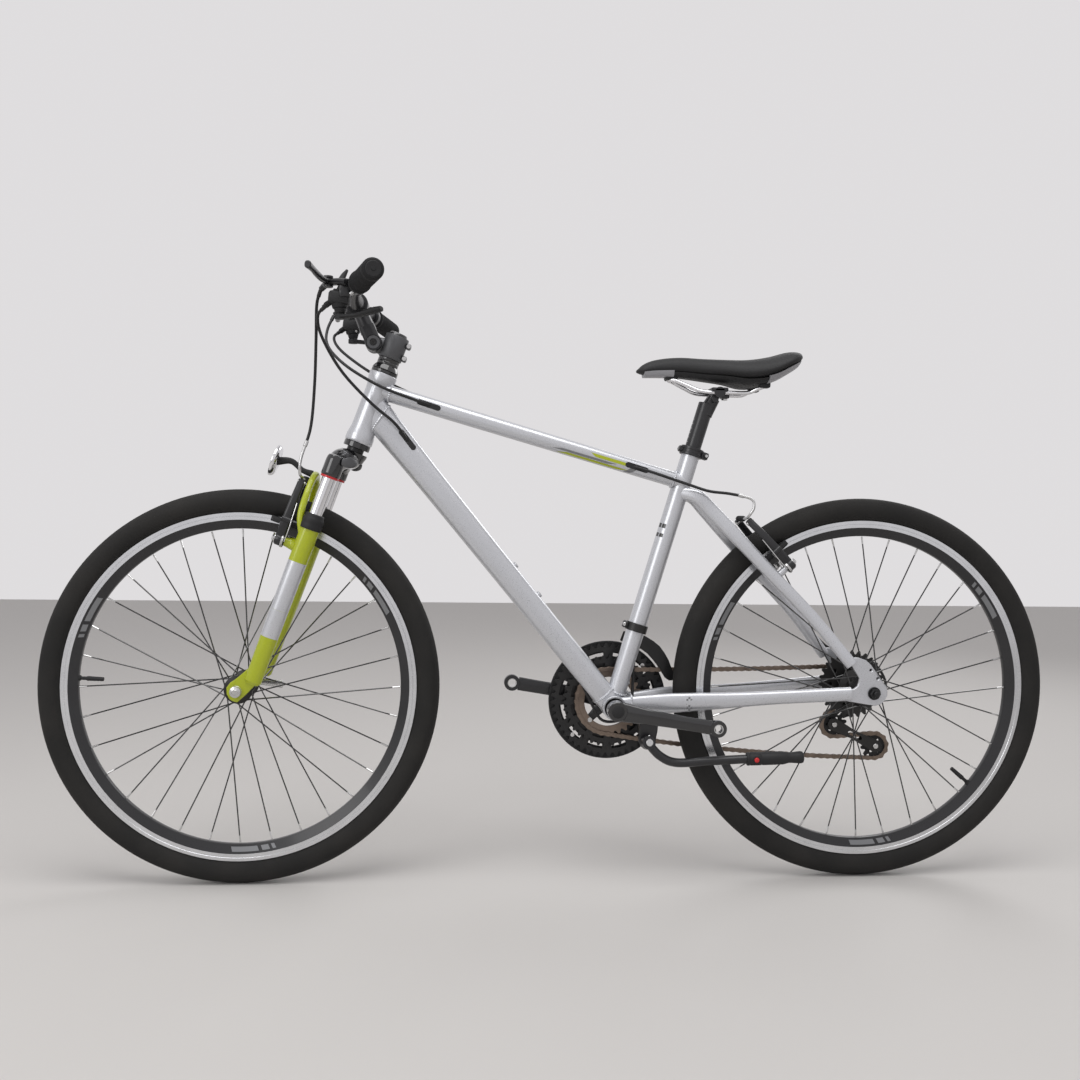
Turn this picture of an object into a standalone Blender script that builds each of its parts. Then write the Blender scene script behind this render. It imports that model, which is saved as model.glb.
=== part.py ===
"""A hybrid bicycle with a sprung fork, rim brakes and 3 x 7 gears, at rest.

Metres, +Z up. The front wheel is towards -X and the bicycle's left side faces -Y.
The origin is on the ground, on the centre plane, midway between the two axles.
"""

from math import asin, atan2, cos, pi, radians, sin, sqrt, tau

import bmesh
import bpy
from mathutils import Matrix, Vector

# ---------------------------------------------------------------- driving dimensions

CLEARANCE = 0.0003  # between faces that rest on each other
RUNNING = 0.0006  # round a part that turns inside another

WHEELBASE = 1.058
WHEEL_RADIUS = 0.329
TYRE_WIDTH = 0.040
RIM_EDGE_RADIUS = 0.2905
RIM_INNER_RADIUS = 0.2635
RIM_WIDTH = 0.024
RIM_WELL_DEPTH = 0.0055
RIM_LIP = 0.0018
BRAKE_TRACK = 0.0123
WHEEL_STEPS = 36
SPOKES = 32
CROSSINGS = 3
SPOKE_RADIUS = 0.0013

HEAD_ANGLE = radians(70.15)
FORK_OFFSET = 0.0378
FORK_LENGTH = 0.449  # front axle to the head tube's lower end, along the steering axis
HEAD_TUBE_LENGTH = 0.1225
HEAD_TUBE_RADIUS = 0.0205
HEAD_TUBE_FLARE = 0.0235
HEAD_BORE = 0.017
STEERER_RADIUS = 0.0143

BB_BEHIND_MIDDLE = 0.0952
BB_HEIGHT = 0.297
BB_SHELL_RADIUS = 0.0205
BB_SHELL_HALF = 0.034
BB_BORE = 0.0174
SPINDLE_RADIUS = 0.0085

SEAT_ANGLE = radians(73.3)
SEAT_TUBE_LENGTH = 0.462
SEAT_TUBE_RADIUS = 0.0159
SEAT_POST_RADIUS = 0.0136
SEAT_POST_INSERTION = 0.120
SADDLE_RAIL_HEIGHT = 0.834
TUBE_WALL = 0.0018

REAR_SPACING_HALF = 0.0675
FRONT_SPACING_HALF = 0.050
DROPOUT_THICKNESS = 0.006
AXLE_RADIUS = 0.0048

LEG_SPACING_HALF = 0.058
LEG_OFFSET = 0.018
LEG_RADIUS = 0.0155
STANCHION_RADIUS = 0.0115

CRANK_LENGTH = 0.170
CRANK_TILT = radians(-9.27)  # the left crank points back and a little down
CHAIN_PITCH = 0.0127
RING_TEETH = {"small": 28, "middle": 38, "large": 48}
RING_Y = {"small": 0.0410, "middle": 0.0485, "large": 0.0560}
RING_THICKNESS = 0.0018
GUARD_RADIUS = 0.104
GUARD_Y = 0.0612
SPROCKET_TEETH = (28, 24, 22, 20, 18, 16, 14)
SMALLEST_SPROCKET_Y = 0.0635
SPROCKET_SPACING = 0.005
JOCKEY_TEETH = 11
CHAIN_HEIGHT = 0.008
CHAIN_GAP = 0.0017  # centre line to a side plate's inner face
CHAIN_PLATE = 0.002

BRAKE_BOSS_SPACING_HALF = 0.040
BRAKE_ARM_LENGTH = 0.104
PAD_HEIGHT = 0.028  # above the boss
PAD_GAP = 0.0025

BAR_RADIUS = 0.0111
GRIP_RADIUS = 0.0165
GRIP_LENGTH = 0.122
CABLE_RADIUS = 0.0025

# ---------------------------------------------------------------- places

FRONT_AXLE = Vector((-WHEELBASE / 2, 0, WHEEL_RADIUS))
REAR_AXLE = Vector((WHEELBASE / 2, 0, WHEEL_RADIUS))
BOTTOM_BRACKET = Vector((BB_BEHIND_MIDDLE, 0, BB_HEIGHT))
UP_STEER = Vector((cos(HEAD_ANGLE), 0, sin(HEAD_ANGLE)))
FORWARD = Vector((-sin(HEAD_ANGLE), 0, cos(HEAD_ANGLE)))
HEAD_BOTTOM = FRONT_AXLE + UP_STEER * FORK_LENGTH - FORWARD * FORK_OFFSET
UP_SEAT = Vector((cos(SEAT_ANGLE), 0, sin(SEAT_ANGLE)))
Y_AXIS = Vector((0, 1, 0))
SIDES = {"left": -1, "right": 1}


def steer(along, offset=0.0, y=0.0):
    """A point measured from the head tube's lower end: along the steering axis, forward of it, across."""
    return HEAD_BOTTOM + UP_STEER * along + FORWARD * offset + Vector((0, y, 0))


def seat(along, behind=0.0, y=0.0):
    """A point measured from the bottom bracket: along the seat tube, behind it, across."""
    back = Vector((sin(SEAT_ANGLE), 0, -cos(SEAT_ANGLE)))
    return BOTTOM_BRACKET + UP_SEAT * along + back * behind + Vector((0, y, 0))


# ---------------------------------------------------------------- scene and materials

for old in list(bpy.data.objects):
    bpy.data.objects.remove(old, do_unlink=True)

MODEL = bpy.data.collections.new("bicycle")
WORKSHOP = bpy.data.collections.new("cutters")
for collection in (MODEL, WORKSHOP):
    bpy.context.scene.collection.children.link(collection)


def material(name, colour, roughness, metallic=0.0):
    made = bpy.data.materials.new(name)
    made.use_nodes = True
    shader = made.node_tree.nodes["Principled BSDF"]
    shader.inputs["Base Color"].default_value = (*colour, 1)
    shader.inputs["Roughness"].default_value = roughness
    shader.inputs["Metallic"].default_value = metallic
    made.diffuse_color = (*colour, 1)
    return made


SILVER_PAINT = material("silver_paint", (0.56, 0.57, 0.60), 0.35, 0.5)
LIME_PAINT = material("lime_paint", (0.42, 0.47, 0.0), 0.4)
BLACK_PAINT = material("black_paint", (0.012, 0.012, 0.014), 0.3)
BLACK_PLASTIC = material("black_plastic", (0.02, 0.02, 0.022), 0.55)
GREY_PLASTIC = material("grey_plastic", (0.10, 0.10, 0.11), 0.5)
RED_PLASTIC = material("red_plastic", (0.6, 0.01, 0.015), 0.4)
TYRE_RUBBER = material("tyre_rubber", (0.018, 0.017, 0.016), 0.85)
GRIP_RUBBER = material("grip_rubber", (0.02, 0.02, 0.022), 0.8)
BARE_ALUMINIUM = material("bare_aluminium", (0.72, 0.73, 0.75), 0.3, 1.0)
CHROME = material("chrome", (0.80, 0.80, 0.82), 0.08, 1.0)
DARK_STEEL = material("dark_steel", (0.05, 0.05, 0.05), 0.4, 0.8)
CHAIN_STEEL = material("chain_steel", (0.20, 0.16, 0.13), 0.4, 0.9)
SADDLE_COVER = material("saddle_cover", (0.02, 0.02, 0.022), 0.6)
CLEAR_REFLECTOR = material("clear_reflector", (0.75, 0.76, 0.78), 0.15)

# ---------------------------------------------------------------- shapes


def helper(mesh):
    obj = bpy.data.objects.new("piece", mesh)
    WORKSHOP.objects.link(obj)
    obj.hide_render = True
    obj.display_type = "WIRE"
    return obj


def from_bmesh(bm):
    bmesh.ops.recalc_face_normals(bm, faces=bm.faces)
    mesh = bpy.data.meshes.new("piece")
    bm.to_mesh(mesh)
    bm.free()
    return helper(mesh)


def meshed(source):
    """The evaluated shape of a curve or of an object with modifiers, as a closed mesh in world space."""
    bpy.context.view_layer.update()
    graph = bpy.context.evaluated_depsgraph_get()
    mesh = bpy.data.meshes.new_from_object(source.evaluated_get(graph))
    bm = bmesh.new()
    bm.from_mesh(mesh)
    bm.transform(source.matrix_world)
    bmesh.ops.remove_doubles(bm, verts=bm.verts, dist=1e-6)
    bpy.data.objects.remove(source, do_unlink=True)
    bpy.data.meshes.remove(mesh)
    return from_bmesh(bm)


def aiming(origin, axis, across=Y_AXIS):
    """A matrix whose Z is the axis and whose X is as near as can be to `across`."""
    z = Vector(axis).normalized()
    x = Vector(across) - z * z.dot(across)
    x = x.normalized() if x.length > 1e-6 else z.orthogonal().normalized()
    turn = Matrix((x, z.cross(x), z)).transposed()
    return Matrix.Translation(origin) @ turn.to_4x4()


def rod(start, end, radius, sides=16, end_radius=None, across=Y_AXIS):
    """A cylinder or cone from start to end."""
    start, end = Vector(start), Vector(end)
    bm = bmesh.new()
    bmesh.ops.create_cone(
        bm,
        cap_ends=True,
        segments=sides,
        radius1=radius,
        radius2=radius if end_radius is None else end_radius,
        depth=(end - start).length,
        matrix=aiming((start + end) / 2, end - start, across),
    )
    return from_bmesh(bm)


def cross_rod(centre, y_low, y_high, radius, sides=16):
    """A cylinder along Y through a centre."""
    x, _, z = centre
    return rod((x, y_low, z), (x, y_high, z), radius, sides, across=(1, 0, 0))


def block(centre, size, along=(1, 0, 0), across=Y_AXIS):
    """A box whose first side runs along one direction, its second across."""
    bm = bmesh.new()
    turn = aiming((0, 0, 0), along, across)
    bmesh.ops.create_cube(bm, size=1)
    for corner in bm.verts:
        u, v, w = (part * side for part, side in zip(corner.co, size))
        corner.co = turn @ Vector((v, w, u)) + Vector(centre)
    return from_bmesh(bm)


def turned(profile, origin, axis, steps, closed=True, across=(1, 0, 0)):
    """A turned shape: a profile of (radius, distance along the axis), spun by a Screw modifier."""
    mesh = bpy.data.meshes.new("profile")
    count = len(profile)
    edges = [(i, (i + 1) % count) for i in range(count if closed else count - 1)]
    mesh.from_pydata([(radius, 0, along) for radius, along in profile], edges, [])
    obj = helper(mesh)
    obj.matrix_world = aiming(origin, axis, across)
    screw = obj.modifiers.new("turn", "SCREW")
    screw.steps = screw.render_steps = steps
    screw.use_merge_vertices = True
    screw.merge_threshold = 1e-6
    return meshed(obj)


def loft(rings, closed=False):
    """A skin over rings of points, all with the same count, with flat ends unless it closes on itself."""
    bm = bmesh.new()
    made = [[bm.verts.new(point) for point in ring] for ring in rings]
    count = len(made[0])
    pairs = list(zip(made, made[1:]))
    if closed:
        pairs.append((made[-1], made[0]))
    for first, second in pairs:
        for i in range(count):
            j = (i + 1) % count
            bm.faces.new((first[i], first[j], second[j], second[i]))
    if not closed:
        bm.faces.new(made[0][::-1])
        bm.faces.new(made[-1])
    return from_bmesh(bm)


def swept(path, wide, high, sides=12, power=2.0, across=Y_AXIS):
    """A bar along a path. `wide` and `high` are half sizes at each point: across, and square to both."""
    path = [Vector(point) for point in path]
    wide = wide if isinstance(wide, (list, tuple)) else [wide] * len(path)
    high = high if isinstance(high, (list, tuple)) else [high] * len(path)
    rings = []
    for i, point in enumerate(path):
        before, after = path[max(i - 1, 0)], path[min(i + 1, len(path) - 1)]
        ahead = (after - before).normalized()
        side = (Vector(across) - ahead * ahead.dot(Vector(across))).normalized()
        top = side.cross(ahead)
        ring = []
        for k in range(sides):
            angle = tau * (k + 0.5) / sides
            u = abs(cos(angle)) ** (2 / power) * (1 if cos(angle) > 0 else -1)
            v = abs(sin(angle)) ** (2 / power) * (1 if sin(angle) > 0 else -1)
            ring.append(point + side * (wide[i] * u) + top * (high[i] * v))
        rings.append(ring)
    return loft(rings)


def smooth_route(points, count):
    """Points on a smooth curve through the route's own points, evenly spaced along it."""
    points = [Vector(point) for point in points]
    padded = [2 * points[0] - points[1], *points, 2 * points[-1] - points[-2]]
    fine = []
    for a, b, c, d in zip(padded, padded[1:], padded[2:], padded[3:]):
        for step in range(12):
            t = step / 12
            fine.append(
                0.5 * (2 * b + (c - a) * t + (2 * a - 5 * b + 4 * c - d) * t**2 + (3 * b - a - 3 * c + d) * t**3)
            )
    fine.append(points[-1])
    lengths = [0.0]
    for first, second in zip(fine, fine[1:]):
        lengths.append(lengths[-1] + (second - first).length)
    route = []
    at = 0
    for i in range(count):
        target = lengths[-1] * i / (count - 1)
        while at < len(fine) - 2 and lengths[at + 1] < target:
            at += 1
        share = (target - lengths[at]) / (lengths[at + 1] - lengths[at])
        route.append(fine[at].lerp(fine[at + 1], min(max(share, 0.0), 1.0)))
    return route


def tube(points, radius, count=None, resolution=1):
    """A round wire along the points, as a curve with a bevel and filled caps."""
    points = smooth_route(points, count) if count else [Vector(point) for point in points]
    curve = bpy.data.curves.new("wire", "CURVE")
    curve.dimensions = "3D"
    curve.bevel_depth = radius
    curve.bevel_resolution = resolution
    curve.use_fill_caps = True
    spline = curve.splines.new("POLY")
    spline.points.add(len(points) - 1)
    for control, point in zip(spline.points, points):
        control.co = (*point, 1)
    obj = bpy.data.objects.new("wire", curve)
    WORKSHOP.objects.link(obj)
    return meshed(obj)


def plate(outline, thickness, centre=(0, 0, 0), u=(1, 0, 0), v=(0, 0, 1), holes=()):
    """A flat outline in the plane of u and v, thickened both ways from the centre."""
    curve = bpy.data.curves.new("outline", "CURVE")
    curve.dimensions = "2D"
    curve.fill_mode = "BOTH"
    curve.extrude = thickness / 2
    for loop in (outline, *holes):
        spline = curve.splines.new("POLY")
        spline.points.add(len(loop) - 1)
        spline.use_cyclic_u = True
        for control, (x, y) in zip(spline.points, loop):
            control.co = (x, y, 0, 1)
    obj = bpy.data.objects.new("outline", curve)
    WORKSHOP.objects.link(obj)
    u, v = Vector(u).normalized(), Vector(v).normalized()
    turn = Matrix((u, v, u.cross(v))).transposed()
    obj.matrix_world = Matrix.Translation(Vector(centre)) @ turn.to_4x4()
    return meshed(obj)


def circle(radius, sides, centre=(0.0, 0.0), turn=0.0):
    return [
        (centre[0] + radius * cos(turn + tau * i / sides), centre[1] + radius * sin(turn + tau * i / sides))
        for i in range(sides)
    ]


def ring(inner, outer, origin, axis, low, high, steps):
    """A flat ring between two distances along an axis."""
    return turned([(outer, high), (outer, low), (inner, low), (inner, high)], origin, axis, steps)


# ---------------------------------------------------------------- nodes

BODY_ORIGINS = {}
BODY_EMPTIES = {}


def body(name, origin, parent=None):
    """An empty on a joint's axis, which carries the pieces that move with it."""
    empty = bpy.data.objects.new(f"{name}_origin", None)
    empty.empty_display_size = 0.03
    MODEL.objects.link(empty)
    origin = Vector(origin)
    if parent:
        empty.parent = BODY_EMPTIES[parent]
        empty.location = origin - BODY_ORIGINS[parent]
    else:
        empty.location = origin
    BODY_ORIGINS[name] = origin
    BODY_EMPTIES[name] = empty


def node(name, body_name, finish, pieces, cutters=(), crossing=False):
    """Joins the pieces, cuts the cutters away and keeps the result as one named object of a body."""
    base = pieces[0]
    operations = [("UNION", piece) for piece in pieces[1:]] + [("DIFFERENCE", cutter) for cutter in cutters]
    for operation, other in operations:
        modifier = base.modifiers.new(operation.lower(), "BOOLEAN")
        modifier.operation = operation
        modifier.solver = "EXACT"
        modifier.use_self = crossing and operation == "UNION"
        modifier.object = other
    bpy.context.view_layer.update()
    graph = bpy.context.evaluated_depsgraph_get()
    mesh = bpy.data.meshes.new_from_object(base.evaluated_get(graph))
    mesh.name = name
    mesh.transform(Matrix.Translation(-BODY_ORIGINS[body_name]))
    mesh.shade_smooth()
    mesh.set_sharp_from_angle(angle=radians(35))
    mesh.materials.clear()
    mesh.materials.append(finish)
    obj = bpy.data.objects.new(name, mesh)
    MODEL.objects.link(obj)
    obj.parent = BODY_EMPTIES[body_name]
    for used in (*pieces, *cutters):
        bpy.data.objects.remove(used, do_unlink=True)
    return obj


def joined(pieces):
    """Several shapes in one mesh, for a Boolean that takes them together."""
    bm = bmesh.new()
    for piece in pieces:
        bm.from_mesh(piece.data)
        bpy.data.objects.remove(piece, do_unlink=True)
    return from_bmesh(bm)


# ---------------------------------------------------------------- wheels


def tyre_and_rim(end, axle):
    half = RIM_WIDTH / 2
    well = RIM_EDGE_RADIUS - RIM_WELL_DEPTH
    lip = half - RIM_LIP
    rim = [
        (RIM_EDGE_RADIUS, half),
        (RIM_EDGE_RADIUS - BRAKE_TRACK, half),
        (RIM_INNER_RADIUS, half * 0.45),
        (RIM_INNER_RADIUS, -half * 0.45),
        (RIM_EDGE_RADIUS - BRAKE_TRACK, -half),
        (RIM_EDGE_RADIUS, -half),
        (RIM_EDGE_RADIUS, -lip),
        (well, -lip),
        (well, lip),
        (RIM_EDGE_RADIUS, lip),
    ]
    node(f"{end}_rim", f"{end}_wheel", BARE_ALUMINIUM, [turned(rim, axle, Y_AXIS, WHEEL_STEPS)])
    bead = lip - CLEARANCE
    wall = TYRE_WIDTH / 2
    shoulder = WHEEL_RADIUS - 0.0065
    section = [
        (well + CLEARANCE, bead),
        (RIM_EDGE_RADIUS + 0.0012, bead),
        (RIM_EDGE_RADIUS + 0.0095, wall * 0.92),
        (WHEEL_RADIUS - wall * 0.9, wall),
        (shoulder, wall * 0.72),
        (WHEEL_RADIUS, wall * 0.2),
    ]
    tyre = section[::-1] + [(radius, -y) for radius, y in section]
    node(f"{end}_tyre", f"{end}_wheel", TYRE_RUBBER, [turned(tyre[::-1], axle, Y_AXIS, WHEEL_STEPS)])


def spokes(axle, flanges, flange_radius):
    """Crossed spokes: on each flange half of them lean forwards and half backwards."""
    per_flange = SPOKES // 2
    lean = CROSSINGS * tau / per_flange
    made = []
    for flange, (y, first) in enumerate(zip(flanges, (0.0, tau / SPOKES))):
        for k in range(per_flange):
            hole = first + k * tau / per_flange
            nipple = hole + (lean if k % 2 else -lean)
            start_radius = flange_radius
            offset = 0.0011 if k % 2 else -0.0011
            start = axle + Vector((start_radius * cos(hole), y + offset, start_radius * sin(hole)))
            reach = RIM_INNER_RADIUS * cos(pi / WHEEL_STEPS) - 0.0008
            rim_y = 0.0025 if flange else -0.0025
            end = axle + Vector((reach * cos(nipple), rim_y, reach * sin(nipple)))
            made.append(rod(start, end, SPOKE_RADIUS, sides=3))
    return made


def hub(end, axle, flanges, flange_radius, barrel, ends, bore):
    """A turned hub shell on the axle, with two flanges that hold the spokes."""
    low, high = flanges
    thick = 0.0018
    profile = [
        (bore, ends[0]),
        (0.0085, ends[0]),
        (0.0100, low - 0.009),
        (barrel, low - 0.004),
        (flange_radius + 0.004, low - thick),
        (flange_radius + 0.004, low + thick),
        (barrel, low + 0.006),
        (barrel, high - 0.006),
        (flange_radius + 0.004, high - thick),
        (flange_radius + 0.004, high + thick),
    ]
    profile += (
        [(barrel, high + 0.004), (0.0100, high + 0.009), (0.0085, ends[1]), (bore, ends[1])]
        if end == "front"
        else [(FREEWHEEL_SEAT, high + 0.004), (FREEWHEEL_SEAT, ends[1]), (bore, ends[1])]
    )
    shell = turned(profile, axle, Y_AXIS, 16)
    node(f"{end}_hub", f"{end}_wheel", DARK_STEEL, [shell, *spokes(axle, flanges, flange_radius)],
        crossing=True)


FRONT_FLANGES = (-0.033, 0.033)
REAR_FLANGES = (-0.034, 0.019)
FREEWHEEL_SEAT = 0.0165
REAR_HUB_END = 0.044


def wheels():
    body("front_wheel", FRONT_AXLE, "fork_lowers")
    body("rear_wheel", REAR_AXLE, "frame")
    for end, axle in (("front", FRONT_AXLE), ("rear", REAR_AXLE)):
        tyre_and_rim(end, axle)
    bore = AXLE_RADIUS + RUNNING
    side = FRONT_SPACING_HALF - 0.0010
    hub("front", FRONT_AXLE, FRONT_FLANGES, 0.0195, 0.0135, (-side, side), bore)
    left_end = -(REAR_SPACING_HALF - 0.0010)
    hub("rear", REAR_AXLE, REAR_FLANGES, 0.0240, 0.0160, (left_end, REAR_HUB_END), bore)


# ---------------------------------------------------------------- frame

TOP_TUBE_FRONT = steer(0.0940)
TOP_TUBE_REAR = seat(0.4016)
DOWN_TUBE_FRONT = steer(0.0640, 0.0012)
DOWN_TUBE_REAR = BOTTOM_BRACKET
STAY_TOP = seat(0.382, 0.000)
STAY_LOW = REAR_AXLE + Vector((-0.0385, 0, 0.0480))
CHAIN_STAY_END = REAR_AXLE + Vector((-0.0390, 0, -0.0012))
STAY_Y = REAR_SPACING_HALF + DROPOUT_THICKNESS / 2
REAR_BOSS_FOOT = Vector((0.3651, 0, 0.5192))


def seat_stay_path(side):
    return [
        STAY_TOP + Vector((0, side * 0.0070, 0)),
        Vector((0.2340, side * 0.0190, 0.6560)),
        Vector((0.2560, side * 0.0225, 0.6345)),
        Vector((0.3000, side * 0.0335, 0.5880)),
        Vector((0.3651, side * 0.0440, 0.5192)),
        Vector((0.4294, side * 0.0560, 0.4512)),
        STAY_LOW + Vector((0, side * STAY_Y, 0)),
    ]


def chain_stay_path(side):
    return [
        BOTTOM_BRACKET + Vector((0.012, side * 0.0215, 0.002)),
        Vector((0.1500, side * 0.0255, 0.3025)),
        Vector((0.2050, side * 0.0365, 0.3075)),
        Vector((0.3000, side * 0.0470, 0.3140)),
        Vector((0.3724, side * 0.0550, 0.3196)),
        CHAIN_STAY_END + Vector((0, side * STAY_Y, 0)),
    ]


def thinner(sizes, wall):
    return [size - wall for size in sizes]


def tube_and_core(path, wide, high, sides, power):
    """A frame tube and the core that makes it hollow, on the same path."""
    outer = swept(path, wide, high, sides, power)
    core = swept(path, thinner(wide, TUBE_WALL), thinner(high, TUBE_WALL), sides, power)
    return outer, core


def dropout(side):
    """The flat plate that holds the rear axle, with its slot and two eyelets on the left."""
    outline = [
        (-0.0470, 0.0050),
        (-0.0470, -0.0130),
        (-0.0180, -0.0180),
        (0.0020, -0.0210),
        (0.0180, -0.0130),
        (0.0235, 0.0020),
        (0.0215, 0.0110),
        (-0.0060, 0.0480),
        (-0.0270, 0.0600),
        (-0.0450, 0.0560),
        (-0.0250, 0.0250),
        (-0.0280, 0.0120),
    ]
    slot = circle(AXLE_RADIUS + CLEARANCE, 12)
    eyelet = circle(0.0025, 6, centre=(0.0060, 0.0250))
    rack = circle(0.0025, 6, centre=(-0.0060, 0.0390))
    centre = REAR_AXLE + Vector((0, side * STAY_Y, 0))
    return plate(outline, DROPOUT_THICKNESS, centre, holes=(slot, eyelet, rack))


PORTS = (  # where a cable passes a tube's wall, and which way it runs there
    (Vector((-0.2236, -0.0185, 0.8025)), Vector((0.90, 0.32, -0.28))),
    (Vector((0.1292, -0.0175, 0.7045)), Vector((0.94, -0.20, -0.28))),
    (Vector((-0.2584, -0.0190, 0.7440)), Vector((0.58, 0.33, -0.74))),
    (Vector((0.0480, -0.0060, 0.3225)), Vector((0.50, -0.02, -0.87))),
)
HANGER_BOLT = REAR_AXLE + Vector((0.0120, 0, -0.0290))
BOTTLE_BOSS_REACH = (0.228, 0.292)  # up the down tube from the bottom bracket
BOTTLE_BOSS_TOP = 0.0245  # from the down tube's centre line


def frame():
    body("frame", (0, 0, 0))
    sides, power = 12, 2.6
    tubes = [
        tube_and_core([TOP_TUBE_FRONT, TOP_TUBE_REAR], [0.0185, 0.0165], [0.0140, 0.0132], sides, power),
        tube_and_core(
            [DOWN_TUBE_FRONT, DOWN_TUBE_FRONT.lerp(DOWN_TUBE_REAR, 0.3), DOWN_TUBE_REAR],
            [0.0180, 0.0200, 0.0210],
            [0.0262, 0.0222, 0.0198],
            sides,
            3.0,
        ),
    ]
    stays = []
    for side in SIDES.values():
        high = [0.0100, 0.0120, 0.0125, 0.0120, 0.0110, 0.0105, 0.0100]
        stays.append(swept(seat_stay_path(side), 0.0075, high, 8, 2.6))
        high = [0.0150, 0.0165, 0.0165, 0.0130, 0.0115, 0.0115]
        stays.append(swept(chain_stay_path(side), 0.0080, high, 8, 2.6))
    head = [
        (0.0, HEAD_TUBE_LENGTH),
        (HEAD_TUBE_FLARE, HEAD_TUBE_LENGTH),
        (HEAD_TUBE_FLARE, HEAD_TUBE_LENGTH - 0.010),
        (HEAD_TUBE_RADIUS, HEAD_TUBE_LENGTH - 0.026),
        (HEAD_TUBE_RADIUS, 0.030),
        (HEAD_TUBE_FLARE, 0.012),
        (HEAD_TUBE_FLARE, 0.0),
        (0.0, 0.0),
    ]
    down = (DOWN_TUBE_REAR - DOWN_TUBE_FRONT).normalized()
    square = Vector((-down.z, 0, down.x))
    boss_axis = Vector((0.727, 0, 0.687))
    pieces = [
        turned(head, HEAD_BOTTOM, UP_STEER, 20, closed=False),
        *(outer for outer, _ in tubes),
        *stays,
        rod(seat(0), seat(SEAT_TUBE_LENGTH), SEAT_TUBE_RADIUS, 16),
        cross_rod(BOTTOM_BRACKET, -BB_SHELL_HALF, BB_SHELL_HALF, BB_SHELL_RADIUS, 20),
        cross_rod((0.2860, 0, 0.6090), -0.030, 0.030, 0.0080, 10),
        cross_rod((0.1750, 0, 0.3050), -0.030, 0.030, 0.0070, 10),
        swept(
            [HANGER_BOLT + Vector((0, STAY_Y, -0.010)), REAR_AXLE + Vector((0.004, STAY_Y, -0.012))],
            DROPOUT_THICKNESS / 2,
            [0.0090, 0.0120],
            8,
            4.0,
        ),
    ]
    for side in SIDES.values():
        foot = REAR_BOSS_FOOT + Vector((0, side * BRAKE_BOSS_SPACING_HALF, 0))
        pieces.append(dropout(side))
        pieces.append(rod(foot, foot + boss_axis * 0.0250, 0.0060, 12))
    for reach in BOTTLE_BOSS_REACH:
        foot = DOWN_TUBE_REAR - down * reach
        pieces.append(rod(foot + square * 0.010, foot + square * BOTTLE_BOSS_TOP, 0.0055, 10))
    cutters = [
        rod(steer(-0.01), steer(HEAD_TUBE_LENGTH + 0.01), HEAD_BORE, 16),
        rod(seat(0.0), seat(SEAT_TUBE_LENGTH + 0.01), (SEAT_POST_RADIUS + CLEARANCE) / cos(pi / 16), 16),
        cross_rod(BOTTOM_BRACKET, -0.05, 0.05, BB_BORE / cos(pi / 16), 16),
        *(core for _, core in tubes),
    ]
    for port, way in PORTS:
        cutters.append(rod(port - way * 0.026, port + way * 0.026, 0.0062, 8))
    node("frame", "frame", SILVER_PAINT, pieces, cutters)
    for name, low, high in (
        ("headset_lower_cup", -0.0100, -CLEARANCE),
        ("headset_upper_cup", HEAD_TUBE_LENGTH + CLEARANCE, HEAD_TUBE_LENGTH + 0.0060),
    ):
        cup = ring(STEERER_RADIUS + RUNNING, HEAD_TUBE_FLARE - 0.0010, HEAD_BOTTOM, UP_STEER, low, high, 20)
        node(name, "frame", BLACK_PLASTIC, [cup])
    cartridge = ring(
        SPINDLE_RADIUS + RUNNING, BB_BORE - CLEARANCE, BOTTOM_BRACKET, Y_AXIS, -0.0350, 0.0350, 16
    )
    node("bottom_bracket", "frame", DARK_STEEL, [cartridge])
    seat_clamp()
    rear_axle()


def seat_clamp():
    """The collar round the seat tube's top, with its two bolted ears behind."""
    high = SEAT_TUBE_LENGTH + 0.0010
    collar = rod(seat(high - 0.0150), seat(high), 0.0200, 20)
    middle = high - 0.0075
    ears = block(seat(middle, 0.0225), (0.0130, 0.0160, 0.0140), UP_SEAT)
    nut = cross_rod(seat(middle, 0.0245), -0.0135, 0.0135, 0.0042, 8)
    rivet = block(seat(middle, -0.0200), (0.0110, 0.0120, 0.0080), UP_SEAT)
    bore = rod(seat(high - 0.03), seat(high + 0.03), SEAT_TUBE_RADIUS + CLEARANCE, 20)
    node("seat_clamp", "frame", BLACK_PLASTIC, [collar, ears, nut, rivet], [bore])


def rear_axle():
    """The fixed axle with its cone locknuts inside the dropouts and its nuts outside them."""
    inside = REAR_SPACING_HALF - CLEARANCE
    outside = REAR_SPACING_HALF + DROPOUT_THICKNESS + CLEARANCE
    pieces = [cross_rod(REAR_AXLE, -0.0880, 0.0880, AXLE_RADIUS, 10)]
    for side in SIDES.values():
        ends = sorted((side * outside, side * (outside + 0.0090)))
        pieces.append(cross_rod(REAR_AXLE, *ends, 0.0088, 6))
        ends = sorted((side * outside, side * (outside + 0.0018)))
        pieces.append(cross_rod(REAR_AXLE, *ends, 0.0110, 12))
    pieces.append(cross_rod(REAR_AXLE, REAR_HUB_END + 0.0030, inside, 0.0070, 12))
    node("rear_axle", "frame", BLACK_PAINT, pieces)


# ---------------------------------------------------------------- fork

CROWN_TOP = -0.0108
CROWN_LOW = -0.0680
STANCHION_END = -0.320
BOOT_TOP = -0.135
LEG_TOP = -0.157
LEG_END = -0.424
STEM_TOP = 0.188


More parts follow.
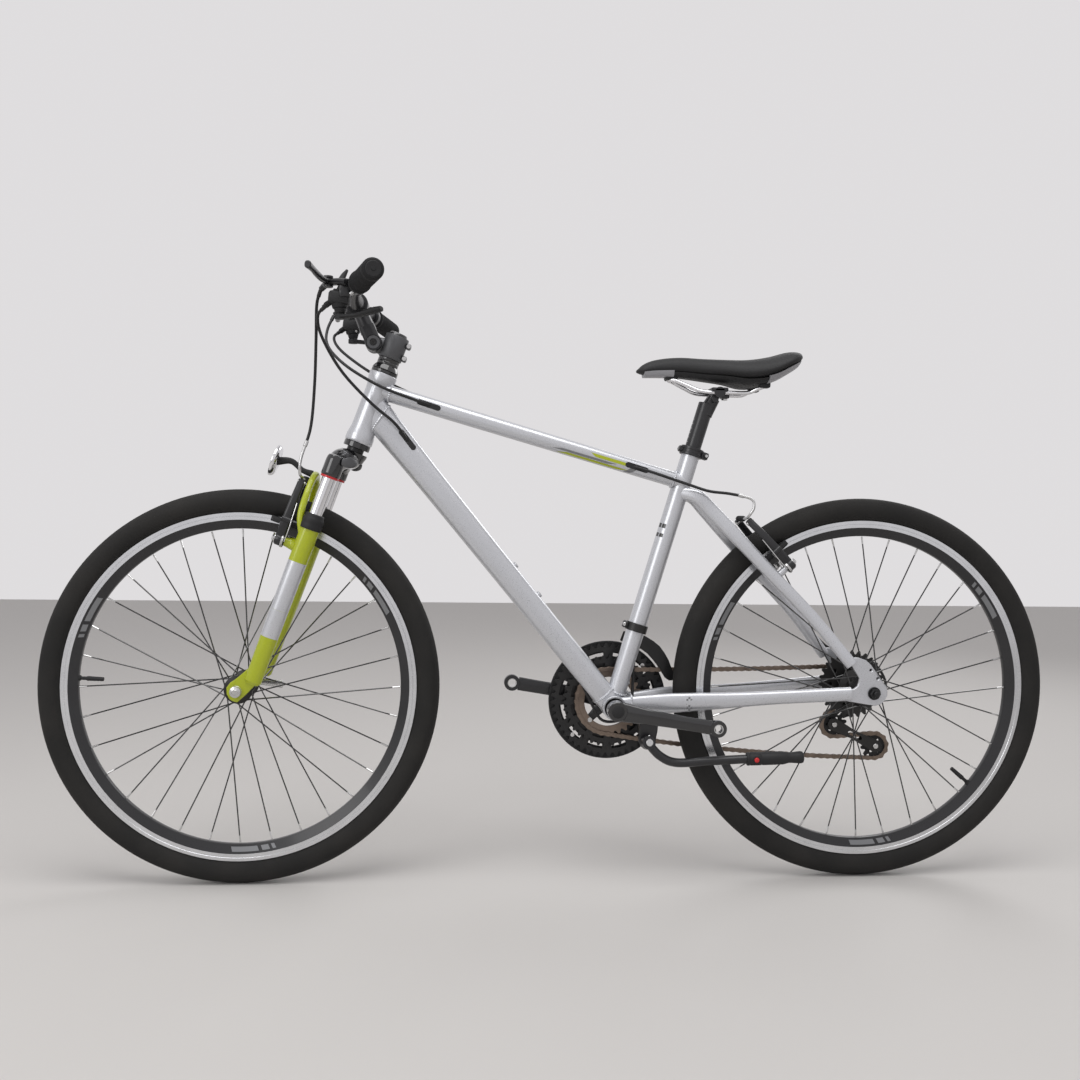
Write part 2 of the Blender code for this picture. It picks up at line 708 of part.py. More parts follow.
def fork():
    body("steering", HEAD_BOTTOM, "frame")
    steerer = [
        (0.0, STEM_TOP),
        (STEERER_RADIUS, STEM_TOP),
        (STEERER_RADIUS, CROWN_TOP - 0.006),
        (0.0225, CROWN_TOP - 0.007),
        (0.0185, CROWN_TOP - 0.020),
        (0.0, CROWN_TOP - 0.020),
    ]
    pieces = [turned(steerer, HEAD_BOTTOM, UP_STEER, 20, closed=False)]
    crown = [steer(-0.050, LEG_OFFSET, -LEG_SPACING_HALF), steer(-0.036, 0.013, -0.036),
        steer(-0.030, 0.004, 0.0)]
    crown += [steer(-0.036, 0.013, 0.036), steer(-0.050, LEG_OFFSET, LEG_SPACING_HALF)]
    pieces.append(swept(crown, [0.0155, 0.0175, 0.0190, 0.0175, 0.0155],
        [0.0150, 0.0160, 0.0160, 0.0160, 0.0150],
                        12, 2.4, FORWARD))
    for side in SIDES.values():
        y = side * LEG_SPACING_HALF
        pieces.append(rod(steer(-0.034, LEG_OFFSET, y), steer(CROWN_LOW, LEG_OFFSET, y), 0.0160, 12))
        pieces.append(rod(steer(-0.050, LEG_OFFSET, y), steer(STANCHION_END, LEG_OFFSET, y),
            STANCHION_RADIUS, 12))
    node("fork_upper", "steering", BLACK_PAINT, pieces)

    body("fork_lowers", FRONT_AXLE, "steering")
    cover = [
        (STEERER_RADIUS + CLEARANCE, HEAD_TUBE_LENGTH + 0.0068),
        (0.0225, HEAD_TUBE_LENGTH + 0.0068),
        (0.0180, HEAD_TUBE_LENGTH + 0.0150),
        (0.0175, HEAD_TUBE_LENGTH + 0.0270),
        (STEERER_RADIUS + CLEARANCE, HEAD_TUBE_LENGTH + 0.0270),
    ]
    node("headset_spacers", "steering", BLACK_PLASTIC, [turned(cover[::-1], HEAD_BOTTOM, UP_STEER, 20)])
    fork_lowers()
    front_axle()


def fork_lowers():
    limb = [(LEG_SPACING_HALF, -0.172, 0.028), (0.057, -0.145, 0.0400), (0.047, -0.108, 0.0440)]
    limb += [(0.029, -0.084, 0.0455), (0.0, -0.076, 0.0465)]
    arch = [steer(along, offset, -y) for y, along, offset in limb]
    arch += [steer(along, offset, y) for y, along, offset in reversed(limb[:-1])]
    pieces = [swept(arch, 0.0055, [0.0090, 0.0080, 0.0070, 0.0065, 0.0065, 0.0065, 0.0070, 0.0080, 0.0090],
                    8, 2.6, FORWARD)]
    cutters = []
    for side in SIDES.values():
        y = side * LEG_SPACING_HALF
        leg = [steer(LEG_TOP, LEG_OFFSET, y), steer(-0.30, LEG_OFFSET, y),
            steer(LEG_END, LEG_OFFSET, side * 0.0560)]
        pieces.append(swept(leg, [LEG_RADIUS, LEG_RADIUS, 0.0085], [0.0160, 0.0150, 0.0140], 12, 2.2))
        pieces.append(rod(steer(BOOT_TOP, LEG_OFFSET, y), steer(LEG_TOP - 0.004, LEG_OFFSET, y), 0.0165, 12,
                          0.0180))
        foot = [(-0.430, 0.0130), (-0.4650, 0.0300), (-0.4640, 0.0430), (-0.4480, 0.0540), (-0.4300, 0.0450)]
        foot += [(-0.4050, 0.0310), (-0.3900, 0.0200), (-0.3980, 0.0100)]
        hole = [(along - FORK_LENGTH, offset + FORK_OFFSET) for along,
            offset in circle(AXLE_RADIUS + CLEARANCE, 12)]
        plate_centre = HEAD_BOTTOM + Vector((0, side * (FRONT_SPACING_HALF + 0.003), 0))
        pieces.append(plate(foot, 0.006, plate_centre, UP_STEER, FORWARD, holes=(hole,)))
        boss_y = side * BRAKE_BOSS_SPACING_HALF
        pieces.append(swept([steer(-0.1945, 0.016, side * 0.054), steer(-0.1945, 0.036, boss_y),
                             steer(-0.1945, 0.0515, boss_y)], [0.010, 0.0085, 0.0070],
                                 [0.013, 0.0100, 0.0070], 8))
        cutters.append(rod(steer(BOOT_TOP + 0.01, LEG_OFFSET, y), steer(-0.400, LEG_OFFSET, y),
                           (STANCHION_RADIUS + RUNNING) / cos(pi / 12), 12))
    node("fork_lowers", "fork_lowers", LIME_PAINT, pieces, cutters)
    disc = [(0.0, 0.0), (0.0220, 0.0), (0.0265, 0.0040), (0.0265, 0.0075), (0.0, 0.0120)]
    centre = steer(-0.076, 0.1120)
    arm = swept([steer(-0.076, 0.0522 + CLEARANCE), steer(-0.0755, 0.070), steer(-0.068, 0.092),
        centre + FORWARD * 0.002],
                0.0065, [0.0060, 0.0045, 0.0050, 0.0070], 8, 3.0)
    node("front_reflector", "fork_lowers", CLEAR_REFLECTOR,
         [turned(disc[::-1], centre, FORWARD, 20, closed=False), arm])


def front_axle():
    out = FRONT_SPACING_HALF + 0.006 + CLEARANCE
    pieces = [
        cross_rod(FRONT_AXLE, -out - 0.0110, out + 0.0010, AXLE_RADIUS, 10),
        cross_rod(FRONT_AXLE, -out - 0.0090, -out, 0.0090, 12),
        cross_rod(FRONT_AXLE, out, out + 0.0018, 0.0085, 12),
    ]
    node("front_axle", "fork_lowers", BLACK_PAINT, pieces)
    pivot = FRONT_AXLE + Vector((0, out + 0.0112, 0))
    body("quick_release", pivot, "fork_lowers")
    along = Vector((0.9945, 0, -0.1045))
    lever = swept([pivot, pivot + along * 0.020 + Y_AXIS * 0.0015, pivot + along * 0.058 - Y_AXIS * 0.0010],
                  [0.0035, 0.0030, 0.0022], [0.0065, 0.0060, 0.0070], 8, 2.6)
    cam_axis = Y_AXIS.cross(along)
    cam = rod(pivot + cam_axis * 0.0060, pivot - cam_axis * 0.0060, 0.0086, 12)
    node("quick_release_lever", "quick_release", BLACK_PAINT, [cam, lever])


# ---------------------------------------------------------------- stem and handlebar

STEM_PIVOT = steer(0.1645, 0.0331)
BAR_CLAMP = Vector((-0.3440, 0, 0.9670))
HALF_BAR = [
    (0.0, 0.0, 0.0),
    (0.0, 0.035, 0.0),
    (0.0005, 0.075, 0.0040),
    (0.0060, 0.115, 0.0080),
    (0.0150, 0.160, 0.0070),
    (0.0290, 0.220, 0.0050),
    (0.0421, 0.2780, 0.0031),
]
GRIP_START = 0.1640
TRIGGER_BARREL = 0.0032
LEVER_CLAMP_Y = 0.1480


def bar_point(y):
    """The bar's centre at a distance across, read between its bends."""
    for (x0, y0, z0), (x1, y1, z1) in zip(HALF_BAR, HALF_BAR[1:]):
        if y <= y1 or y1 == HALF_BAR[-1][1]:
            share = (y - y0) / (y1 - y0)
            return BAR_CLAMP + Vector((x0 + share * (x1 - x0), y, z0 + share * (z1 - z0)))
    return BAR_CLAMP


def mirrored(point, side):
    return Vector((point.x, side * point.y, point.z))


def stem():
    low, high = HEAD_TUBE_LENGTH + 0.0273, STEM_TOP + 0.0020
    post = rod(steer(low), steer(high), 0.0200, 20)
    neck = swept([steer(0.1660, 0.012), STEM_PIVOT], [0.0085, 0.0085], [0.0150, 0.0120], 8, 2.6)
    pivot = cross_rod(STEM_PIVOT, -0.0086, 0.0086, 0.0140, 14)
    ears = [block(steer(0.1580 + k * 0.022, -0.0225), (0.0090, 0.0200, 0.0080), UP_STEER) for k in (0, 1)]
    cap = rod(steer(high - 0.0010), steer(high + 0.0050), 0.0165, 14, 0.0140)
    bore = rod(steer(low - 0.01), steer(STEM_TOP + 0.0006), (STEERER_RADIUS + CLEARANCE) / cos(pi / 16), 16)
    node("stem_base", "steering", GREY_PLASTIC, [post, neck, pivot, *ears, cap], [bore])

    body("stem_arm", STEM_PIVOT, "steering")
    up = (BAR_CLAMP - STEM_PIVOT).normalized()
    cheeks = []
    for side in SIDES.values():
        foot = STEM_PIVOT + Vector((0, side * 0.0145, 0))
        cheeks.append(cross_rod(STEM_PIVOT, *sorted((side * 0.0090, side * 0.0200)), 0.0140, 14))
        cheeks.append(swept([foot, foot + up * 0.030], [0.0054, 0.0054], [0.0130, 0.0135], 8, 2.6))
    arm = swept([STEM_PIVOT + up * 0.0215, STEM_PIVOT + up * 0.040, BAR_CLAMP], [0.0195, 0.0190, 0.0170],
                [0.0140, 0.0130, 0.0120], 12, 2.6)
    clamp = cross_rod(BAR_CLAMP, -0.0200, 0.0200, 0.0185, 16)
    bore = cross_rod(BAR_CLAMP, -0.05, 0.05, (BAR_RADIUS + 0.0016 + CLEARANCE) / cos(pi / 12), 12)
    node("stem_arm", "stem_arm", BLACK_PAINT, [arm, clamp, *cheeks], [bore])

    half = [BAR_CLAMP + Vector(point) for point in HALF_BAR]
    path = [mirrored(point, -1) for point in half[:0:-1]] + half
    radii = [BAR_RADIUS] * 4 + [BAR_RADIUS, BAR_RADIUS + 0.0016] + [BAR_RADIUS + 0.0016]
    radii += [BAR_RADIUS + 0.0016, BAR_RADIUS] + [BAR_RADIUS] * 4
    node("handlebar", "stem_arm", BLACK_PAINT, [swept(path, radii, radii, 12, 2.0, (0, 0, 1))])
    for name, side in SIDES.items():
        start, end = bar_point(GRIP_START), bar_point(GRIP_START + GRIP_LENGTH)
        ahead = (end - start).normalized()
        profile = [
            (0.0, GRIP_LENGTH - 0.0020),
            (BAR_RADIUS + 0.0008, GRIP_LENGTH - 0.0020),
            (BAR_RADIUS + 0.0008, 0.0),
            (GRIP_RADIUS + 0.0012, 0.0),
            (GRIP_RADIUS + 0.0012, 0.006),
            (GRIP_RADIUS - 0.0008, 0.012),
            (GRIP_RADIUS, GRIP_LENGTH - 0.030),
            (GRIP_RADIUS + 0.0012, GRIP_LENGTH - 0.003),
            (GRIP_RADIUS - 0.0030, GRIP_LENGTH),
            (0.0, GRIP_LENGTH),
        ]
        origin, axis = mirrored(start, side), mirrored(ahead, side)
        node(f"grip_{name}", "stem_arm", GRIP_RUBBER, [turned(profile[::-1], origin, axis, 14, closed=False)])
        controls(name, side)


def controls(name, side):
    """The brake bracket with the shifter pod, its brake lever, thumb lever and release trigger."""

    def at(x, y, z):
        return Vector((x, side * y, z))

    clamp = bar_point(LEVER_CLAMP_Y)
    ahead = (bar_point(LEVER_CLAMP_Y + 0.01) - bar_point(LEVER_CLAMP_Y - 0.01)).normalized()
    clamp_at, clamp_way = mirrored(clamp, side), mirrored(ahead, side)
    lug = rod(clamp_at - clamp_way * 0.006, clamp_at + clamp_way * 0.006, 0.0165, 12)
    arm = swept([at(-0.3480, 0.147, 0.9760), at(-0.3630, 0.135, 0.9790), at(-0.3800, 0.122, 0.9800)],
                [0.0090, 0.0080, 0.0080], [0.0050, 0.0048, 0.0048], 8, 2.6, (0, 0, 1))
    pod = block(at(-0.3620, 0.128, 0.9540), (0.0330, 0.0300, 0.0200), (1, 0, -0.1))
    neck = block(at(-0.3530, 0.1400, 0.9640), (0.0176, 0.0110, 0.0200), (1, 0, 0.05))
    barrel = rod(at(-0.3620, 0.128, 0.9500), at(-0.3610, 0.128, 0.9310), 0.0095, 10, 0.0075)
    bore = rod(clamp_at - clamp_way * 0.03, clamp_at + clamp_way * 0.03,
        (BAR_RADIUS + CLEARANCE) / cos(pi / 12), 12)
    pivot = at(-0.3800, 0.128, 0.9800)
    trigger_pivot = at(-0.3610, 0.1160, 0.9855)
    post_top = trigger_pivot - Vector((0, 0, TRIGGER_BARREL + CLEARANCE))
    post_path = [at(-0.3680, 0.1190, 0.9580), post_top - Vector((0, 0, 0.0050)), post_top]
    post = swept(post_path, 0.0050, [0.0050, 0.0050, 0.0040], 6)
    pieces = [lug, arm, pod, neck, barrel, post]
    gap = [block(pivot + Vector((-0.006, side * 0.0072, 0)), (0.030, 0.0300, 0.0104), (1, 0, 0))]
    cap = rod(pivot + Vector((0, 0, -0.0085)), pivot + Vector((0, 0, 0.0085)), 0.0075, 10)
    pieces.append(cap)
    node(f"lever_bracket_{name}", "stem_arm", BLACK_PLASTIC, pieces, [*gap, bore])

    body(f"brake_lever_{name}", pivot, "stem_arm")
    blade = [
        pivot,
        at(-0.3870, 0.150, 0.9800),
        at(-0.3920, 0.180, 0.9815),
        at(-0.3950, 0.210, 0.9825),
        at(-0.3985, 0.236, 0.9830),
    ]
    knuckle = rod(pivot - Vector((0, 0, 0.0045)), pivot + Vector((0, 0, 0.0045)), 0.0070, 12)
    node(f"brake_lever_{name}", f"brake_lever_{name}", BLACK_PAINT,
         [swept(blade, [0.0044, 0.0044, 0.0050, 0.0050, 0.0058], [0.0060, 0.0055, 0.0045, 0.0040, 0.0050],
                8, 2.6, (0, 0, 1)), knuckle])

    thumb_pivot = at(-0.3610, 0.128, 0.9305)
    body(f"shift_lever_{name}", thumb_pivot, "stem_arm")
    thumb = [thumb_pivot + Vector((0, 0, -0.0040)), at(-0.3340, 0.142, 0.9270), at(-0.3080, 0.160, 0.9315)]
    thumb.append(at(-0.2960, 0.168, 0.9335))
    node(f"shift_lever_{name}", f"shift_lever_{name}", BLACK_PLASTIC,
         [swept(thumb, [0.0035, 0.0035, 0.0045, 0.0045], [0.0080, 0.0060, 0.0080, 0.0060], 8, 2.6, (0, 0, 1)),
          rod(thumb_pivot + Vector((0, 0, -0.0080)), thumb_pivot + Vector((0, 0, -CLEARANCE)), 0.0085, 12)])

    body(f"release_trigger_{name}", trigger_pivot, "stem_arm")
    fin = [trigger_pivot + Vector((0, 0, 0.0000)), at(-0.3570, 0.1130, 0.9940), at(-0.3520, 0.1120, 1.0020)]
    hinge = cross_rod(trigger_pivot, trigger_pivot.y - 0.0040, trigger_pivot.y + 0.0040, TRIGGER_BARREL, 8)
    node(f"release_trigger_{name}", f"release_trigger_{name}", BLACK_PLASTIC,
         [swept(fin, [0.0045, 0.0045, 0.0030], [0.0050, 0.0040, 0.0020], 8, 2.6), hinge])


# ---------------------------------------------------------------- seat

SEAT_HEAD = Vector((0.2680, 0, SADDLE_RAIL_HEIGHT))
RAIL_RADIUS = 0.0035
CRADLE_RADIUS = 0.0095  # of the clamp that turns on the post's head


def saddle():
    body("seatpost", seat(SEAT_TUBE_LENGTH), "frame")
    top = 0.5440
    post = rod(seat(SEAT_TUBE_LENGTH - SEAT_POST_INSERTION), seat(top), SEAT_POST_RADIUS, 24)
    neck = seat(top - 0.018, 0.002)
    leaning = (SEAT_HEAD - neck).normalized()
    head = swept([neck, SEAT_HEAD - leaning * (CRADLE_RADIUS + 0.0005)], [0.0130, 0.0120], [0.0130, 0.0110],
        12, 2.6)
    node("seatpost", "seatpost", BLACK_PAINT, [post, head])

    body("saddle", SEAT_HEAD, "seatpost")

    half = [(0.3400, 0.0340, 0.8438), (0.3300, 0.0300, 0.8400), (0.3166, 0.0235, 0.8345),
        (0.2900, 0.0220, 0.8340)]
    half += [(0.2400, 0.0220, 0.8350), (0.2150, 0.0180, 0.8440), (0.1930, 0.0120, 0.8538),
        (0.1850, 0.0050, 0.8553)]
    rail = [(x, -y, z) for x, y, z in half] + [(x, y, z) for x, y, z in reversed(half)]
    cradle = cross_rod(SEAT_HEAD, -0.0280, 0.0280, CRADLE_RADIUS, 12)
    upper = block(SEAT_HEAD + Vector((0, 0, 0.0040)), (0.0280, 0.0560, 0.0060))
    bolt = rod(SEAT_HEAD + Vector((0.014, 0, -0.0074)), SEAT_HEAD + Vector((0.014, 0, 0.0110)), 0.0040, 8)
    node("saddle_rails", "saddle", CHROME, [tube(rail, RAIL_RADIUS, resolution=1), cradle, upper, bolt])

    # station, half width, top, bottom
    stations = [
        (0.1300, 0.0080, 0.8720, 0.8660),
        (0.1400, 0.0170, 0.8810, 0.8635),
        (0.1600, 0.0200, 0.8890, 0.8640),
        (0.2000, 0.0220, 0.8945, 0.8640),
        (0.2400, 0.0280, 0.8940, 0.8600),
        (0.2800, 0.0420, 0.8930, 0.8560),
        (0.3150, 0.0600, 0.8930, 0.8500),
        (0.3500, 0.0740, 0.8980, 0.8540),
        (0.3800, 0.0760, 0.9060, 0.8700),
        (0.3980, 0.0620, 0.9060, 0.8820),
        (0.4060, 0.0380, 0.9010, 0.8900),
    ]
    node("saddle_cover", "saddle", SADDLE_COVER, [cushion(stations, 16)])
    shell = [(x, wide * 0.80, low + 0.0005, low - 0.0045) for x, wide, _, low in stations[1:-1]]
    rings = []
    for x, wide, high, low in shell:
        top_y = wide
        rings.append([(x, -top_y, high - 0.0010), (x, -top_y * 0.8, low), (x, top_y * 0.8, low),
            (x, top_y, high - 0.0010)])
    shape = loft([[Vector(point) for point in points] for points in rings])
    node("saddle_shell", "saddle", GREY_PLASTIC, [shape])


def cushion(stations, sides):
    """A crowned saddle: each cross-section is domed above and drawn in below."""
    rings = []
    for x, wide, high, low in stations:
        points = []
        for k in range(sides):
            angle = tau * (k + 0.5) / sides
            across, rise = cos(angle), sin(angle)
            middle = low + (high - low) * 0.35
            z = middle + (high - middle) * rise if rise > 0 else middle + (middle - low) * rise
            pull = 1.0 if rise > 0 else 1.0 - 0.18 * rise * rise
            points.append(Vector((x, wide * across * pull, z)))
        rings.append(points)
    return loft(rings)


# ---------------------------------------------------------------- drivetrain


def pitch_radius(teeth):
    return CHAIN_PITCH / (2 * sin(pi / teeth))


def toothed(teeth, root_depth=0.0036, tip_height=0.0034, turn=0.0):
    radius = pitch_radius(teeth)
    outline = []
    for k in range(teeth):
        for share, reach in ((0.0, radius + tip_height), (0.5, radius - root_depth)):
            angle = turn + tau * (k + share) / teeth
            outline.append((reach * cos(angle), reach * sin(angle)))
    return outline


def y_place(centre, y):
    return Vector((centre.x, y, centre.z))


def spider_outline(reach, width, boss):
    """Four arms out of a round boss."""
    outline = []
    for k in range(4):
        angle = tau * k / 4 + pi / 4
        ahead, aside = Vector((cos(angle), sin(angle))), Vector((-sin(angle), cos(angle)))
        for along, across in ((boss, -1.2), (reach, -0.7), (reach, 0.7), (boss, 1.2)):
            outline.append(tuple(ahead * along + aside * (width * across)))
    return outline


def chainwheels():
    pieces = []
    for size, teeth in RING_TEETH.items():
        hole = circle(0.0430 if size == "small" else 0.0455, 12)
        pieces.append(plate(toothed(teeth), RING_THICKNESS, y_place(BOTTOM_BRACKET, RING_Y[size]),
            holes=(hole,)))
    low, high = RING_Y["middle"] + 0.0003, RING_Y["large"] - 0.0003
    hole = circle(0.0142, 16)
    spider = plate(spider_outline(0.0540, 0.0080, 0.0200), high - low,
        y_place(BOTTOM_BRACKET, (low + high) / 2),
                   holes=(hole,))
    pieces.append(spider)
    for k in range(4):
        angle = tau * k / 4 + pi / 4
        towards = Vector((cos(angle), 0, sin(angle)))
        inner, outer = BOTTOM_BRACKET + towards * 0.0462, BOTTOM_BRACKET + towards * 0.0870
        pieces.append(cross_rod(inner, RING_Y["small"] - 0.0002, RING_Y["middle"] + 0.0002, 0.0034, 6))
        pieces.append(cross_rod(outer, RING_Y["large"] - 0.0002, GUARD_Y + 0.0016, 0.0038, 6))
    pieces.append(ring(0.0830, GUARD_RADIUS, BOTTOM_BRACKET, Y_AXIS, GUARD_Y - 0.0010, GUARD_Y + 0.0010, 24))
    node("chainrings", "crankset", DARK_STEEL, pieces)


def crank(name, side, direction):
    """An arm from the spindle to the pedal hole, bent outwards."""
    if side < 0:
        hub_span, offsets, half = (-0.0680, -0.0460), (-0.0580, -0.0665, -0.0690, -0.0715), 0.0060
    else:
        hub_span, offsets, half = (0.0500, 0.0720), (0.0630, 0.0740, 0.0760, 0.0785), 0.0055
    path = [y_place(BOTTOM_BRACKET + direction * reach, y) for reach,
        y in zip((0.0, 0.045, 0.10, CRANK_LENGTH), offsets)]
    pedal = BOTTOM_BRACKET + direction * CRANK_LENGTH
    pieces = [
        cross_rod(BOTTOM_BRACKET, *hub_span, 0.0135 if side > 0 else 0.0165, 16),
        swept(path, half, [0.0170, 0.0135, 0.0115, 0.0125], 8, 3.0),
        cross_rod(pedal, offsets[-1] - 0.0065, offsets[-1] + 0.0065, 0.0140, 16),
    ]
    cutters = [cross_rod(pedal, offsets[-1] - 0.02, offsets[-1] + 0.02, 0.0068, 12)]
    if side > 0:
        pieces.append(cross_rod(BOTTOM_BRACKET, -0.0615, 0.0600, SPINDLE_RADIUS, 12))
    else:
        cutters.append(cross_rod(BOTTOM_BRACKET, -0.0620, 0.0, SPINDLE_RADIUS + CLEARANCE, 12))
    node(f"crank_{name}", "crankset", BLACK_PAINT, pieces, cutters)


def freewheel():
    body("freewheel", REAR_AXLE, "frame")
    count = len(SPROCKET_TEETH)
    places = [SMALLEST_SPROCKET_Y - SPROCKET_SPACING * (count - 1 - k) for k in range(count)]
    plates = [
        plate(toothed(teeth), 0.0018, y_place(REAR_AXLE, y)) for teeth, y in zip(SPROCKET_TEETH, places)
    ]
    core = cross_rod(REAR_AXLE, places[0] - 0.0030, places[-1] + 0.0022, 0.0235, 16)
    seat_bore = cross_rod(REAR_AXLE, 0.0, REAR_HUB_END + 0.0010, (FREEWHEEL_SEAT + RUNNING) / cos(pi / 16),
        16)
    axle_bore = cross_rod(REAR_AXLE, 0.0, 0.0900, 0.0090, 12)
    node("freewheel", "freewheel", DARK_STEEL, [core, *plates], [seat_bore, axle_bore])


GUIDE = Vector((0.5076, SMALLEST_SPROCKET_Y, 0.2521))
TENSION = Vector((0.5843, SMALLEST_SPROCKET_Y, 0.2130))


def chain_wheels():
    """The wheels that the chain runs round, in order: centre, pitch radius, and +1 where it turns clockwise."""
    return [
        (y_place(BOTTOM_BRACKET, RING_Y["small"]), pitch_radius(RING_TEETH["small"]), 1),
        (y_place(REAR_AXLE, SMALLEST_SPROCKET_Y), pitch_radius(SPROCKET_TEETH[-1]), 1),
        (GUIDE, pitch_radius(JOCKEY_TEETH), -1),
        (TENSION, pitch_radius(JOCKEY_TEETH), 1),
    ]


def tangent(first, second):
    """Where a taut chain leaves one wheel and meets the next."""
    (a, ra, sa), (b, rb, sb) = first, second
    gap = Vector((b.x - a.x, b.z - a.z))
    turn = asin((sb * rb - sa * ra) / gap.length)
    ahead = gap.normalized()
    ahead = Vector((ahead.x * cos(turn) - ahead.y * sin(turn), ahead.x * sin(turn) + ahead.y * cos(turn)))
    left = Vector((-ahead.y, ahead.x))
    leave = Vector((a.x + sa * ra * left.x, a.y, a.z + sa * ra * left.y))
    meet = Vector((b.x + sb * rb * left.x, b.y, b.z + sb * rb * left.y))
    return leave, meet


UPPER_SAG = 0.0030
LOWER_SAG = 0.0085


def chain_route():
    """The chain's centre line as a closed list of points, with the stretches that run free."""
    wheels_round = chain_wheels()
    spans = [tangent(wheels_round[i], wheels_round[(i + 1) % 4]) for i in range(4)]
    sags = (UPPER_SAG, 0.0, 0.0, LOWER_SAG)
    route, runs = [], []
    for i, (leave, meet) in enumerate(spans):
        long = (meet - leave).length > 0.2
        run = []
        for share in (0.0, 0.08, 0.22, 0.36, 0.5, 0.64, 0.78, 0.92, 1.0) if long else (0.0, 0.5, 1.0):
            sideways = min(max((share - 0.08) / 0.84, 0.0), 1.0)
            point = leave.lerp(meet, share)
            point.y = leave.y + (meet.y - leave.y) * sideways
            run.append(point - Vector((0, 0, 4 * sags[i] * share * (1 - share))))
        runs.append(run)
        route.extend(run)
        centre, radius, sense = wheels_round[(i + 1) % 4]
        start = atan2(meet.z - centre.z, meet.x - centre.x)
        leaving = spans[(i + 1) % 4][0]
        end = atan2(leaving.z - centre.z, leaving.x - centre.x)
        sweep = (start - end) % tau if sense > 0 else (end - start) % tau
        steps = max(3, round(sweep / radians(25)))
        for k in range(1, steps):
            angle = start - sense * sweep * k / steps
            route.append(Vector((centre.x + radius * cos(angle), centre.y, centre.z + radius * sin(angle))))
    return route, runs


def chain():
    route, runs = chain_route()
    count = len(route)
    ribbons = []
    for side in SIDES.values():
        rings = []
        for i, point in enumerate(route):
            ahead = (route[(i + 1) % count] - route[i - 1]).normalized()
            up = Vector((-ahead.z, 0, ahead.x)).normalized()
            near, far = side * CHAIN_GAP, side * (CHAIN_GAP + CHAIN_PLATE)
            rings.append([
                point + Vector((0, near, 0)) + up * CHAIN_HEIGHT / 2,
                point + Vector((0, far, 0)) + up * CHAIN_HEIGHT / 2,
                point + Vector((0, far, 0)) - up * CHAIN_HEIGHT / 2,
                point + Vector((0, near, 0)) - up * CHAIN_HEIGHT / 2,
            ])
        ribbons.append(loft(rings, closed=True))
    wheels_round = chain_wheels()
    pins = []
    for run in runs:
        lengths = [0.0]
        for first, second in zip(run, run[1:]):
            lengths.append(lengths[-1] + (second - first).length)
        links = int(lengths[-1] / (2 * CHAIN_PITCH))
        for k in range(1, links):
            target = k * lengths[-1] / links
            at = max(i for i, value in enumerate(lengths[:-1]) if value <= target)
            share = (target - lengths[at]) / (lengths[at + 1] - lengths[at])
            place = run[at].lerp(run[at + 1], share)
            free = all(
                sqrt((place.x - centre.x) ** 2 + (place.z - centre.z) ** 2) > radius + 0.0085
                for centre, radius, _ in wheels_round
            )
            if free:
                reach = CHAIN_GAP + CHAIN_PLATE * 0.5
                pins.append(cross_rod(place, place.y - reach, place.y + reach, 0.0032, 4))
    node("chain", "frame", CHAIN_STEEL, [ribbons[0], joined(pins), ribbons[1]])


def front_derailleur():
    collar = ring(SEAT_TUBE_RADIUS + CLEARANCE, 0.0190, BOTTOM_BRACKET, UP_SEAT, 0.1330, 0.1470, 20)
    body_block = swept([seat(0.140, 0.005, 0.0188), seat(0.1395, 0.006, 0.0320)], [0.0120, 0.0100],
        [0.0100, 0.0080],
                       8, 3.0, UP_SEAT)
    pin_at = BOTTOM_BRACKET + Vector((0.0483, 0, 0.1120))
    link_y = FD_INNER_Y - 0.0012
    arm = swept([seat(0.134, 0.006, 0.0240), y_place(pin_at, 0.0290)], 0.0040, 0.0045, 8, 3.0)
    pin = cross_rod(pin_at, 0.0240, link_y - 0.0015 - CLEARANCE, 0.0045, 8)
    node("front_derailleur_body", "frame", DARK_STEEL, [collar, body_block, arm, pin])
    body("front_derailleur_cage", seat(0.132, 0.014, 0.040), "frame")
    outline = [(0.0200, 0.1060), (0.0560, 0.0920), (0.0790, 0.0720), (0.0960, 0.0480), (0.1060, 0.0370)]
    outline += [(0.1160, 0.0400), (0.1100, 0.0600), (0.0980, 0.0850), (0.0780, 0.1060), (0.0500, 0.1200)]
    outline += [(0.0260, 0.1220)]
    plates = [
        plate(outline, 0.0011, y_place(BOTTOM_BRACKET, y)) for y in (FD_INNER_Y, FD_OUTER_Y)
    ]
    middle, half = (FD_INNER_Y + FD_OUTER_Y) / 2, (FD_OUTER_Y - FD_INNER_Y) / 2
    tail = block(BOTTOM_BRACKET + Vector((0.1100, middle, 0.0395)), (0.0060, 2 * half, 0.0030))
    top = block(BOTTOM_BRACKET + Vector((0.0450, middle, 0.1180)), (0.0300, 2 * half, 0.0030))
    link = block(y_place(pin_at, link_y), (0.0180, 0.0030, 0.0140))
    node("front_derailleur_cage", "front_derailleur_cage", DARK_STEEL, [*plates, tail, top, link])


FD_INNER_Y = 0.0392
FD_OUTER_Y = 0.0520


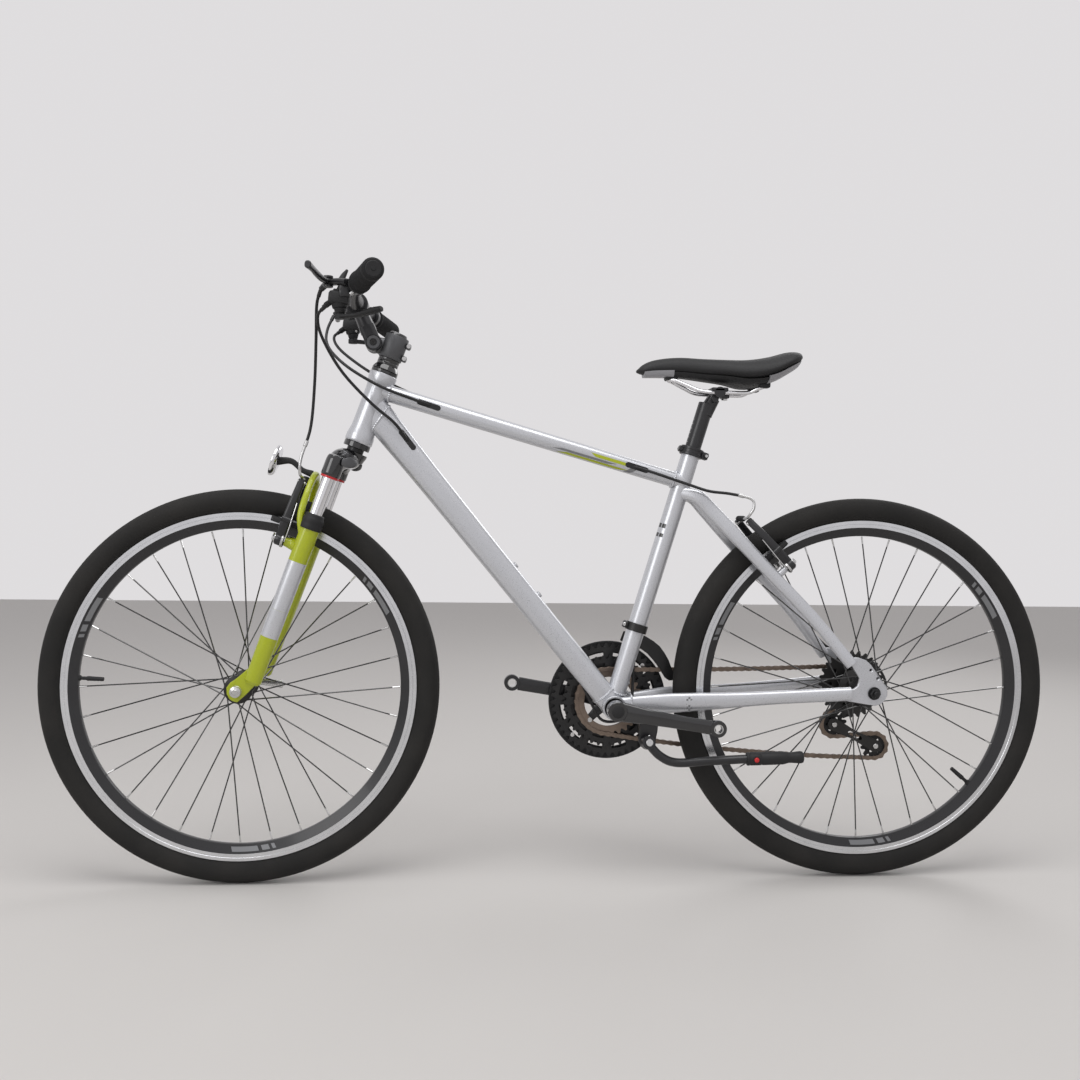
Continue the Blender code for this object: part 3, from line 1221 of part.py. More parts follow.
def rear_derailleur():
    """A hanging knuckle, a parallelogram drawn as one link, and a sprung cage with two pulleys."""
    hinge_y = SMALLEST_SPROCKET_Y + 0.0165
    bolt = y_place(HANGER_BOLT + Vector((0, 0, -0.010)), 0.0)
    body("rd_knuckle", y_place(bolt, STAY_Y), "frame")
    lower = GUIDE + Vector((0.0070, hinge_y - SMALLEST_SPROCKET_Y, 0.0080))
    upper = lower - RD_LINK
    out = REAR_SPACING_HALF + DROPOUT_THICKNESS + CLEARANCE
    knuckle = [
        cross_rod(bolt, out, out + 0.0120, 0.0105, 12),
        swept([y_place(bolt, out + 0.0060), y_place(upper + Vector((0.004, 0, 0.006)), out + 0.0055),
               upper + Vector((0.004, 0.006, 0.000))],
              [0.0055, 0.0060, 0.0055], [0.0100, 0.0090, 0.0070], 8, 2.6),
    ]
    node("rd_knuckle", "rd_knuckle", BLACK_PLASTIC, knuckle)
    body("rd_link", upper, "rd_knuckle")
    start, end = upper + RD_LINK * 0.17, upper + RD_LINK * 0.62
    node("rd_link", "rd_link", BLACK_PLASTIC, [swept([start, end], 0.0058, 0.0038, 8, 3.0, RD_AXIS)])
    body("rd_pulley_knuckle", lower, "rd_link")
    node("rd_pulley_knuckle", "rd_pulley_knuckle", BLACK_PLASTIC,
         [cross_rod(GUIDE, SMALLEST_SPROCKET_Y + 0.0086, SMALLEST_SPROCKET_Y + 0.0220, 0.0125, 14)])
    body("rd_cage", GUIDE, "rd_pulley_knuckle")
    along = (TENSION - GUIDE).normalized()
    plates = []
    for offset in (-0.0072, 0.0072):
        y = SMALLEST_SPROCKET_Y + offset
        path = [y_place(GUIDE - along * 0.0080, y), y_place(GUIDE + along * 0.020, y),
            y_place(TENSION + along * 0.0080, y)]
        plates.append(swept(path, 0.0007, [0.0110, 0.0085, 0.0110], 8, 3.0))
    pins = [cross_rod(place, place.y - 0.0074, place.y + 0.0074, 0.0030, 10) for place in (GUIDE, TENSION)]
    guard = TENSION + Vector((0.0, 0.0078, 0.0))
    hoop = [guard + Vector((0.0010, 0, 0.0060)), guard + Vector((0.0160, 0, 0.0150)),
        guard + Vector((0.0260, 0, 0.0060)),
            guard + Vector((0.0220, 0, -0.0060)), guard + Vector((0.0050, 0, -0.0060))]
    node("rd_cage", "rd_cage", BLACK_PAINT, [*plates, *pins, tube(hoop, 0.0016, 9)])
    for name, place in (("jockey_upper", GUIDE), ("jockey_lower", TENSION)):
        body(name, place, "rd_cage")
        wheel = plate(toothed(JOCKEY_TEETH, 0.0050, 0.0026), 0.0022, place, holes=(circle(0.0060, 8),))
        boss = ring(0.0030 + RUNNING, 0.0080, place, Y_AXIS, -0.0050, 0.0050, 10)
        node(name, name, BLACK_PLASTIC, [wheel, boss])


RD_LINK = Vector((-0.0310, 0.0236, -0.0157))
RD_AXIS = Vector((-0.6005, -0.2960, 0.7440))


def drivetrain():
    body("crankset", BOTTOM_BRACKET, "frame")
    back = Vector((cos(CRANK_TILT), 0, sin(CRANK_TILT)))
    crank("left", -1, back)
    crank("right", 1, -back)
    chainwheels()
    freewheel()
    chain()
    front_derailleur()
    rear_derailleur()


# ---------------------------------------------------------------- brakes


def brake(end, parent, foot, up, out, rim_along):
    """Two arms on bosses. `up` runs along an arm, `out` is the bosses' axis."""
    for name, side in SIDES.items():
        pivot = foot + Vector((0, side * BRAKE_BOSS_SPACING_HALF, 0))
        body(f"{end}_brake_{name}", pivot, parent)
        plane = pivot + out * BRAKE_ARM_OUT
        sleeve = rod(plane - out * 0.0080, plane + out * 0.0070, 0.0098, 12)
        head = -side * 0.0040
        arm = [plane + Vector((0, side * 0.0030, 0)) + up * 0.006,
            plane + up * 0.035 + Vector((0, side * 0.0075, 0))]
        arm += [plane + up * 0.070 + Vector((0, side * 0.0065, 0)),
            plane + up * BRAKE_ARM_LENGTH + Vector((0, head, 0))]
        pieces = [sleeve, swept(arm, [0.0045, 0.0045, 0.0040, 0.0040], [0.0085, 0.0080, 0.0065, 0.0060], 8,
            2.6)]
        track = RIM_WIDTH / 2 + PAD_GAP
        pad_centre = plane + up * PAD_HEIGHT + out * rim_along + Vector((0, 0, 0))
        pad = y_place(pad_centre, side * (track + 0.0045))
        wheel_way = Vector((0, 1, 0)).cross(up)
        pieces.append(block(pad, (0.0560, 0.0090, 0.0095), wheel_way))
        bolt = y_place(pad_centre, side * (track + 0.0060))
        pieces.append(cross_rod(bolt, *sorted((side * (track + 0.0050), side * 0.0500)), 0.0040, 10))
        bore = rod(pivot + out * (BRAKE_ARM_OUT - 0.02), pivot + out * (BRAKE_ARM_OUT + 0.02),
            BOSS_PIN + RUNNING, 12)
        node(f"{end}_brake_arm_{name}", f"{end}_brake_{name}", BLACK_PAINT, pieces, [bore])


BOSS_PIN = 0.0045
BRAKE_ARM_OUT = 0.0


# ---------------------------------------------------------------- kickstand

STAND_PIVOT = Vector((0.1488, -0.0495, 0.2422))
STAND_AXIS = Vector((-0.164, 0.965, -0.203)).normalized()
STAND_PIN = 0.0042


def kickstand():
    plate_top = block((0.1540, -0.0060, 0.2826), (0.0380, 0.0690, 0.0060))
    bolt = rod((0.1530, 0, 0.2790), (0.1530, 0, 0.3020), 0.0050, 8)
    cheek = [(0.1370, 0.2830), (0.1690, 0.2830), (0.1640, 0.2420), (0.1488, 0.2290), (0.1360, 0.2420)]
    lug = plate(cheek, 0.0110, (0, -0.0350, 0))
    pin = rod(STAND_PIVOT - STAND_AXIS * 0.0098, STAND_PIVOT + STAND_AXIS * 0.0170, STAND_PIN, 12)
    node("kickstand_bracket", "frame", BLACK_PAINT, [plate_top, lug, pin, bolt])
    body("kickstand", STAND_PIVOT, "frame")
    knuckle = rod(STAND_PIVOT - STAND_AXIS * 0.0090, STAND_PIVOT + STAND_AXIS * 0.0054, 0.0115, 14)
    path = [STAND_PIVOT, Vector((0.1700, -0.0495, 0.2200)), Vector((0.1982, -0.0500, 0.2085))]
    path += [Vector((0.2500, -0.0510, 0.2110)), Vector((0.3200, -0.0600, 0.2165)),
        Vector((0.3620, -0.0640, 0.2185))]
    leg = tube(path, 0.0075, 14, 1)
    bore = rod(STAND_PIVOT - STAND_AXIS * 0.03, STAND_PIVOT + STAND_AXIS * 0.03, STAND_PIN + RUNNING, 12)
    sleeve_end = path[5]
    node("kickstand_leg", "kickstand", BLACK_PAINT, [knuckle, leg], [bore])
    body("kickstand_foot", sleeve_end, "kickstand")
    along = (path[5] - path[4]).normalized()
    start = path[4] - along * 0.004
    foot_profile = [
        (0.0, 0.0520),
        (0.0080, 0.0520),
        (0.0080, 0.0),
        (0.0110, 0.0),
        (0.0110, 0.062),
        (0.0085, 0.068),
        (0.0100, 0.090),
        (0.0060, 0.095),
        (0.0, 0.095),
    ]
    foot = turned(foot_profile, start, along, 14, closed=False)
    button_at = start + along * 0.014
    hole = rod(button_at, button_at + Vector((0, -0.020, 0)), 0.0042 + RUNNING, 12)
    node("kickstand_foot", "kickstand_foot", BLACK_PLASTIC, [foot], [hole])
    body("kickstand_button", button_at, "kickstand_foot")
    button = rod(button_at + Vector((0, -0.0094, 0)), button_at + Vector((0, -0.0136, 0)), 0.0042, 12)
    node("kickstand_button", "kickstand_button", RED_PLASTIC, [button])


# ---------------------------------------------------------------- cables

CABLES = {
    "front_brake_cable": [
        (-0.3930, -0.1120, 0.9700), (-0.4000, -0.1020, 0.9480), (-0.4030, -0.0800, 0.9000),
            (-0.4080, -0.0500, 0.8300),
        (-0.4150, -0.0390, 0.7600), (-0.4290, -0.0470, 0.7100), (-0.4310, -0.0460, 0.6850),
            (-0.4272, -0.0320, 0.6766),
        (-0.4270, 0.0000, 0.6766), (-0.4270, 0.0360, 0.6766),
    ],
    "rear_brake_cable": [
        (-0.3940, 0.1120, 0.9680), (-0.4020, 0.0900, 0.9420), (-0.3990, 0.0400, 0.9120),
            (-0.3820, -0.0100, 0.8840),
        (-0.3500, -0.0330, 0.8560), (-0.3000, -0.0400, 0.8280), (-0.2500, -0.0280, 0.8110),
            (-0.2236, -0.0185, 0.8025),
        (-0.1960, -0.0090, 0.7935), (0.0, -0.0040, 0.7410), (0.1000, -0.0110, 0.7130),
            (0.1292, -0.0175, 0.7045),
        (0.1600, -0.0240, 0.6950), (0.2150, -0.0285, 0.6770), (0.2500, -0.0340, 0.6660),
            (0.2850, -0.0380, 0.6620),
        (0.3200, -0.0430, 0.6540), (0.3250, -0.0450, 0.6400), (0.3180, -0.0420, 0.6260),
            (0.3155, -0.0300, 0.6206),
        (0.3155, 0.0000, 0.6206), (0.3155, 0.0360, 0.6206),
    ],
    "rear_shift_cable": [
        (-0.3810, 0.1270, 0.9450), (-0.3930, 0.1100, 0.9300), (-0.3800, 0.0800, 0.9050),
            (-0.3400, 0.0480, 0.8720),
        (-0.2950, 0.0360, 0.8450), (-0.2500, 0.0270, 0.8240), (-0.1800, 0.0235, 0.7960),
            (0.0, 0.0220, 0.7420),
        (0.1600, 0.0215, 0.6960), (0.2100, 0.0240, 0.6780), (0.2600, 0.0360, 0.6400),
            (0.3100, 0.0470, 0.5890),
        (0.3800, 0.0590, 0.5150), (0.4500, 0.0740, 0.4400), (0.5000, 0.0860, 0.3900),
            (0.5450, 0.0920, 0.3740),
        (0.5900, 0.0930, 0.3600), (0.6150, 0.0930, 0.3250), (0.6080, 0.0920, 0.2900),
            (0.5780, 0.0900, 0.2800),
    ],
    "front_shift_cable": [
        (-0.3830, -0.1260, 0.9430), (-0.3970, -0.1130, 0.9290), (-0.3930, -0.0850, 0.9000),
            (-0.3640, -0.0580, 0.8500),
        (-0.3180, -0.0420, 0.8020), (-0.2800, -0.0320, 0.7710), (-0.2584, -0.0190, 0.7440),
            (-0.2370, -0.0070, 0.7165),
        (-0.1500, -0.0040, 0.6000), (0.0, -0.0050, 0.4030), (0.0330, -0.0056, 0.3500),
            (0.0480, -0.0060, 0.3225),
        (0.0600, -0.0065, 0.2980), (0.0760, -0.0068, 0.2735), (0.1000, -0.0040, 0.2700),
            (0.1230, 0.0000, 0.2790),
        (0.1300, 0.0020, 0.3100), (0.1320, 0.0100, 0.3400), (0.1360, 0.0225, 0.3700),
            (0.1420, 0.0250, 0.4010),
    ],
}


CABLE_POINTS = {"front_brake_cable": 18, "rear_brake_cable": 29, "rear_shift_cable": 27,
    "front_shift_cable": 27}


def cables():
    for name, route in CABLES.items():
        owner = "steering" if name == "front_brake_cable" else "frame"
        node(name, owner, BLACK_PLASTIC, [tube(route, CABLE_RADIUS, CABLE_POINTS[name])])


# ---------------------------------------------------------------- the whole bicycle

frame()
fork()
wheels()
stem()
saddle()
drivetrain()
brake("front", "fork_lowers", steer(-0.1945, 0.060), UP_STEER, FORWARD, 0.0)
REAR_UP = Vector((-0.687, 0, 0.727))
REAR_OUT = Vector((0.727, 0, 0.687))
brake("rear", "frame", REAR_BOSS_FOOT + REAR_OUT * 0.0335, REAR_UP, REAR_OUT, 0.0)
kickstand()
cables()
bpy.context.view_layer.update()
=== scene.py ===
# %% [markdown]
# # The looks of a hybrid bicycle
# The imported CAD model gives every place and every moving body. This lesson dresses it: smooth tubes,
# turned wheels, real chain links and worn-in finishes, each riding on the body that carries it.

from math import asin, atan2, cos, pi, radians, sin, sqrt, tau

import bmesh
import bpy
from mathutils import Matrix, Vector
from mathutils.geometry import tessellate_polygon


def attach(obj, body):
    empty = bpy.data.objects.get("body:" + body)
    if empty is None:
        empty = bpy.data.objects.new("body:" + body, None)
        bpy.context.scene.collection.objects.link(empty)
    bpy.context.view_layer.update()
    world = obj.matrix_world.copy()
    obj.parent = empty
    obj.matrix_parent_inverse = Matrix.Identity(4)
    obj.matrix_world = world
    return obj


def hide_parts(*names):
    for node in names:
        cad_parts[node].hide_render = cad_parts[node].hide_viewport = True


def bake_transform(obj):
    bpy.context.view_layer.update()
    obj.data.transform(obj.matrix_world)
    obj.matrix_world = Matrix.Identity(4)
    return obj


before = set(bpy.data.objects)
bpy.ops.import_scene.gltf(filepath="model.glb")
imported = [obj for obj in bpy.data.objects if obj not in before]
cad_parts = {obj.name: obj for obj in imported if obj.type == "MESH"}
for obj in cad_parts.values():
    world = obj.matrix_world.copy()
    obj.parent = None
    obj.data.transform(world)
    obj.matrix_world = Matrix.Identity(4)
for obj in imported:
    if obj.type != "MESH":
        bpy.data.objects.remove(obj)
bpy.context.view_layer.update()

# %% [markdown]
# The photograph was taken at hip height, a little in front of the bottom bracket, with the camera
# turned slightly towards the rear wheel. A camera matrix made of three directions (right, up and
# backwards) repeats that without any tracking constraint.

# %% Camera
EYE = Vector((-0.197, -1.9213, 0.6228))
YAW, PITCH, ROLL = 0.0852, -0.0226, 0.0137
looking = Vector((sin(YAW) * cos(PITCH), cos(YAW) * cos(PITCH), sin(PITCH)))
level = Vector((cos(YAW), -sin(YAW), 0))
raised = level.cross(looking)
to_right = level * cos(ROLL) + raised * sin(ROLL)
to_top = raised * cos(ROLL) - level * sin(ROLL)
lens = bpy.data.cameras.new("camera")
lens.sensor_width = 36
lens.lens = 36 * 1133.68 / 1080
camera = bpy.data.objects.new("camera", lens)
camera.matrix_world = Matrix.Translation(EYE) @ Matrix((to_right, to_top, -looking)).transposed().to_4x4()
bpy.context.scene.collection.objects.link(camera)
bpy.context.scene.camera = camera
print("lens", round(lens.lens, 2))

# %% [markdown]
# Soft light from large lamps keeps paint and chrome readable. The world is white only for rays that
# reach it straight or by reflection, and much weaker as a lamp, so pale surfaces don't clip.

# %% World, lamps, floor and backdrop
bpy.context.scene.view_settings.view_transform = "Standard"
world = bpy.data.worlds.new("studio")
bpy.context.scene.world = world
world.use_nodes = True
sky = world.node_tree
background = sky.nodes["Background"]
background.inputs["Color"].default_value = (0.74, 0.725, 0.735, 1)
seen = sky.nodes.new("ShaderNodeLightPath")
either = sky.nodes.new("ShaderNodeMath")
either.operation = "MAXIMUM"
sky.links.new(seen.outputs["Is Camera Ray"], either.inputs[0])
sky.links.new(seen.outputs["Is Glossy Ray"], either.inputs[1])
level_of_sky = sky.nodes.new("ShaderNodeMapRange")
level_of_sky.inputs["To Min"].default_value = 0.55
level_of_sky.inputs["To Max"].default_value = 1.0
sky.links.new(either.outputs[0], level_of_sky.inputs["Value"])
sky.links.new(level_of_sky.outputs[0], background.inputs["Strength"])


def lamp(name, place, towards, size, watts):
    data = bpy.data.lights.new(name, "AREA")
    data.shape = "RECTANGLE"
    data.size, data.size_y = size
    data.energy = watts
    obj = bpy.data.objects.new(name, data)
    obj.location = place
    obj.rotation_euler = (Vector(towards) - Vector(place)).to_track_quat("-Z", "Y").to_euler()
    bpy.context.scene.collection.objects.link(obj)


lamp("ceiling", (-0.2, -0.9, 2.9), (0, 0, 0.5), (2.6, 1.8), 42)
lamp("window", (-2.4, -2.2, 1.8), (0, 0, 0.5), (1.6, 1.6), 24)
lamp("rim_light", (1.8, 2.2, 2.2), (0, 0, 0.5), (1.6, 1.2), 16)


def stage_plane(name, corners, colour):
    mesh = bpy.data.meshes.new(name)
    mesh.from_pydata(corners, [], [(0, 1, 2, 3)])
    obj = bpy.data.objects.new(name, mesh)
    bpy.context.scene.collection.objects.link(obj)
    paint = bpy.data.materials.new(name)
    paint.use_nodes = True
    shader = paint.node_tree.nodes["Principled BSDF"]
    shader.inputs["Base Color"].default_value = (*colour, 1)
    shader.inputs["Roughness"].default_value = 0.6
    mesh.materials.append(paint)


stage_plane("floor", [(-6, -4, 0), (6, -4, 0), (6, 6, 0), (-6, 6, 0)], (0.66, 0.64, 0.62))

# %% [markdown]
# Effects that several finishes share live in two node groups: a fine grain for bumps and gloss, and a
# slow drift of the colour, as dust and handling leave it. Both read object coordinates, so they need
# no unwrapping, and both only put out values and colours.

# %% Shared shader effects


def effect(name, inputs, outputs):
    group = bpy.data.node_groups.new(name, "ShaderNodeTree")
    for label, kind, value in inputs:
        socket = group.interface.new_socket(label, in_out="INPUT", socket_type=kind)
        socket.default_value = value
    for label, kind in outputs:
        group.interface.new_socket(label, in_out="OUTPUT", socket_type=kind)
    return group, group.nodes.new("NodeGroupInput"), group.nodes.new("NodeGroupOutput")


NUMBER, COLOUR = "NodeSocketFloat", "NodeSocketColor"
grain, grain_in, grain_out = effect(
    "grain",
    [("Scale", NUMBER, 400.0), ("Detail", NUMBER, 3.0), ("Low", NUMBER, 0.3), ("High", NUMBER, 0.5)],
    [("Height", NUMBER), ("Roughness", NUMBER)],
)
where = grain.nodes.new("ShaderNodeTexCoord")
speck = grain.nodes.new("ShaderNodeTexNoise")
grain.links.new(where.outputs["Object"], speck.inputs["Vector"])
grain.links.new(grain_in.outputs["Scale"], speck.inputs["Scale"])
grain.links.new(grain_in.outputs["Detail"], speck.inputs["Detail"])
spread = grain.nodes.new("ShaderNodeMapRange")
for socket, source in (("To Min", "Low"), ("To Max", "High")):
    grain.links.new(grain_in.outputs[source], spread.inputs[socket])
spread.inputs["From Min"].default_value = 0.3
spread.inputs["From Max"].default_value = 0.7
grain.links.new(speck.outputs["Fac"], spread.inputs["Value"])
grain.links.new(speck.outputs["Fac"], grain_out.inputs["Height"])
grain.links.new(spread.outputs[0], grain_out.inputs["Roughness"])

drift, drift_in, drift_out = effect(
    "drift",
    [("Colour", COLOUR, (0.5, 0.5, 0.5, 1)), ("Other", COLOUR, (0.4, 0.4, 0.4, 1)), ("Scale", NUMBER, 9.0),
     ("Amount", NUMBER, 0.5)],
    [("Colour", COLOUR), ("Mask", NUMBER)],
)
where = drift.nodes.new("ShaderNodeTexCoord")
cloud = drift.nodes.new("ShaderNodeTexNoise")
cloud.inputs["Detail"].default_value = 5
drift.links.new(where.outputs["Object"], cloud.inputs["Vector"])
drift.links.new(drift_in.outputs["Scale"], cloud.inputs["Scale"])
stretch = drift.nodes.new("ShaderNodeMapRange")
stretch.inputs["From Min"].default_value = 0.38
stretch.inputs["From Max"].default_value = 0.68
drift.links.new(cloud.outputs["Fac"], stretch.inputs["Value"])
share = drift.nodes.new("ShaderNodeMath")
share.operation = "MULTIPLY"
drift.links.new(stretch.outputs[0], share.inputs[0])
drift.links.new(drift_in.outputs["Amount"], share.inputs[1])
blendings = drift.nodes.new("ShaderNodeMix")
blendings.data_type = "RGBA"
drift.links.new(share.outputs[0], blendings.inputs["Factor"])
drift.links.new(drift_in.outputs["Colour"], blendings.inputs["A"])
drift.links.new(drift_in.outputs["Other"], blendings.inputs["B"])
drift.links.new(blendings.outputs["Result"], drift_out.inputs["Colour"])
drift.links.new(share.outputs[0], drift_out.inputs["Mask"])
print("effects", grain.name, drift.name)

# %% [markdown]
# Each finish is a Principled shader fed by the two effects. Paint has a clear coat over tiny flakes,
# anodised black is darker and smoother than moulded plastic, and rubber is rough with a soft drift.

# %% Finishes
FINISHES = {}


def finish(name, colour, other, rough, metal=0.0, bump=0.0, size=600.0, coat=0.0, drift_size=9.0,
    amount=0.5, spec=0.5):
    made = bpy.data.materials.new(name)
    made.use_nodes = True
    tree = made.node_tree
    shader = tree.nodes["Principled BSDF"]
    shade = tree.nodes.new("ShaderNodeGroup")
    shade.node_tree = drift
    shade.inputs["Colour"].default_value = (*colour, 1)
    shade.inputs["Other"].default_value = (*other, 1)
    shade.inputs["Scale"].default_value = drift_size
    shade.inputs["Amount"].default_value = amount
    tree.links.new(shade.outputs["Colour"], shader.inputs["Base Color"])
    fine = tree.nodes.new("ShaderNodeGroup")
    fine.node_tree = grain
    fine.inputs["Scale"].default_value = size
    fine.inputs["Low"].default_value = rough[0]
    fine.inputs["High"].default_value = rough[1]
    tree.links.new(fine.outputs["Roughness"], shader.inputs["Roughness"])
    if bump:
        relief = tree.nodes.new("ShaderNodeBump")
        relief.inputs["Strength"].default_value = bump
        relief.inputs["Distance"].default_value = 0.0006
        tree.links.new(fine.outputs["Height"], relief.inputs["Height"])
        tree.links.new(relief.outputs["Normal"], shader.inputs["Normal"])
    shader.inputs["Metallic"].default_value = metal
    shader.inputs["Coat Weight"].default_value = coat
    shader.inputs["Coat Roughness"].default_value = 0.06
    shader.inputs["Specular IOR Level"].default_value = spec
    made.diffuse_color = (*colour, 1)
    FINISHES[name] = made
    return made


silver = finish("silver_paint", (0.56, 0.57, 0.6), (0.63, 0.64, 0.67), (0.26, 0.38), 0.55, 0.0, 900, 0.5,
    900, 0.7)
lime = finish("lime_paint", (0.4, 0.46, 0.0), (0.46, 0.52, 0.004), (0.28, 0.42), 0.0, 0.03, 1500, 0.55, 500,
    0.5)
anodised = finish("black_anodised", (0.014, 0.014, 0.016), (0.022, 0.022, 0.024), (0.26, 0.38), 0.1, 0.05,
    1800, 0.15)
gloss_black = finish("gloss_black_paint", (0.008, 0.008, 0.009), (0.014, 0.014, 0.016), (0.1, 0.18), 0.0,
    0.02, 700, 0.8)
moulded = finish("black_moulding", (0.018, 0.018, 0.019), (0.03, 0.03, 0.031), (0.46, 0.62), 0.0, 0.25,
    1600, spec=0.3)
grey_cast = finish("grey_casting", (0.085, 0.087, 0.092), (0.12, 0.12, 0.125), (0.34, 0.46), 0.35, 0.18, 1500)
grip_skin = finish("grip_rubber", (0.02, 0.02, 0.021), (0.034, 0.034, 0.035), (0.72, 0.88), 0.0, 0.5, 1100,
    spec=0.2)
steel_dark = finish("dark_steel", (0.03, 0.03, 0.031), (0.06, 0.058, 0.055), (0.28, 0.42), 0.7, 0.1, 900)
steel = finish("bright_steel", (0.62, 0.62, 0.62), (0.5, 0.5, 0.49), (0.16, 0.3), 1.0, 0.06, 900)
chrome = finish("chrome", (0.8, 0.8, 0.82), (0.72, 0.72, 0.74), (0.05, 0.1), 1.0, 0.0, 300)
oiled = finish("chain_steel", (0.23, 0.18, 0.145), (0.12, 0.095, 0.08), (0.3, 0.44), 0.85, 0.08, 700,
    drift_size=60)
red = finish("red_plastic", (0.62, 0.012, 0.016), (0.5, 0.008, 0.012), (0.28, 0.36), 0.0, 0.03, 600, 0.3)
cover = finish("saddle_vinyl", (0.017, 0.017, 0.018), (0.026, 0.026, 0.027), (0.5, 0.66), 0.0, 0.55, 900,
    spec=0.35)
shell_grey = finish("saddle_shell_grey", (0.33, 0.33, 0.35), (0.38, 0.38, 0.4), (0.42, 0.52), 0.0, 0.1, 900)
glass = finish("reflector_lens", (0.7, 0.71, 0.74), (0.8, 0.81, 0.84), (0.1, 0.22), 0.15, 0.5, 260, 0.6)
decal_grey = finish("decal_grey", (0.2, 0.205, 0.215), (0.23, 0.235, 0.245), (0.3, 0.4), 0.3, 0.02, 900, 0.4)
decal_black = finish("decal_black", (0.02, 0.02, 0.02), (0.03, 0.03, 0.03), (0.25, 0.35), 0.0, 0.02, 900, 0.4)
decal_white = finish("decal_white", (0.62, 0.62, 0.62), (0.55, 0.55, 0.55), (0.35, 0.45), 0.0, 0.02, 900, 0.3)
print("finishes", len(FINISHES))

# %% [markdown]
# The shapes come from a few makers' moves: turn a profile, pull a section along a path, run a wire,
# or cut a flat plate. Each returns plain vertices and faces, so several can share one piece.

# %% Shape helpers
Y = Vector((0, 1, 0))
SIDES = {"left": -1, "right": 1}


def basis(axis, across=Y):
    z = Vector(axis).normalized()
    x = Vector(across) - z * z.dot(Vector(across))
    x = x.normalized() if x.length > 1e-6 else z.orthogonal().normalized()
    return x, z.cross(x), z


def spin(profile, origin, axis, steps=64, closed=True):
    """Turns (radius, distance along) points about an axis."""
    x, y, z = basis(axis, (1, 0, 0))
    origin = Vector(origin)
    verts, faces, n = [], [], len(profile)
    for k in range(steps):
        way = x * cos(tau * k / steps) + y * sin(tau * k / steps)
        verts += [origin + way * r + z * a for r, a in profile]
    for k in range(steps):
        a, b = k * n, (k + 1) % steps * n
        for i in range(n if closed else n - 1):
            j = (i + 1) % n
            faces.append((a + i, b + i, b + j, a + j))
    return verts, faces


def rod(start, end, radius, sides=20, end_radius=None, edge=0.0006):
    """A round bar with its two edges broken, so that they catch light."""
    start, end = Vector(start), Vector(end)
    long = (end - start).length
    last = radius if end_radius is None else end_radius
    edge = min(edge, radius * 0.4, last * 0.4, long * 0.3)
    profile = [(0, 0), (radius - edge, 0), (radius, edge), (last, long - edge), (last - edge, long),
        (0, long)]
    return spin(profile, start, end - start, sides, False)


def cross_rod(centre, low, high, radius, sides=24, edge=0.0006):
    return rod((centre[0], low, centre[2]), (centre[0], high, centre[2]), radius, sides, None, edge)


def eased(rows, count):
    """Rows of numbers read along a smooth curve through them all."""
    rows = [list(row) for row in rows]
    ends = [[2 * a - b for a, b in zip(rows[0], rows[1])], *rows,
        [2 * a - b for a, b in zip(rows[-1], rows[-2])]]
    out = []
    for i in range(count):
        at = (len(rows) - 1) * i / (count - 1)
        k = min(int(at), len(rows) - 2)
        t = at - k
        out.append([
            0.5 * (2 * b + (c - a) * t + (2 * a - 5 * b + 4 * c - d) * t * t +
                   (3 * b - a - 3 * c + d) * t ** 3)
            for a, b, c, d in zip(ends[k], ends[k + 1], ends[k + 2], ends[k + 3])
        ])
    return out


def bar(path, wide, high, sides=28, power=2.0, across=Y, count=0, round_ends=0.0):
    """A superellipse section pulled along a path. wide runs across, high is square to it."""
    wide = wide if isinstance(wide, (list, tuple)) else [wide] * len(path)
    high = high if isinstance(high, (list, tuple)) else [high] * len(path)
    rows = [[*p, w, h] for p, w, h in zip(path, wide, high)]
    rows = eased(rows, count) if count else rows
    verts, faces = [], []
    total = len(rows)
    for i, row in enumerate(rows):
        point = Vector(row[:3])
        before, after = Vector(rows[max(i - 1, 0)][:3]), Vector(rows[min(i + 1, total - 1)][:3])
        ahead = (after - before).normalized()
        side = (Vector(across) - ahead * ahead.dot(Vector(across))).normalized()
        top = side.cross(ahead)
        for k in range(sides):
            a = tau * (k + 0.5) / sides
            u = abs(cos(a)) ** (2 / power) * (1 if cos(a) > 0 else -1)
            v = abs(sin(a)) ** (2 / power) * (1 if sin(a) > 0 else -1)
            verts.append(point + side * (row[3] * u) + top * (row[4] * v))
    for i in range(total - 1):
        for k in range(sides):
            j = (k + 1) % sides
            faces.append((i * sides + k, i * sides + j, (i + 1) * sides + j, (i + 1) * sides + k))
    for ring_at, order in ((0, -1), (total - 1, 1)):
        if round_ends:
            centre = Vector(rows[ring_at][:3])
            other = Vector(rows[1 if ring_at == 0 else total - 2][:3])
            out = (centre - other).normalized() * round_ends
            base = len(verts)
            for k in range(sides):
                verts.append(centre + (verts[ring_at * sides + k] - centre) * 0.72 + out)
            for k in range(sides):
                j = (k + 1) % sides
                faces.append((ring_at * sides + k, ring_at * sides + j, base + j, base + k))
            faces.append(tuple(range(base, base + sides)))
        else:
            faces.append(tuple(range(ring_at * sides, ring_at * sides + sides))[::order])
    return verts, faces


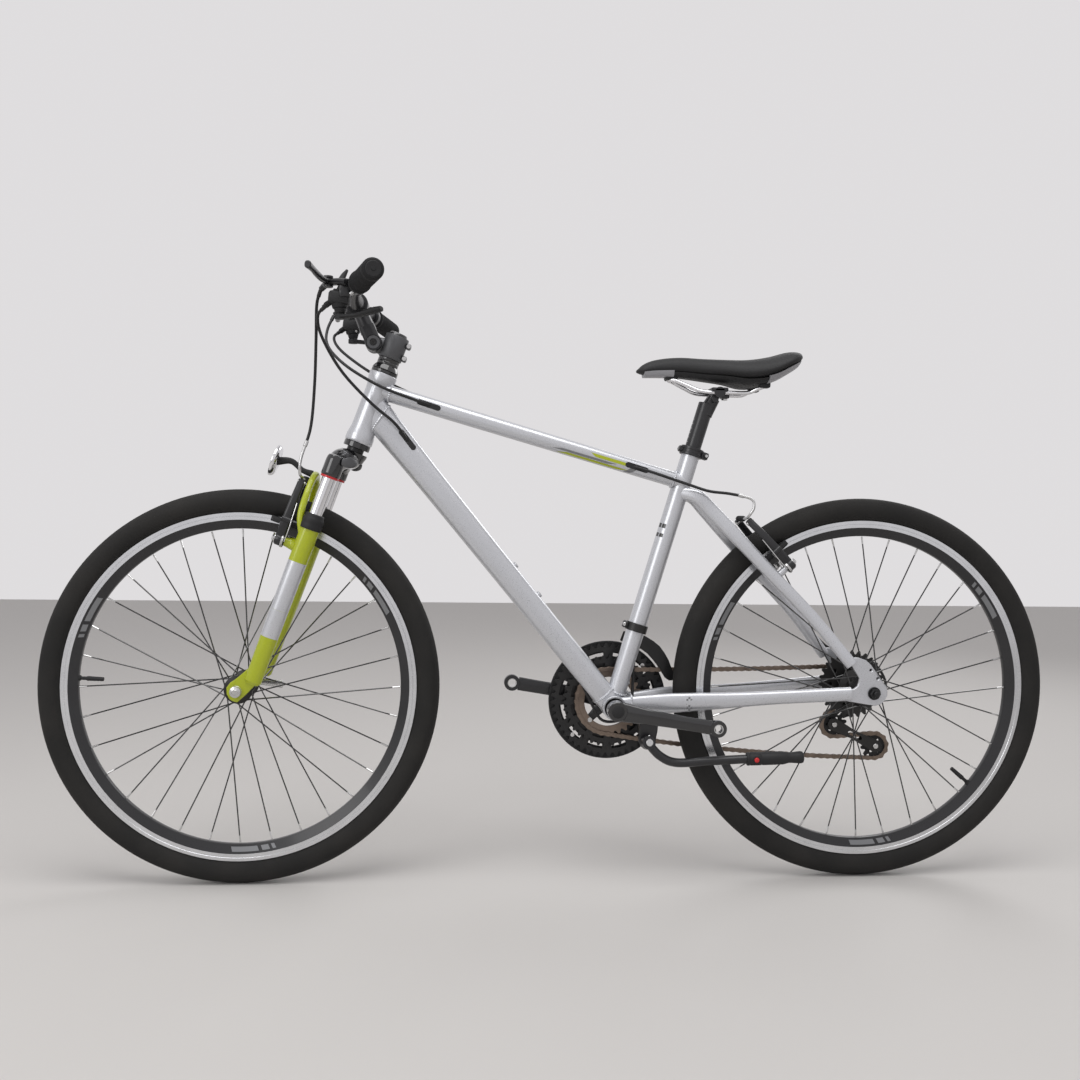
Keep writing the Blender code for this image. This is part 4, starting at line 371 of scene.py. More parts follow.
def wire(points, radius, sides=10, count=0, closed=False):
    """A round wire on a smooth route, with a frame that is carried along so that it never twists."""
    rows = eased(points, count) if count else [list(p) for p in points]
    rows = [Vector(row) for row in rows]
    n = len(rows)
    verts, faces = [], []
    side = None
    for i, point in enumerate(rows):
        before = rows[i - 1] if closed or i else rows[0]
        after = rows[(i + 1) % n] if closed or i < n - 1 else rows[-1]
        ahead = (after - before).normalized()
        side = ahead.orthogonal() if side is None else side - ahead * ahead.dot(side)
        side = side.normalized()
        top = ahead.cross(side)
        verts += [point + (side * cos(tau * k / sides) + top * sin(tau * k / sides)) * radius
                  for k in range(sides)]
    for i in range(n if closed else n - 1):
        for k in range(sides):
            j = (k + 1) % sides
            a, b = i * sides, (i + 1) % n * sides
            faces.append((a + k, a + j, b + j, b + k))
    if not closed:
        faces.append(tuple(range(sides))[::-1])
        faces.append(tuple(range((n - 1) * sides, n * sides)))
    return verts, faces


def plate(outline, thick, centre=(0, 0, 0), u=(1, 0, 0), v=(0, 0, 1), holes=(), edge=0.0004):
    """A flat plate with holes, its rims slightly chamfered."""
    u, v, centre = Vector(u).normalized(), Vector(v).normalized(), Vector(centre)
    w = u.cross(v)
    loops = [list(outline), *[list(hole) for hole in holes]]
    verts, faces = [], []
    flat = [p for loop in loops for p in loop]
    count = len(flat)
    triangles = tessellate_polygon([[Vector((x, y, 0)) for x, y in loop] for loop in loops])
    edge = min(edge, thick * 0.3)
    rings = [(-thick / 2, edge), (-thick / 2 + edge, 0.0), (thick / 2 - edge, 0.0), (thick / 2, edge)]
    for height, inset in rings:
        for loop_at, loop in enumerate(loops):
            n = len(loop)
            area = sum(loop[i][0] * loop[(i + 1) % n][1] - loop[(i + 1) % n][0] * loop[i][1]
                       for i in range(n))
            turn = (1 if area > 0 else -1) * (1 if loop_at == 0 else -1)
            for i in range(n):
                (ax, ay), (bx, by), (x, y) = loop[i - 1], loop[(i + 1) % n], loop[i]
                dx, dy = bx - ax, by - ay
                size = sqrt(dx * dx + dy * dy) or 1
                x, y = x - turn * dy / size * inset, y + turn * dx / size * inset
                verts.append(centre + u * x + v * y + w * height)
    start = 0
    for loop in loops:
        n = len(loop)
        for layer in range(3):
            a, b = layer * count + start, (layer + 1) * count + start
            for i in range(n):
                j = (i + 1) % n
                faces.append((a + i, a + j, b + j, b + i))
        start += n
    for tri in triangles:
        faces.append(tuple(tri)[::-1])
        faces.append(tuple(i + 3 * count for i in tri))
    return verts, faces


def disc(radius, sides=24, centre=(0.0, 0.0), turn=0.0):
    return [(centre[0] + radius * cos(turn + tau * i / sides),
        centre[1] + radius * sin(turn + tau * i / sides))
            for i in range(sides)]


def brick(centre, size, along=(1, 0, 0), across=Y, soft=0.0015):
    """A block with softened edges: `size` runs along, across and up."""
    z, x = Vector(along).normalized(), None
    x = (Vector(across) - z * z.dot(Vector(across))).normalized()
    y = z.cross(x)
    bm = bmesh.new()
    bmesh.ops.create_cube(bm, size=1)
    for corner in bm.verts:
        p = corner.co
        corner.co = z * (p.x * size[0]) + x * (p.y * size[1]) + y * (p.z * size[2]) + Vector(centre)
    bmesh.ops.bevel(bm, geom=bm.edges[:], offset=min(soft, min(size) * 0.3), segments=2, affect="EDGES",
        profile=0.5)
    bm.verts.index_update()
    made = [v.co.copy() for v in bm.verts], [tuple(v.index for v in f.verts) for f in bm.faces]
    bm.free()
    return made


MADE = []


def piece(name, shapes, body, look, stands_for=(), origin=None, angle=40, subdivide=0):
    """One named piece from several shapes, with its finish, on the body that carries it."""
    bm = bmesh.new()
    origin = Vector(origin) if origin is not None else Vector((0, 0, 0))
    for verts, faces in shapes:
        here = [bm.verts.new(Vector(v) - origin) for v in verts]
        for face in faces:
            corners = [here[i] for i in face]
            try:
                bm.faces.new(corners)
            except ValueError:
                continue
    bmesh.ops.remove_doubles(bm, verts=bm.verts, dist=1e-6)
    bmesh.ops.recalc_face_normals(bm, faces=bm.faces)
    mesh = bpy.data.meshes.new(name)
    bm.to_mesh(mesh)
    bm.free()
    mesh.shade_smooth()
    mesh.set_sharp_from_angle(angle=radians(angle))
    mesh.materials.append(look)
    obj = bpy.data.objects.new(name, mesh)
    obj.location = origin
    bpy.context.scene.collection.objects.link(obj)
    if subdivide:
        smoother = obj.modifiers.new("smooth", "SUBSURF")
        smoother.levels = smoother.render_levels = subdivide
    if body:
        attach(obj, body)
    if stands_for:
        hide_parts(*stands_for)
    MADE.append(name)
    return obj


# %% [markdown]
# The sizes are those of the CAD model: wheel radius, axle places, head and seat angles. Writing them
# once keeps every new piece on the body it stands for.

# %% Places shared with the CAD model
FRONT_AXLE, REAR_AXLE = Vector((-0.529, 0, 0.329)), Vector((0.529, 0, 0.329))
BOTTOM = Vector((0.0952, 0, 0.297))
UP_STEER = Vector((cos(radians(70.15)), 0, sin(radians(70.15))))
FORWARD = Vector((-UP_STEER.z, 0, UP_STEER.x))
UP_SEAT = Vector((cos(radians(73.3)), 0, sin(radians(73.3))))
HEAD_LOW = FRONT_AXLE + UP_STEER * 0.449 - FORWARD * 0.0378


def steer(along, offset=0.0, y=0.0):
    return HEAD_LOW + UP_STEER * along + FORWARD * offset + Vector((0, y, 0))


def seat(along, behind=0.0, y=0.0):
    return BOTTOM + UP_SEAT * along + Vector((UP_SEAT.z, 0, -UP_SEAT.x)) * behind + Vector((0, y, 0))


def at_y(point, y):
    return Vector((point[0], y, point[2]))


# %% [markdown]
# A semi-slick tyre has a smooth crown, fine sipes on the shoulders and a rough bead. The section is
# turned with many steps, and the sipes are a bump that repeats round the axle: a radial gradient
# gives the angle, and the distance across says where the shoulder is.

# %% Tyre rubber
tyre_rubber = finish("tyre_rubber", (0.02, 0.0195, 0.019), (0.034, 0.032, 0.03), (0.7, 0.86), 0.0, 0.0, 900,
    drift_size=14, spec=0.2)
tree = tyre_rubber.node_tree


def link(a, b):
    tree.links.new(a, b)


def maths(kind, first, second=None):
    made = tree.nodes.new("ShaderNodeMath")
    made.operation = kind
    for socket, value in zip(made.inputs, (first, second)):
        if isinstance(value, (int, float)):
            socket.default_value = value
        elif value is not None:
            link(value, socket)
    return made.outputs[0]


place = tree.nodes.new("ShaderNodeTexCoord").outputs["Object"]
split = tree.nodes.new("ShaderNodeSeparateXYZ")
link(place, split.inputs[0])
flat = tree.nodes.new("ShaderNodeCombineXYZ")
link(split.outputs["X"], flat.inputs["X"])
link(split.outputs["Z"], flat.inputs["Y"])
dial = tree.nodes.new("ShaderNodeTexGradient")
dial.gradient_type = "RADIAL"
link(flat.outputs[0], dial.inputs["Vector"])
across_tyre = maths("ABSOLUTE", split.outputs["Y"])
slant = maths("MULTIPLY", across_tyre, 60.0)
beat = maths("FRACT", maths("ADD", maths("MULTIPLY", dial.outputs["Fac"], 116.0), slant))
sipe = maths("MULTIPLY", maths("LESS_THAN", beat, 0.3), maths("GREATER_THAN", across_tyre, 0.0075))
sipe = maths("MULTIPLY", sipe, maths("LESS_THAN", across_tyre, 0.0172))
centre_beat = maths("FRACT", maths("MULTIPLY", dial.outputs["Fac"], 87.0))
centre_cut = maths("MULTIPLY", maths("LESS_THAN", centre_beat, 0.16), maths("LESS_THAN", across_tyre, 0.0045))
relief = tree.nodes.new("ShaderNodeBump")
relief.inputs["Strength"].default_value = 0.7
relief.inputs["Distance"].default_value = 0.0012
link(maths("SUBTRACT", 1.0, maths("MAXIMUM", sipe, centre_cut)), relief.inputs["Height"])
link(relief.outputs["Normal"], tree.nodes["Principled BSDF"].inputs["Normal"])
print("sipes per shoulder", 116)

# %% [markdown]
# The rim is an extrusion: two machined brake tracks, polished by the pads, over a black V-shaped
# well. The two finishes are two pieces, so the edge between them is crisp from any distance.

# %% Wheels
machined = finish("machined_aluminium", (0.7, 0.71, 0.73), (0.6, 0.61, 0.63), (0.16, 0.3), 1.0, 0.0, 900,
    drift_size=30)
RIM_LOW, SPOKES = 0.2635, 32


def tyre_section():
    half = [(0.2853, 0.0098), (0.2917, 0.0104), (0.2945, 0.015), (0.3, 0.0184), (0.3065, 0.0198),
            (0.312, 0.0199), (0.3175, 0.0186), (0.3225, 0.015), (0.3263, 0.0098), (0.3284, 0.0046)]
    return half + [(0.3289, 0.0)] + [(r, -y) for r, y in reversed(half)]


def spoke_lines(axle, flanges, radius):
    per = SPOKES // 2
    lean = 3 * tau / per
    for flange, (y, first) in enumerate(zip(flanges, (0.0, tau / SPOKES))):
        for k in range(per):
            hole = first + k * tau / per
            nipple = hole + (lean if k % 2 else -lean)
            start = axle + Vector((radius * cos(hole), y + (0.0011 if k % 2 else -0.0011),
                radius * sin(hole)))
            end = axle + Vector(((RIM_LOW - 0.001) * cos(nipple), 0.0025 if flange else -0.0025,
                (RIM_LOW - 0.001) * sin(nipple)))
            yield start, end


def hub_shape(end):
    if end == "front":
        return [(0.0054, -0.049), (0.0085, -0.049), (0.01, -0.042), (0.0135, -0.037), (0.0215, -0.035),
                (0.0235, -0.0344), (0.0235, -0.0316), (0.0215, -0.031), (0.014, -0.027), (0.0125, -0.01),
                (0.0125, 0.01), (0.014, 0.027), (0.0215, 0.031), (0.0235, 0.0316), (0.0235, 0.0344),
                (0.0215, 0.035), (0.0135, 0.037), (0.01, 0.042), (0.0085, 0.049), (0.0054, 0.049)]
    return [(0.0054, -0.0665), (0.0085, -0.0665), (0.01, -0.043), (0.016, -0.038), (0.0262, -0.036),
            (0.028, -0.0353), (0.028, -0.0327), (0.0262, -0.032), (0.017, -0.028), (0.0155, 0.0),
            (0.0165, 0.013), (0.0262, 0.017), (0.028, 0.0177), (0.028, 0.0203), (0.0262, 0.021),
            (0.0165, 0.023), (0.0165, 0.044), (0.0054, 0.044)]


def rim_mark(axle, side, middle, spread, low=0.2672, high=0.2748):
    """A printed dash on the sloping side of the rim, with no letters, as a thin strip."""
    verts, faces, n = [], [], 9
    for lift in (0.0, 0.0003):
        for radius in (low, high):
            for k in range(n):
                angle = middle + spread * (k / (n - 1) - 0.5) + (0.01 if radius == high else 0.0)
                y = 0.0052 + (radius - 0.264) * 0.4754 + lift
                verts.append(axle + Vector((radius * cos(angle), side * y, radius * sin(angle))))
    for k in range(n - 1):
        faces += [(k, k + 1, n + k + 1, n + k), (2 * n + k, 3 * n + k, 3 * n + k + 1, 2 * n + k + 1),
                  (k, 2 * n + k, 2 * n + k + 1, k + 1), (n + k, n + k + 1, 3 * n + k + 1, 3 * n + k)]
    faces += [(0, n, 3 * n, 2 * n), (n - 1, 3 * n - 1, 4 * n - 1, 2 * n - 1)]
    return verts, faces


VALVES = {"front": radians(177), "rear": radians(-40)}
for end, axle, flanges, flange_radius in (("front", FRONT_AXLE, (-0.033, 0.033), 0.0195),
                                          ("rear", REAR_AXLE, (-0.034, 0.019), 0.024)):
    carrier = f"{end}_wheel"
    piece(f"{end}_tyre_skin", [spin(tyre_section(), axle, Y, 160)], carrier, tyre_rubber,
          [f"{end}_tyre"], axle, 60)
    well = [(0.2782, 0.01195), (0.264, 0.0052), (RIM_LOW, 0.004), (RIM_LOW, -0.004), (0.264, -0.0052),
            (0.2782, -0.01195), (0.2905, -0.0118), (0.2905, -0.0103), (0.2851, -0.01), (0.2851, 0.01),
            (0.2905, 0.0103), (0.2905, 0.0118)]
    piece(f"{end}_rim_well", [spin(well, axle, Y, 160)], carrier, anodised,
        [f"{end}_rim"], axle, 25)
    tracks = []
    for side in (-1, 1):
        track = [(0.2784, 0.0119), (0.2784, 0.0122), (0.2838, 0.0122), (0.2841, 0.0119), (0.2847, 0.0119),
                 (0.285, 0.0122), (0.2903, 0.0122), (0.2906, 0.0119), (0.2906, 0.0104), (0.29, 0.0104)]
        tracks.append(spin([(r, y * side) for r, y in track], axle, Y, 160))
    piece(f"{end}_brake_tracks", tracks, carrier, machined, (), axle, 25)
    marks = [rim_mark(axle, side, turn_at + offset, width) for side in (-1, 1) for turn_at in (0.55,
        0.55 + tau / 3, 0.55 + 2 * tau / 3)
             for offset, width in ((0.0, 0.16), (0.125, 0.045), (0.175, 0.02))]
    piece(f"{end}_rim_marks", marks, carrier, decal_grey, (), axle, 25)
    lines = list(spoke_lines(axle, flanges, flange_radius))
    piece(f"{end}_spokes", [rod(a, b.lerp(a, 0.045), 0.0012, 8) for a, b in lines], carrier,
        gloss_black)
    piece(f"{end}_nipples", [rod(b, b.lerp(a, 0.052), 0.0017, 8, 0.0014) for a, b in lines], carrier,
        steel)
    shell = [spin(hub_shape(end), axle, Y, 48)]
    for y in flanges:
        shell.append(spin([(flange_radius + 0.0008, y - 0.0026), (flange_radius + 0.0014, y),
                           (flange_radius + 0.0008, y + 0.0026), (flange_radius - 0.0006, y)], axle, Y, 48))
    piece(f"{end}_hub_shell", shell, carrier, steel_dark, [f"{end}_hub"], None, 35)
    turn = VALVES[end]
    inward = Vector((cos(turn), 0, sin(turn)))
    stem = [rod(axle + inward * 0.264, axle + inward * 0.25, 0.003, 16),
            rod(axle + inward * 0.251, axle + inward * 0.224, 0.004, 16, 0.0034),
            spin([(0.0, 0.264), (0.0052, 0.264), (0.0044, 0.261), (0.0, 0.261)], axle, inward, 16, False)]
    piece(f"{end}_valve", stem, carrier, moulded)
print("wheels dressed")

# %% [markdown]
# The frame is welded from aluminium tubes: a flared head tube, an oval top tube, a squarer down tube
# and flattened stays. Each tube is a superellipse pulled along its axis, and each weld is a small
# rippled bead where two tubes meet, as the stacked puddles of a hand weld look.

# %% Frame tubes
TOP_FRONT, TOP_REAR = steer(0.094), seat(0.4016)
DOWN_FRONT = steer(0.064, 0.0012)
DOWN_PATH = [DOWN_FRONT, DOWN_FRONT.lerp(BOTTOM, 0.3), BOTTOM]
DOWN_WIDE, DOWN_HIGH = [0.018, 0.02, 0.021], [0.0262, 0.0222, 0.0198]
TOP_WIDE, TOP_HIGH = [0.0185, 0.0165], [0.014, 0.0132]


def weld(centre, axis, wide, high, across=Y, beads=34, thick=0.0018):
    """A bead round a tube, with a ripple for each puddle."""
    x, y, z = basis(axis, across)
    path = []
    for k in range(beads * 4):
        a = tau * k / (beads * 4)
        u = abs(cos(a)) ** (2 / 2.6) * (1 if cos(a) > 0 else -1)
        v = abs(sin(a)) ** (2 / 2.6) * (1 if sin(a) > 0 else -1)
        ripple = 0.0004 * cos(beads * a)
        path.append(Vector(centre) + x * (u * (wide + ripple)) + y * (v * (high + ripple)))
    return wire(path, thick, 8, closed=True)


head = [(0.0175, 0.1225), (0.0222, 0.1225), (0.0232, 0.1215), (0.0235, 0.119), (0.0233, 0.112),
    (0.0222, 0.106),
        (0.0208, 0.098), (0.0205, 0.093), (0.0205, 0.032), (0.021, 0.024), (0.0224, 0.016), (0.0233, 0.011),
        (0.0235, 0.004), (0.0232, 0.0012), (0.0222, 0.0), (0.0175, 0.0)]
tubes = [
    spin(head, HEAD_LOW, UP_STEER, 64),
    bar([TOP_FRONT, TOP_REAR], TOP_WIDE, TOP_HIGH, 40, 2.6),
    bar(DOWN_PATH, DOWN_WIDE, DOWN_HIGH, 40, 3.0, count=12),
    rod(seat(0.0), seat(0.4618), 0.0159, 48),
    spin([(0.0176, -0.034), (0.02, -0.034), (0.0205, -0.0335), (0.0205, 0.0335), (0.02, 0.034),
        (0.0176, 0.034)],
         BOTTOM, Y, 48),
    cross_rod((0.286, 0, 0.609), -0.03, 0.03, 0.008, 28),
    cross_rod((0.175, 0, 0.305), -0.03, 0.03, 0.007, 28),
]
STAY_LOW, CHAIN_END = REAR_AXLE + Vector((-0.0385, 0, 0.048)), REAR_AXLE + Vector((-0.039, 0, -0.0012))
for side in (-1, 1):
    upper = [at_y(seat(0.382), side * 0.007), (0.234, side * 0.019, 0.656), (0.256, side * 0.0225, 0.6345),
             (0.3, side * 0.0335, 0.588), (0.3651, side * 0.044, 0.5192), (0.4294, side * 0.056, 0.4512),
             at_y(STAY_LOW, side * 0.0705)]
    tubes.append(bar(upper, 0.0075, [0.01, 0.012, 0.0125, 0.012, 0.011, 0.0105, 0.01], 28, 2.4, count=40))
    lower = [at_y(BOTTOM + Vector((0.012, 0, 0.002)), side * 0.0215), (0.15, side * 0.0255, 0.3025),
             (0.205, side * 0.0365, 0.3075), (0.3, side * 0.047, 0.314), (0.3724, side * 0.055, 0.3196),
             at_y(CHAIN_END, side * 0.0705)]
    tubes.append(bar(lower, 0.008, [0.015, 0.0165, 0.0165, 0.013, 0.0115, 0.0115], 28, 2.4, count=40))
    plate_edge = [(-0.047, 0.005), (-0.047, -0.013), (-0.018, -0.018), (0.002, -0.021), (0.012, -0.0185),
                  (0.019, -0.012), (0.0232, -0.004), (0.0235, 0.003), (0.0215, 0.011), (-0.006, 0.048),
                  (-0.015, 0.056), (-0.027, 0.06), (-0.037, 0.06), (-0.045, 0.056), (-0.025, 0.025),
                  (-0.0262, 0.018), (-0.028, 0.012), (-0.035, 0.007)]
    holes = [disc(0.0051, 24), disc(0.0025, 16, (0.006, 0.025)), disc(0.0025, 16, (-0.006, 0.039))]
    tubes.append(plate(plate_edge, 0.006, at_y(REAR_AXLE, side * 0.0705), holes=holes, edge=0.0008))
    foot = Vector((0.3651, side * 0.04, 0.5192))
    tubes.append(rod(foot, foot + Vector((0.727, 0, 0.687)) * 0.0248, 0.0062, 24, 0.0056))
hanger = REAR_AXLE + Vector((0.012, 0, -0.029))
tubes.append(bar([hanger + Vector((0, 0.0705, -0.01)), REAR_AXLE + Vector((0.004, 0.0705, -0.012))], 0.003,
                 [0.009, 0.012], 24, 4.0))
down_way = (BOTTOM - DOWN_FRONT).normalized()
off_down = Vector((-down_way.z, 0, down_way.x))
for reach in (0.228, 0.292):
    foot = BOTTOM - down_way * reach
    tubes.append(rod(foot + off_down * 0.012, foot + off_down * 0.0244, 0.0056, 24))
top_way = (TOP_REAR - TOP_FRONT).normalized()
welds = [
    weld(TOP_FRONT + top_way * 0.0212, top_way, 0.0187, 0.0142),
    weld(DOWN_FRONT + down_way * 0.0262, (down_way + Vector((0.35, 0, 0.1))).normalized(), 0.0186, 0.0262),
    weld(TOP_REAR - top_way * 0.0168, top_way, 0.0168, 0.0135),
    weld(BOTTOM - down_way * 0.025, down_way, 0.0211, 0.02),
    weld(seat(0.0235), UP_SEAT, 0.0162, 0.0162),
    weld((0.1245, 0.023, 0.301), (1, 0.05, 0), 0.008, 0.0158),
    weld((0.1245, -0.023, 0.301), (1, -0.05, 0), 0.008, 0.0158),
]
piece("frame_tubes", [*tubes, *welds], "frame", silver, ["frame"], None, 38)
print("tubes and welds", len(tubes), len(welds))

# %% [markdown]
# Decals sit in the clear coat, so they are thin patches lifted a tenth of a millimetre off the tube.
# They are only generic here: a lime and grey stripe on the top tube, black tabs on the seat tube and
# a checked band on the chain stay.

# %% Decals


def skin_patch(path, wide, high, power, reach, turn, lift=0.00012, steps=(14, 8), slant=0.0):
    """A patch of a straight tapered tube's skin between two shares of its length and two angles."""
    (start, end), (t0, t1), (a0, a1) = (path[0], path[-1]), reach, turn
    ahead = (Vector(end) - Vector(start)).normalized()
    side = (Y - ahead * ahead.dot(Y)).normalized()
    top = side.cross(ahead)
    verts, faces = [], []
    for i in range(steps[0] + 1):
        for k in range(steps[1] + 1):
            a = a0 + (a1 - a0) * k / steps[1]
            t = t0 + (t1 - t0) * i / steps[0] + slant * (k / steps[1] - 0.5)
            u = abs(cos(a)) ** (2 / power) * (1 if cos(a) > 0 else -1)
            v = abs(sin(a)) ** (2 / power) * (1 if sin(a) > 0 else -1)
            w, h = wide[0] + (wide[-1] - wide[0]) * t + lift, high[0] + (high[-1] - high[0]) * t + lift
            verts.append(Vector(start).lerp(Vector(end), t) + side * (w * u) + top * (h * v))
    for i in range(steps[0]):
        for k in range(steps[1]):
            a = i * (steps[1] + 1) + k
            faces.append((a, a + 1, a + steps[1] + 2, a + steps[1] + 1))
    return verts, faces


def top_patch(t0, t1, a0, a1, slant=0.0, lift=0.00012):
    return skin_patch([TOP_FRONT, TOP_REAR], TOP_WIDE, TOP_HIGH, 2.6, (t0, t1), (radians(a0), radians(a1)),
        lift,
                      slant=slant)


lime_marks, grey_marks = [], []
for mirror in (0, 1):
    flip = (lambda a: 180 - a) if not mirror else (lambda a: a)
    lime_marks += [top_patch(0.6, 0.8, flip(62), flip(36), 0.035),
        top_patch(0.7, 0.815, flip(8), flip(-6), -0.02)]
    grey_marks += [top_patch(0.585, 0.765, flip(31), flip(14), 0.03),
        top_patch(0.815, 0.835, flip(62), flip(12), 0.02)]
piece("top_tube_lime_stripe", lime_marks, "frame", lime, (), None, 180)
piece("top_tube_grey_stripe", grey_marks, "frame", decal_grey, (), None, 180)
tabs = []
for along, height in ((0.3, 0.0065), (0.316, 0.0075)):
    for turn in (205, 238):
        tabs.append(skin_patch([seat(along), seat(along + height)], [0.0159] * 2, [0.0159] * 2, 2.0, (0, 1),
                               (radians(turn), radians(turn + 26)), 0.00015))
piece("seat_tube_tabs", tabs, "frame", decal_black, (), None, 180)
check = []
for row in range(7):
    for column in range(3):
        if (row + column) % 2:
            for side in (-1, 1):
                x0 = 0.216 + column * 0.0034
                centre = Vector((x0, side * (0.0365 + (x0 - 0.205) * 0.1105 + 0.00812),
                    0.3081 - 0.0108 + row * 0.0033))
                check.append(plate([(-0.0016, -0.0016), (0.0016, -0.0016), (0.0016, 0.0016),
                    (-0.0016, 0.0016)], 0.0002,
                                   centre, (1, side * 0.11, 0), edge=0.00001))
piece("chain_stay_check", check, "frame", decal_grey, (), None, 180)
print("decals", len(lime_marks) + len(grey_marks) + len(tabs) + len(check))

# %% [markdown]
# Small frame fittings: the headset's two black rings, the collar that clamps the seat post, the
# bottom bracket's cups, the axle nuts, and the plastic plugs where cables enter the tubes.

# %% Frame fittings
for name, low, high in (("lower", -0.01, -0.0003), ("upper", 0.1228, 0.1285)):
    cup = [(0.0149, low), (0.0215, low), (0.0224, low + 0.0009), (0.0224, high - 0.0009), (0.0215, high),
        (0.0149, high)]
    piece(f"headset_{name}_ring", [spin(cup, HEAD_LOW, UP_STEER, 56)], "frame", gloss_black,
          [f"headset_{name}_cup"])
collar = [(0.0162, 0.448), (0.0192, 0.448), (0.02, 0.4488), (0.02, 0.4524), (0.0193, 0.4532), (0.0193, 0.458),
          (0.02, 0.4588), (0.02, 0.4622), (0.0192, 0.463), (0.0162, 0.463)]
clamp = [spin(collar, BOTTOM, UP_SEAT, 48)]
clamp += [brick(seat(0.4555, 0.0225, side * 0.005), (0.0125, 0.0056, 0.013), UP_SEAT,
    soft=0.0025) for side in (-1, 1)]
clamp += [cross_rod(seat(0.4555, 0.0245), -0.0132, 0.0132, 0.0041, 20),
    brick(seat(0.4555, -0.02), (0.0108, 0.0118, 0.0078), UP_SEAT, soft=0.003),
          cross_rod(seat(0.4555, -0.0205), -0.0085, 0.0085, 0.0036, 18)]
piece("seat_post_collar", clamp, "frame", anodised, ["seat_clamp"])
piece("seat_collar_bolt", [cross_rod(seat(0.4555, 0.0245), -0.0139, -0.0131, 0.0026, 12),
                           cross_rod(seat(0.4555, 0.0245), 0.0131, 0.0139, 0.0026, 12)], "frame",
                               steel)
cup = [(0.0092, -0.0349), (0.012, -0.0349), (0.0126, -0.0342), (0.016, -0.0342), (0.017, -0.0347),
    (0.0171, 0.0347),
       (0.016, 0.0342), (0.0126, 0.0342), (0.012, 0.0349), (0.0092, 0.0349)]
piece("bottom_bracket_cartridge", [spin(cup, BOTTOM, Y, 48)], "frame", steel_dark,
    ["bottom_bracket"])
nuts = [cross_rod(REAR_AXLE, -0.088, 0.088, 0.0047, 20), cross_rod(REAR_AXLE, 0.047, 0.0672, 0.0069, 24)]
for side in (-1, 1):
    low, high = sorted((side * 0.0738, side * 0.0828))
    nuts.append(plate(disc(0.0088, 6), high - low, at_y(REAR_AXLE, (low + high) / 2), edge=0.001))
    low, high = sorted((side * 0.0738, side * 0.0756))
    nuts.append(cross_rod(REAR_AXLE, low, high, 0.0109, 32))
piece("rear_axle_nuts", nuts, "frame", steel_dark, ["rear_axle"])
bolts = []
for reach in (0.228, 0.292):
    foot = BOTTOM - down_way * reach
    bolts.append(rod(foot + off_down * 0.0242, foot + off_down * 0.0247, 0.003, 20))
piece("bottle_boss_plugs", bolts, "frame", moulded)
PORTS = [((-0.2236, -0.0185, 0.8025), (0.9, 0.32, -0.28)), ((0.1292, -0.0175, 0.7045), (0.94, -0.2, -0.28)),
         ((-0.2584, -0.019, 0.744), (0.58, 0.33, -0.74)), ((0.048, -0.006, 0.3225), (0.5, -0.02, -0.87))]
plugs = []
for (x, y, z), way in PORTS[:3]:
    way = Vector(way).normalized()
    flat_way = Vector((way.x, 0, way.z)).normalized()
    centre = Vector((x, y, z))
    pill = [(sx * 0.016 + 0.0046 * cos(radians(90 + 180 * k / 8 + (0 if sx < 0 else 180))),
             0.0046 * sin(radians(90 + 180 * k / 8 + (0 if sx < 0 else 180)))) for sx in (-1,
                 1) for k in range(9)]
    plugs.append(plate(pill, 0.003, centre + Y * 0.0006, flat_way, flat_way.cross(Y), edge=0.0006))
piece("cable_port_grommets", plugs, "frame", moulded)
print("fittings done")

# %% [markdown]
# A suspension fork is two telescoping halves. The painted crown holds two chromed stanchions, with a
# red ring where each leaves it, and the cast lowers slide on them behind rubber dust seals. The arch
# and the legs are sections pulled along paths, because a casting flows from one into the other.

# %% Fork crown and stanchions
CROWN = [steer(-0.05, 0.018, -0.058), steer(-0.036, 0.013, -0.036), steer(-0.03, 0.004, 0),
         steer(-0.036, 0.013, 0.036), steer(-0.05, 0.018, 0.058)]
crown = [bar(CROWN, [0.0155, 0.0175, 0.019, 0.0175, 0.0155], [0.015, 0.016, 0.016, 0.016, 0.015], 40, 2.4,
             FORWARD, 30, 0.004),
         spin([(0.0143, -0.0168), (0.0225, -0.0172), (0.0222, -0.0215), (0.0205, -0.026), (0.0185, -0.033)],
              HEAD_LOW, UP_STEER, 48, False)]
rings, tubes, seals = [], [], []
for side in (-1, 1):
    socket = [(0.012, -0.0685), (0.015, -0.0685), (0.0158, -0.0675), (0.016, -0.064), (0.016, -0.044),
              (0.0154, -0.0385), (0.0138, -0.0345), (0.009, -0.0325), (0.0, -0.032)]
    crown.append(spin(socket, HEAD_LOW + FORWARD * 0.018 + Y * side * 0.058, UP_STEER, 40, False))
    rings.append(spin([(0.0116, -0.0684), (0.0146, -0.0684), (0.0149, -0.069), (0.0149, -0.0716),
        (0.0145, -0.0722),
                       (0.0116, -0.0722)], HEAD_LOW + FORWARD * 0.018 + Y * side * 0.058, UP_STEER, 40))
    tubes.append(rod(steer(-0.06, 0.018, side * 0.058), steer(-0.32, 0.018, side * 0.058), 0.0115, 40))
    seal = [(0.0118, -0.1345), (0.0138, -0.1345), (0.015, -0.1353), (0.0157, -0.1372), (0.016, -0.14),
            (0.0168, -0.1412), (0.0178, -0.144), (0.0181, -0.149), (0.0176, -0.1512), (0.0181, -0.153),
            (0.0182, -0.1575), (0.0178, -0.1605), (0.015, -0.1612), (0.0118, -0.1612)]
    seals.append(spin(seal, HEAD_LOW + FORWARD * 0.018 + Y * side * 0.058, UP_STEER, 40))
piece("fork_crown", crown, "steering", gloss_black, ["fork_upper"])
piece("steerer_tube", [rod(steer(-0.0168), steer(0.188), 0.0143, 32)], "steering", steel_dark)
piece("stanchions", tubes, "steering", chrome)
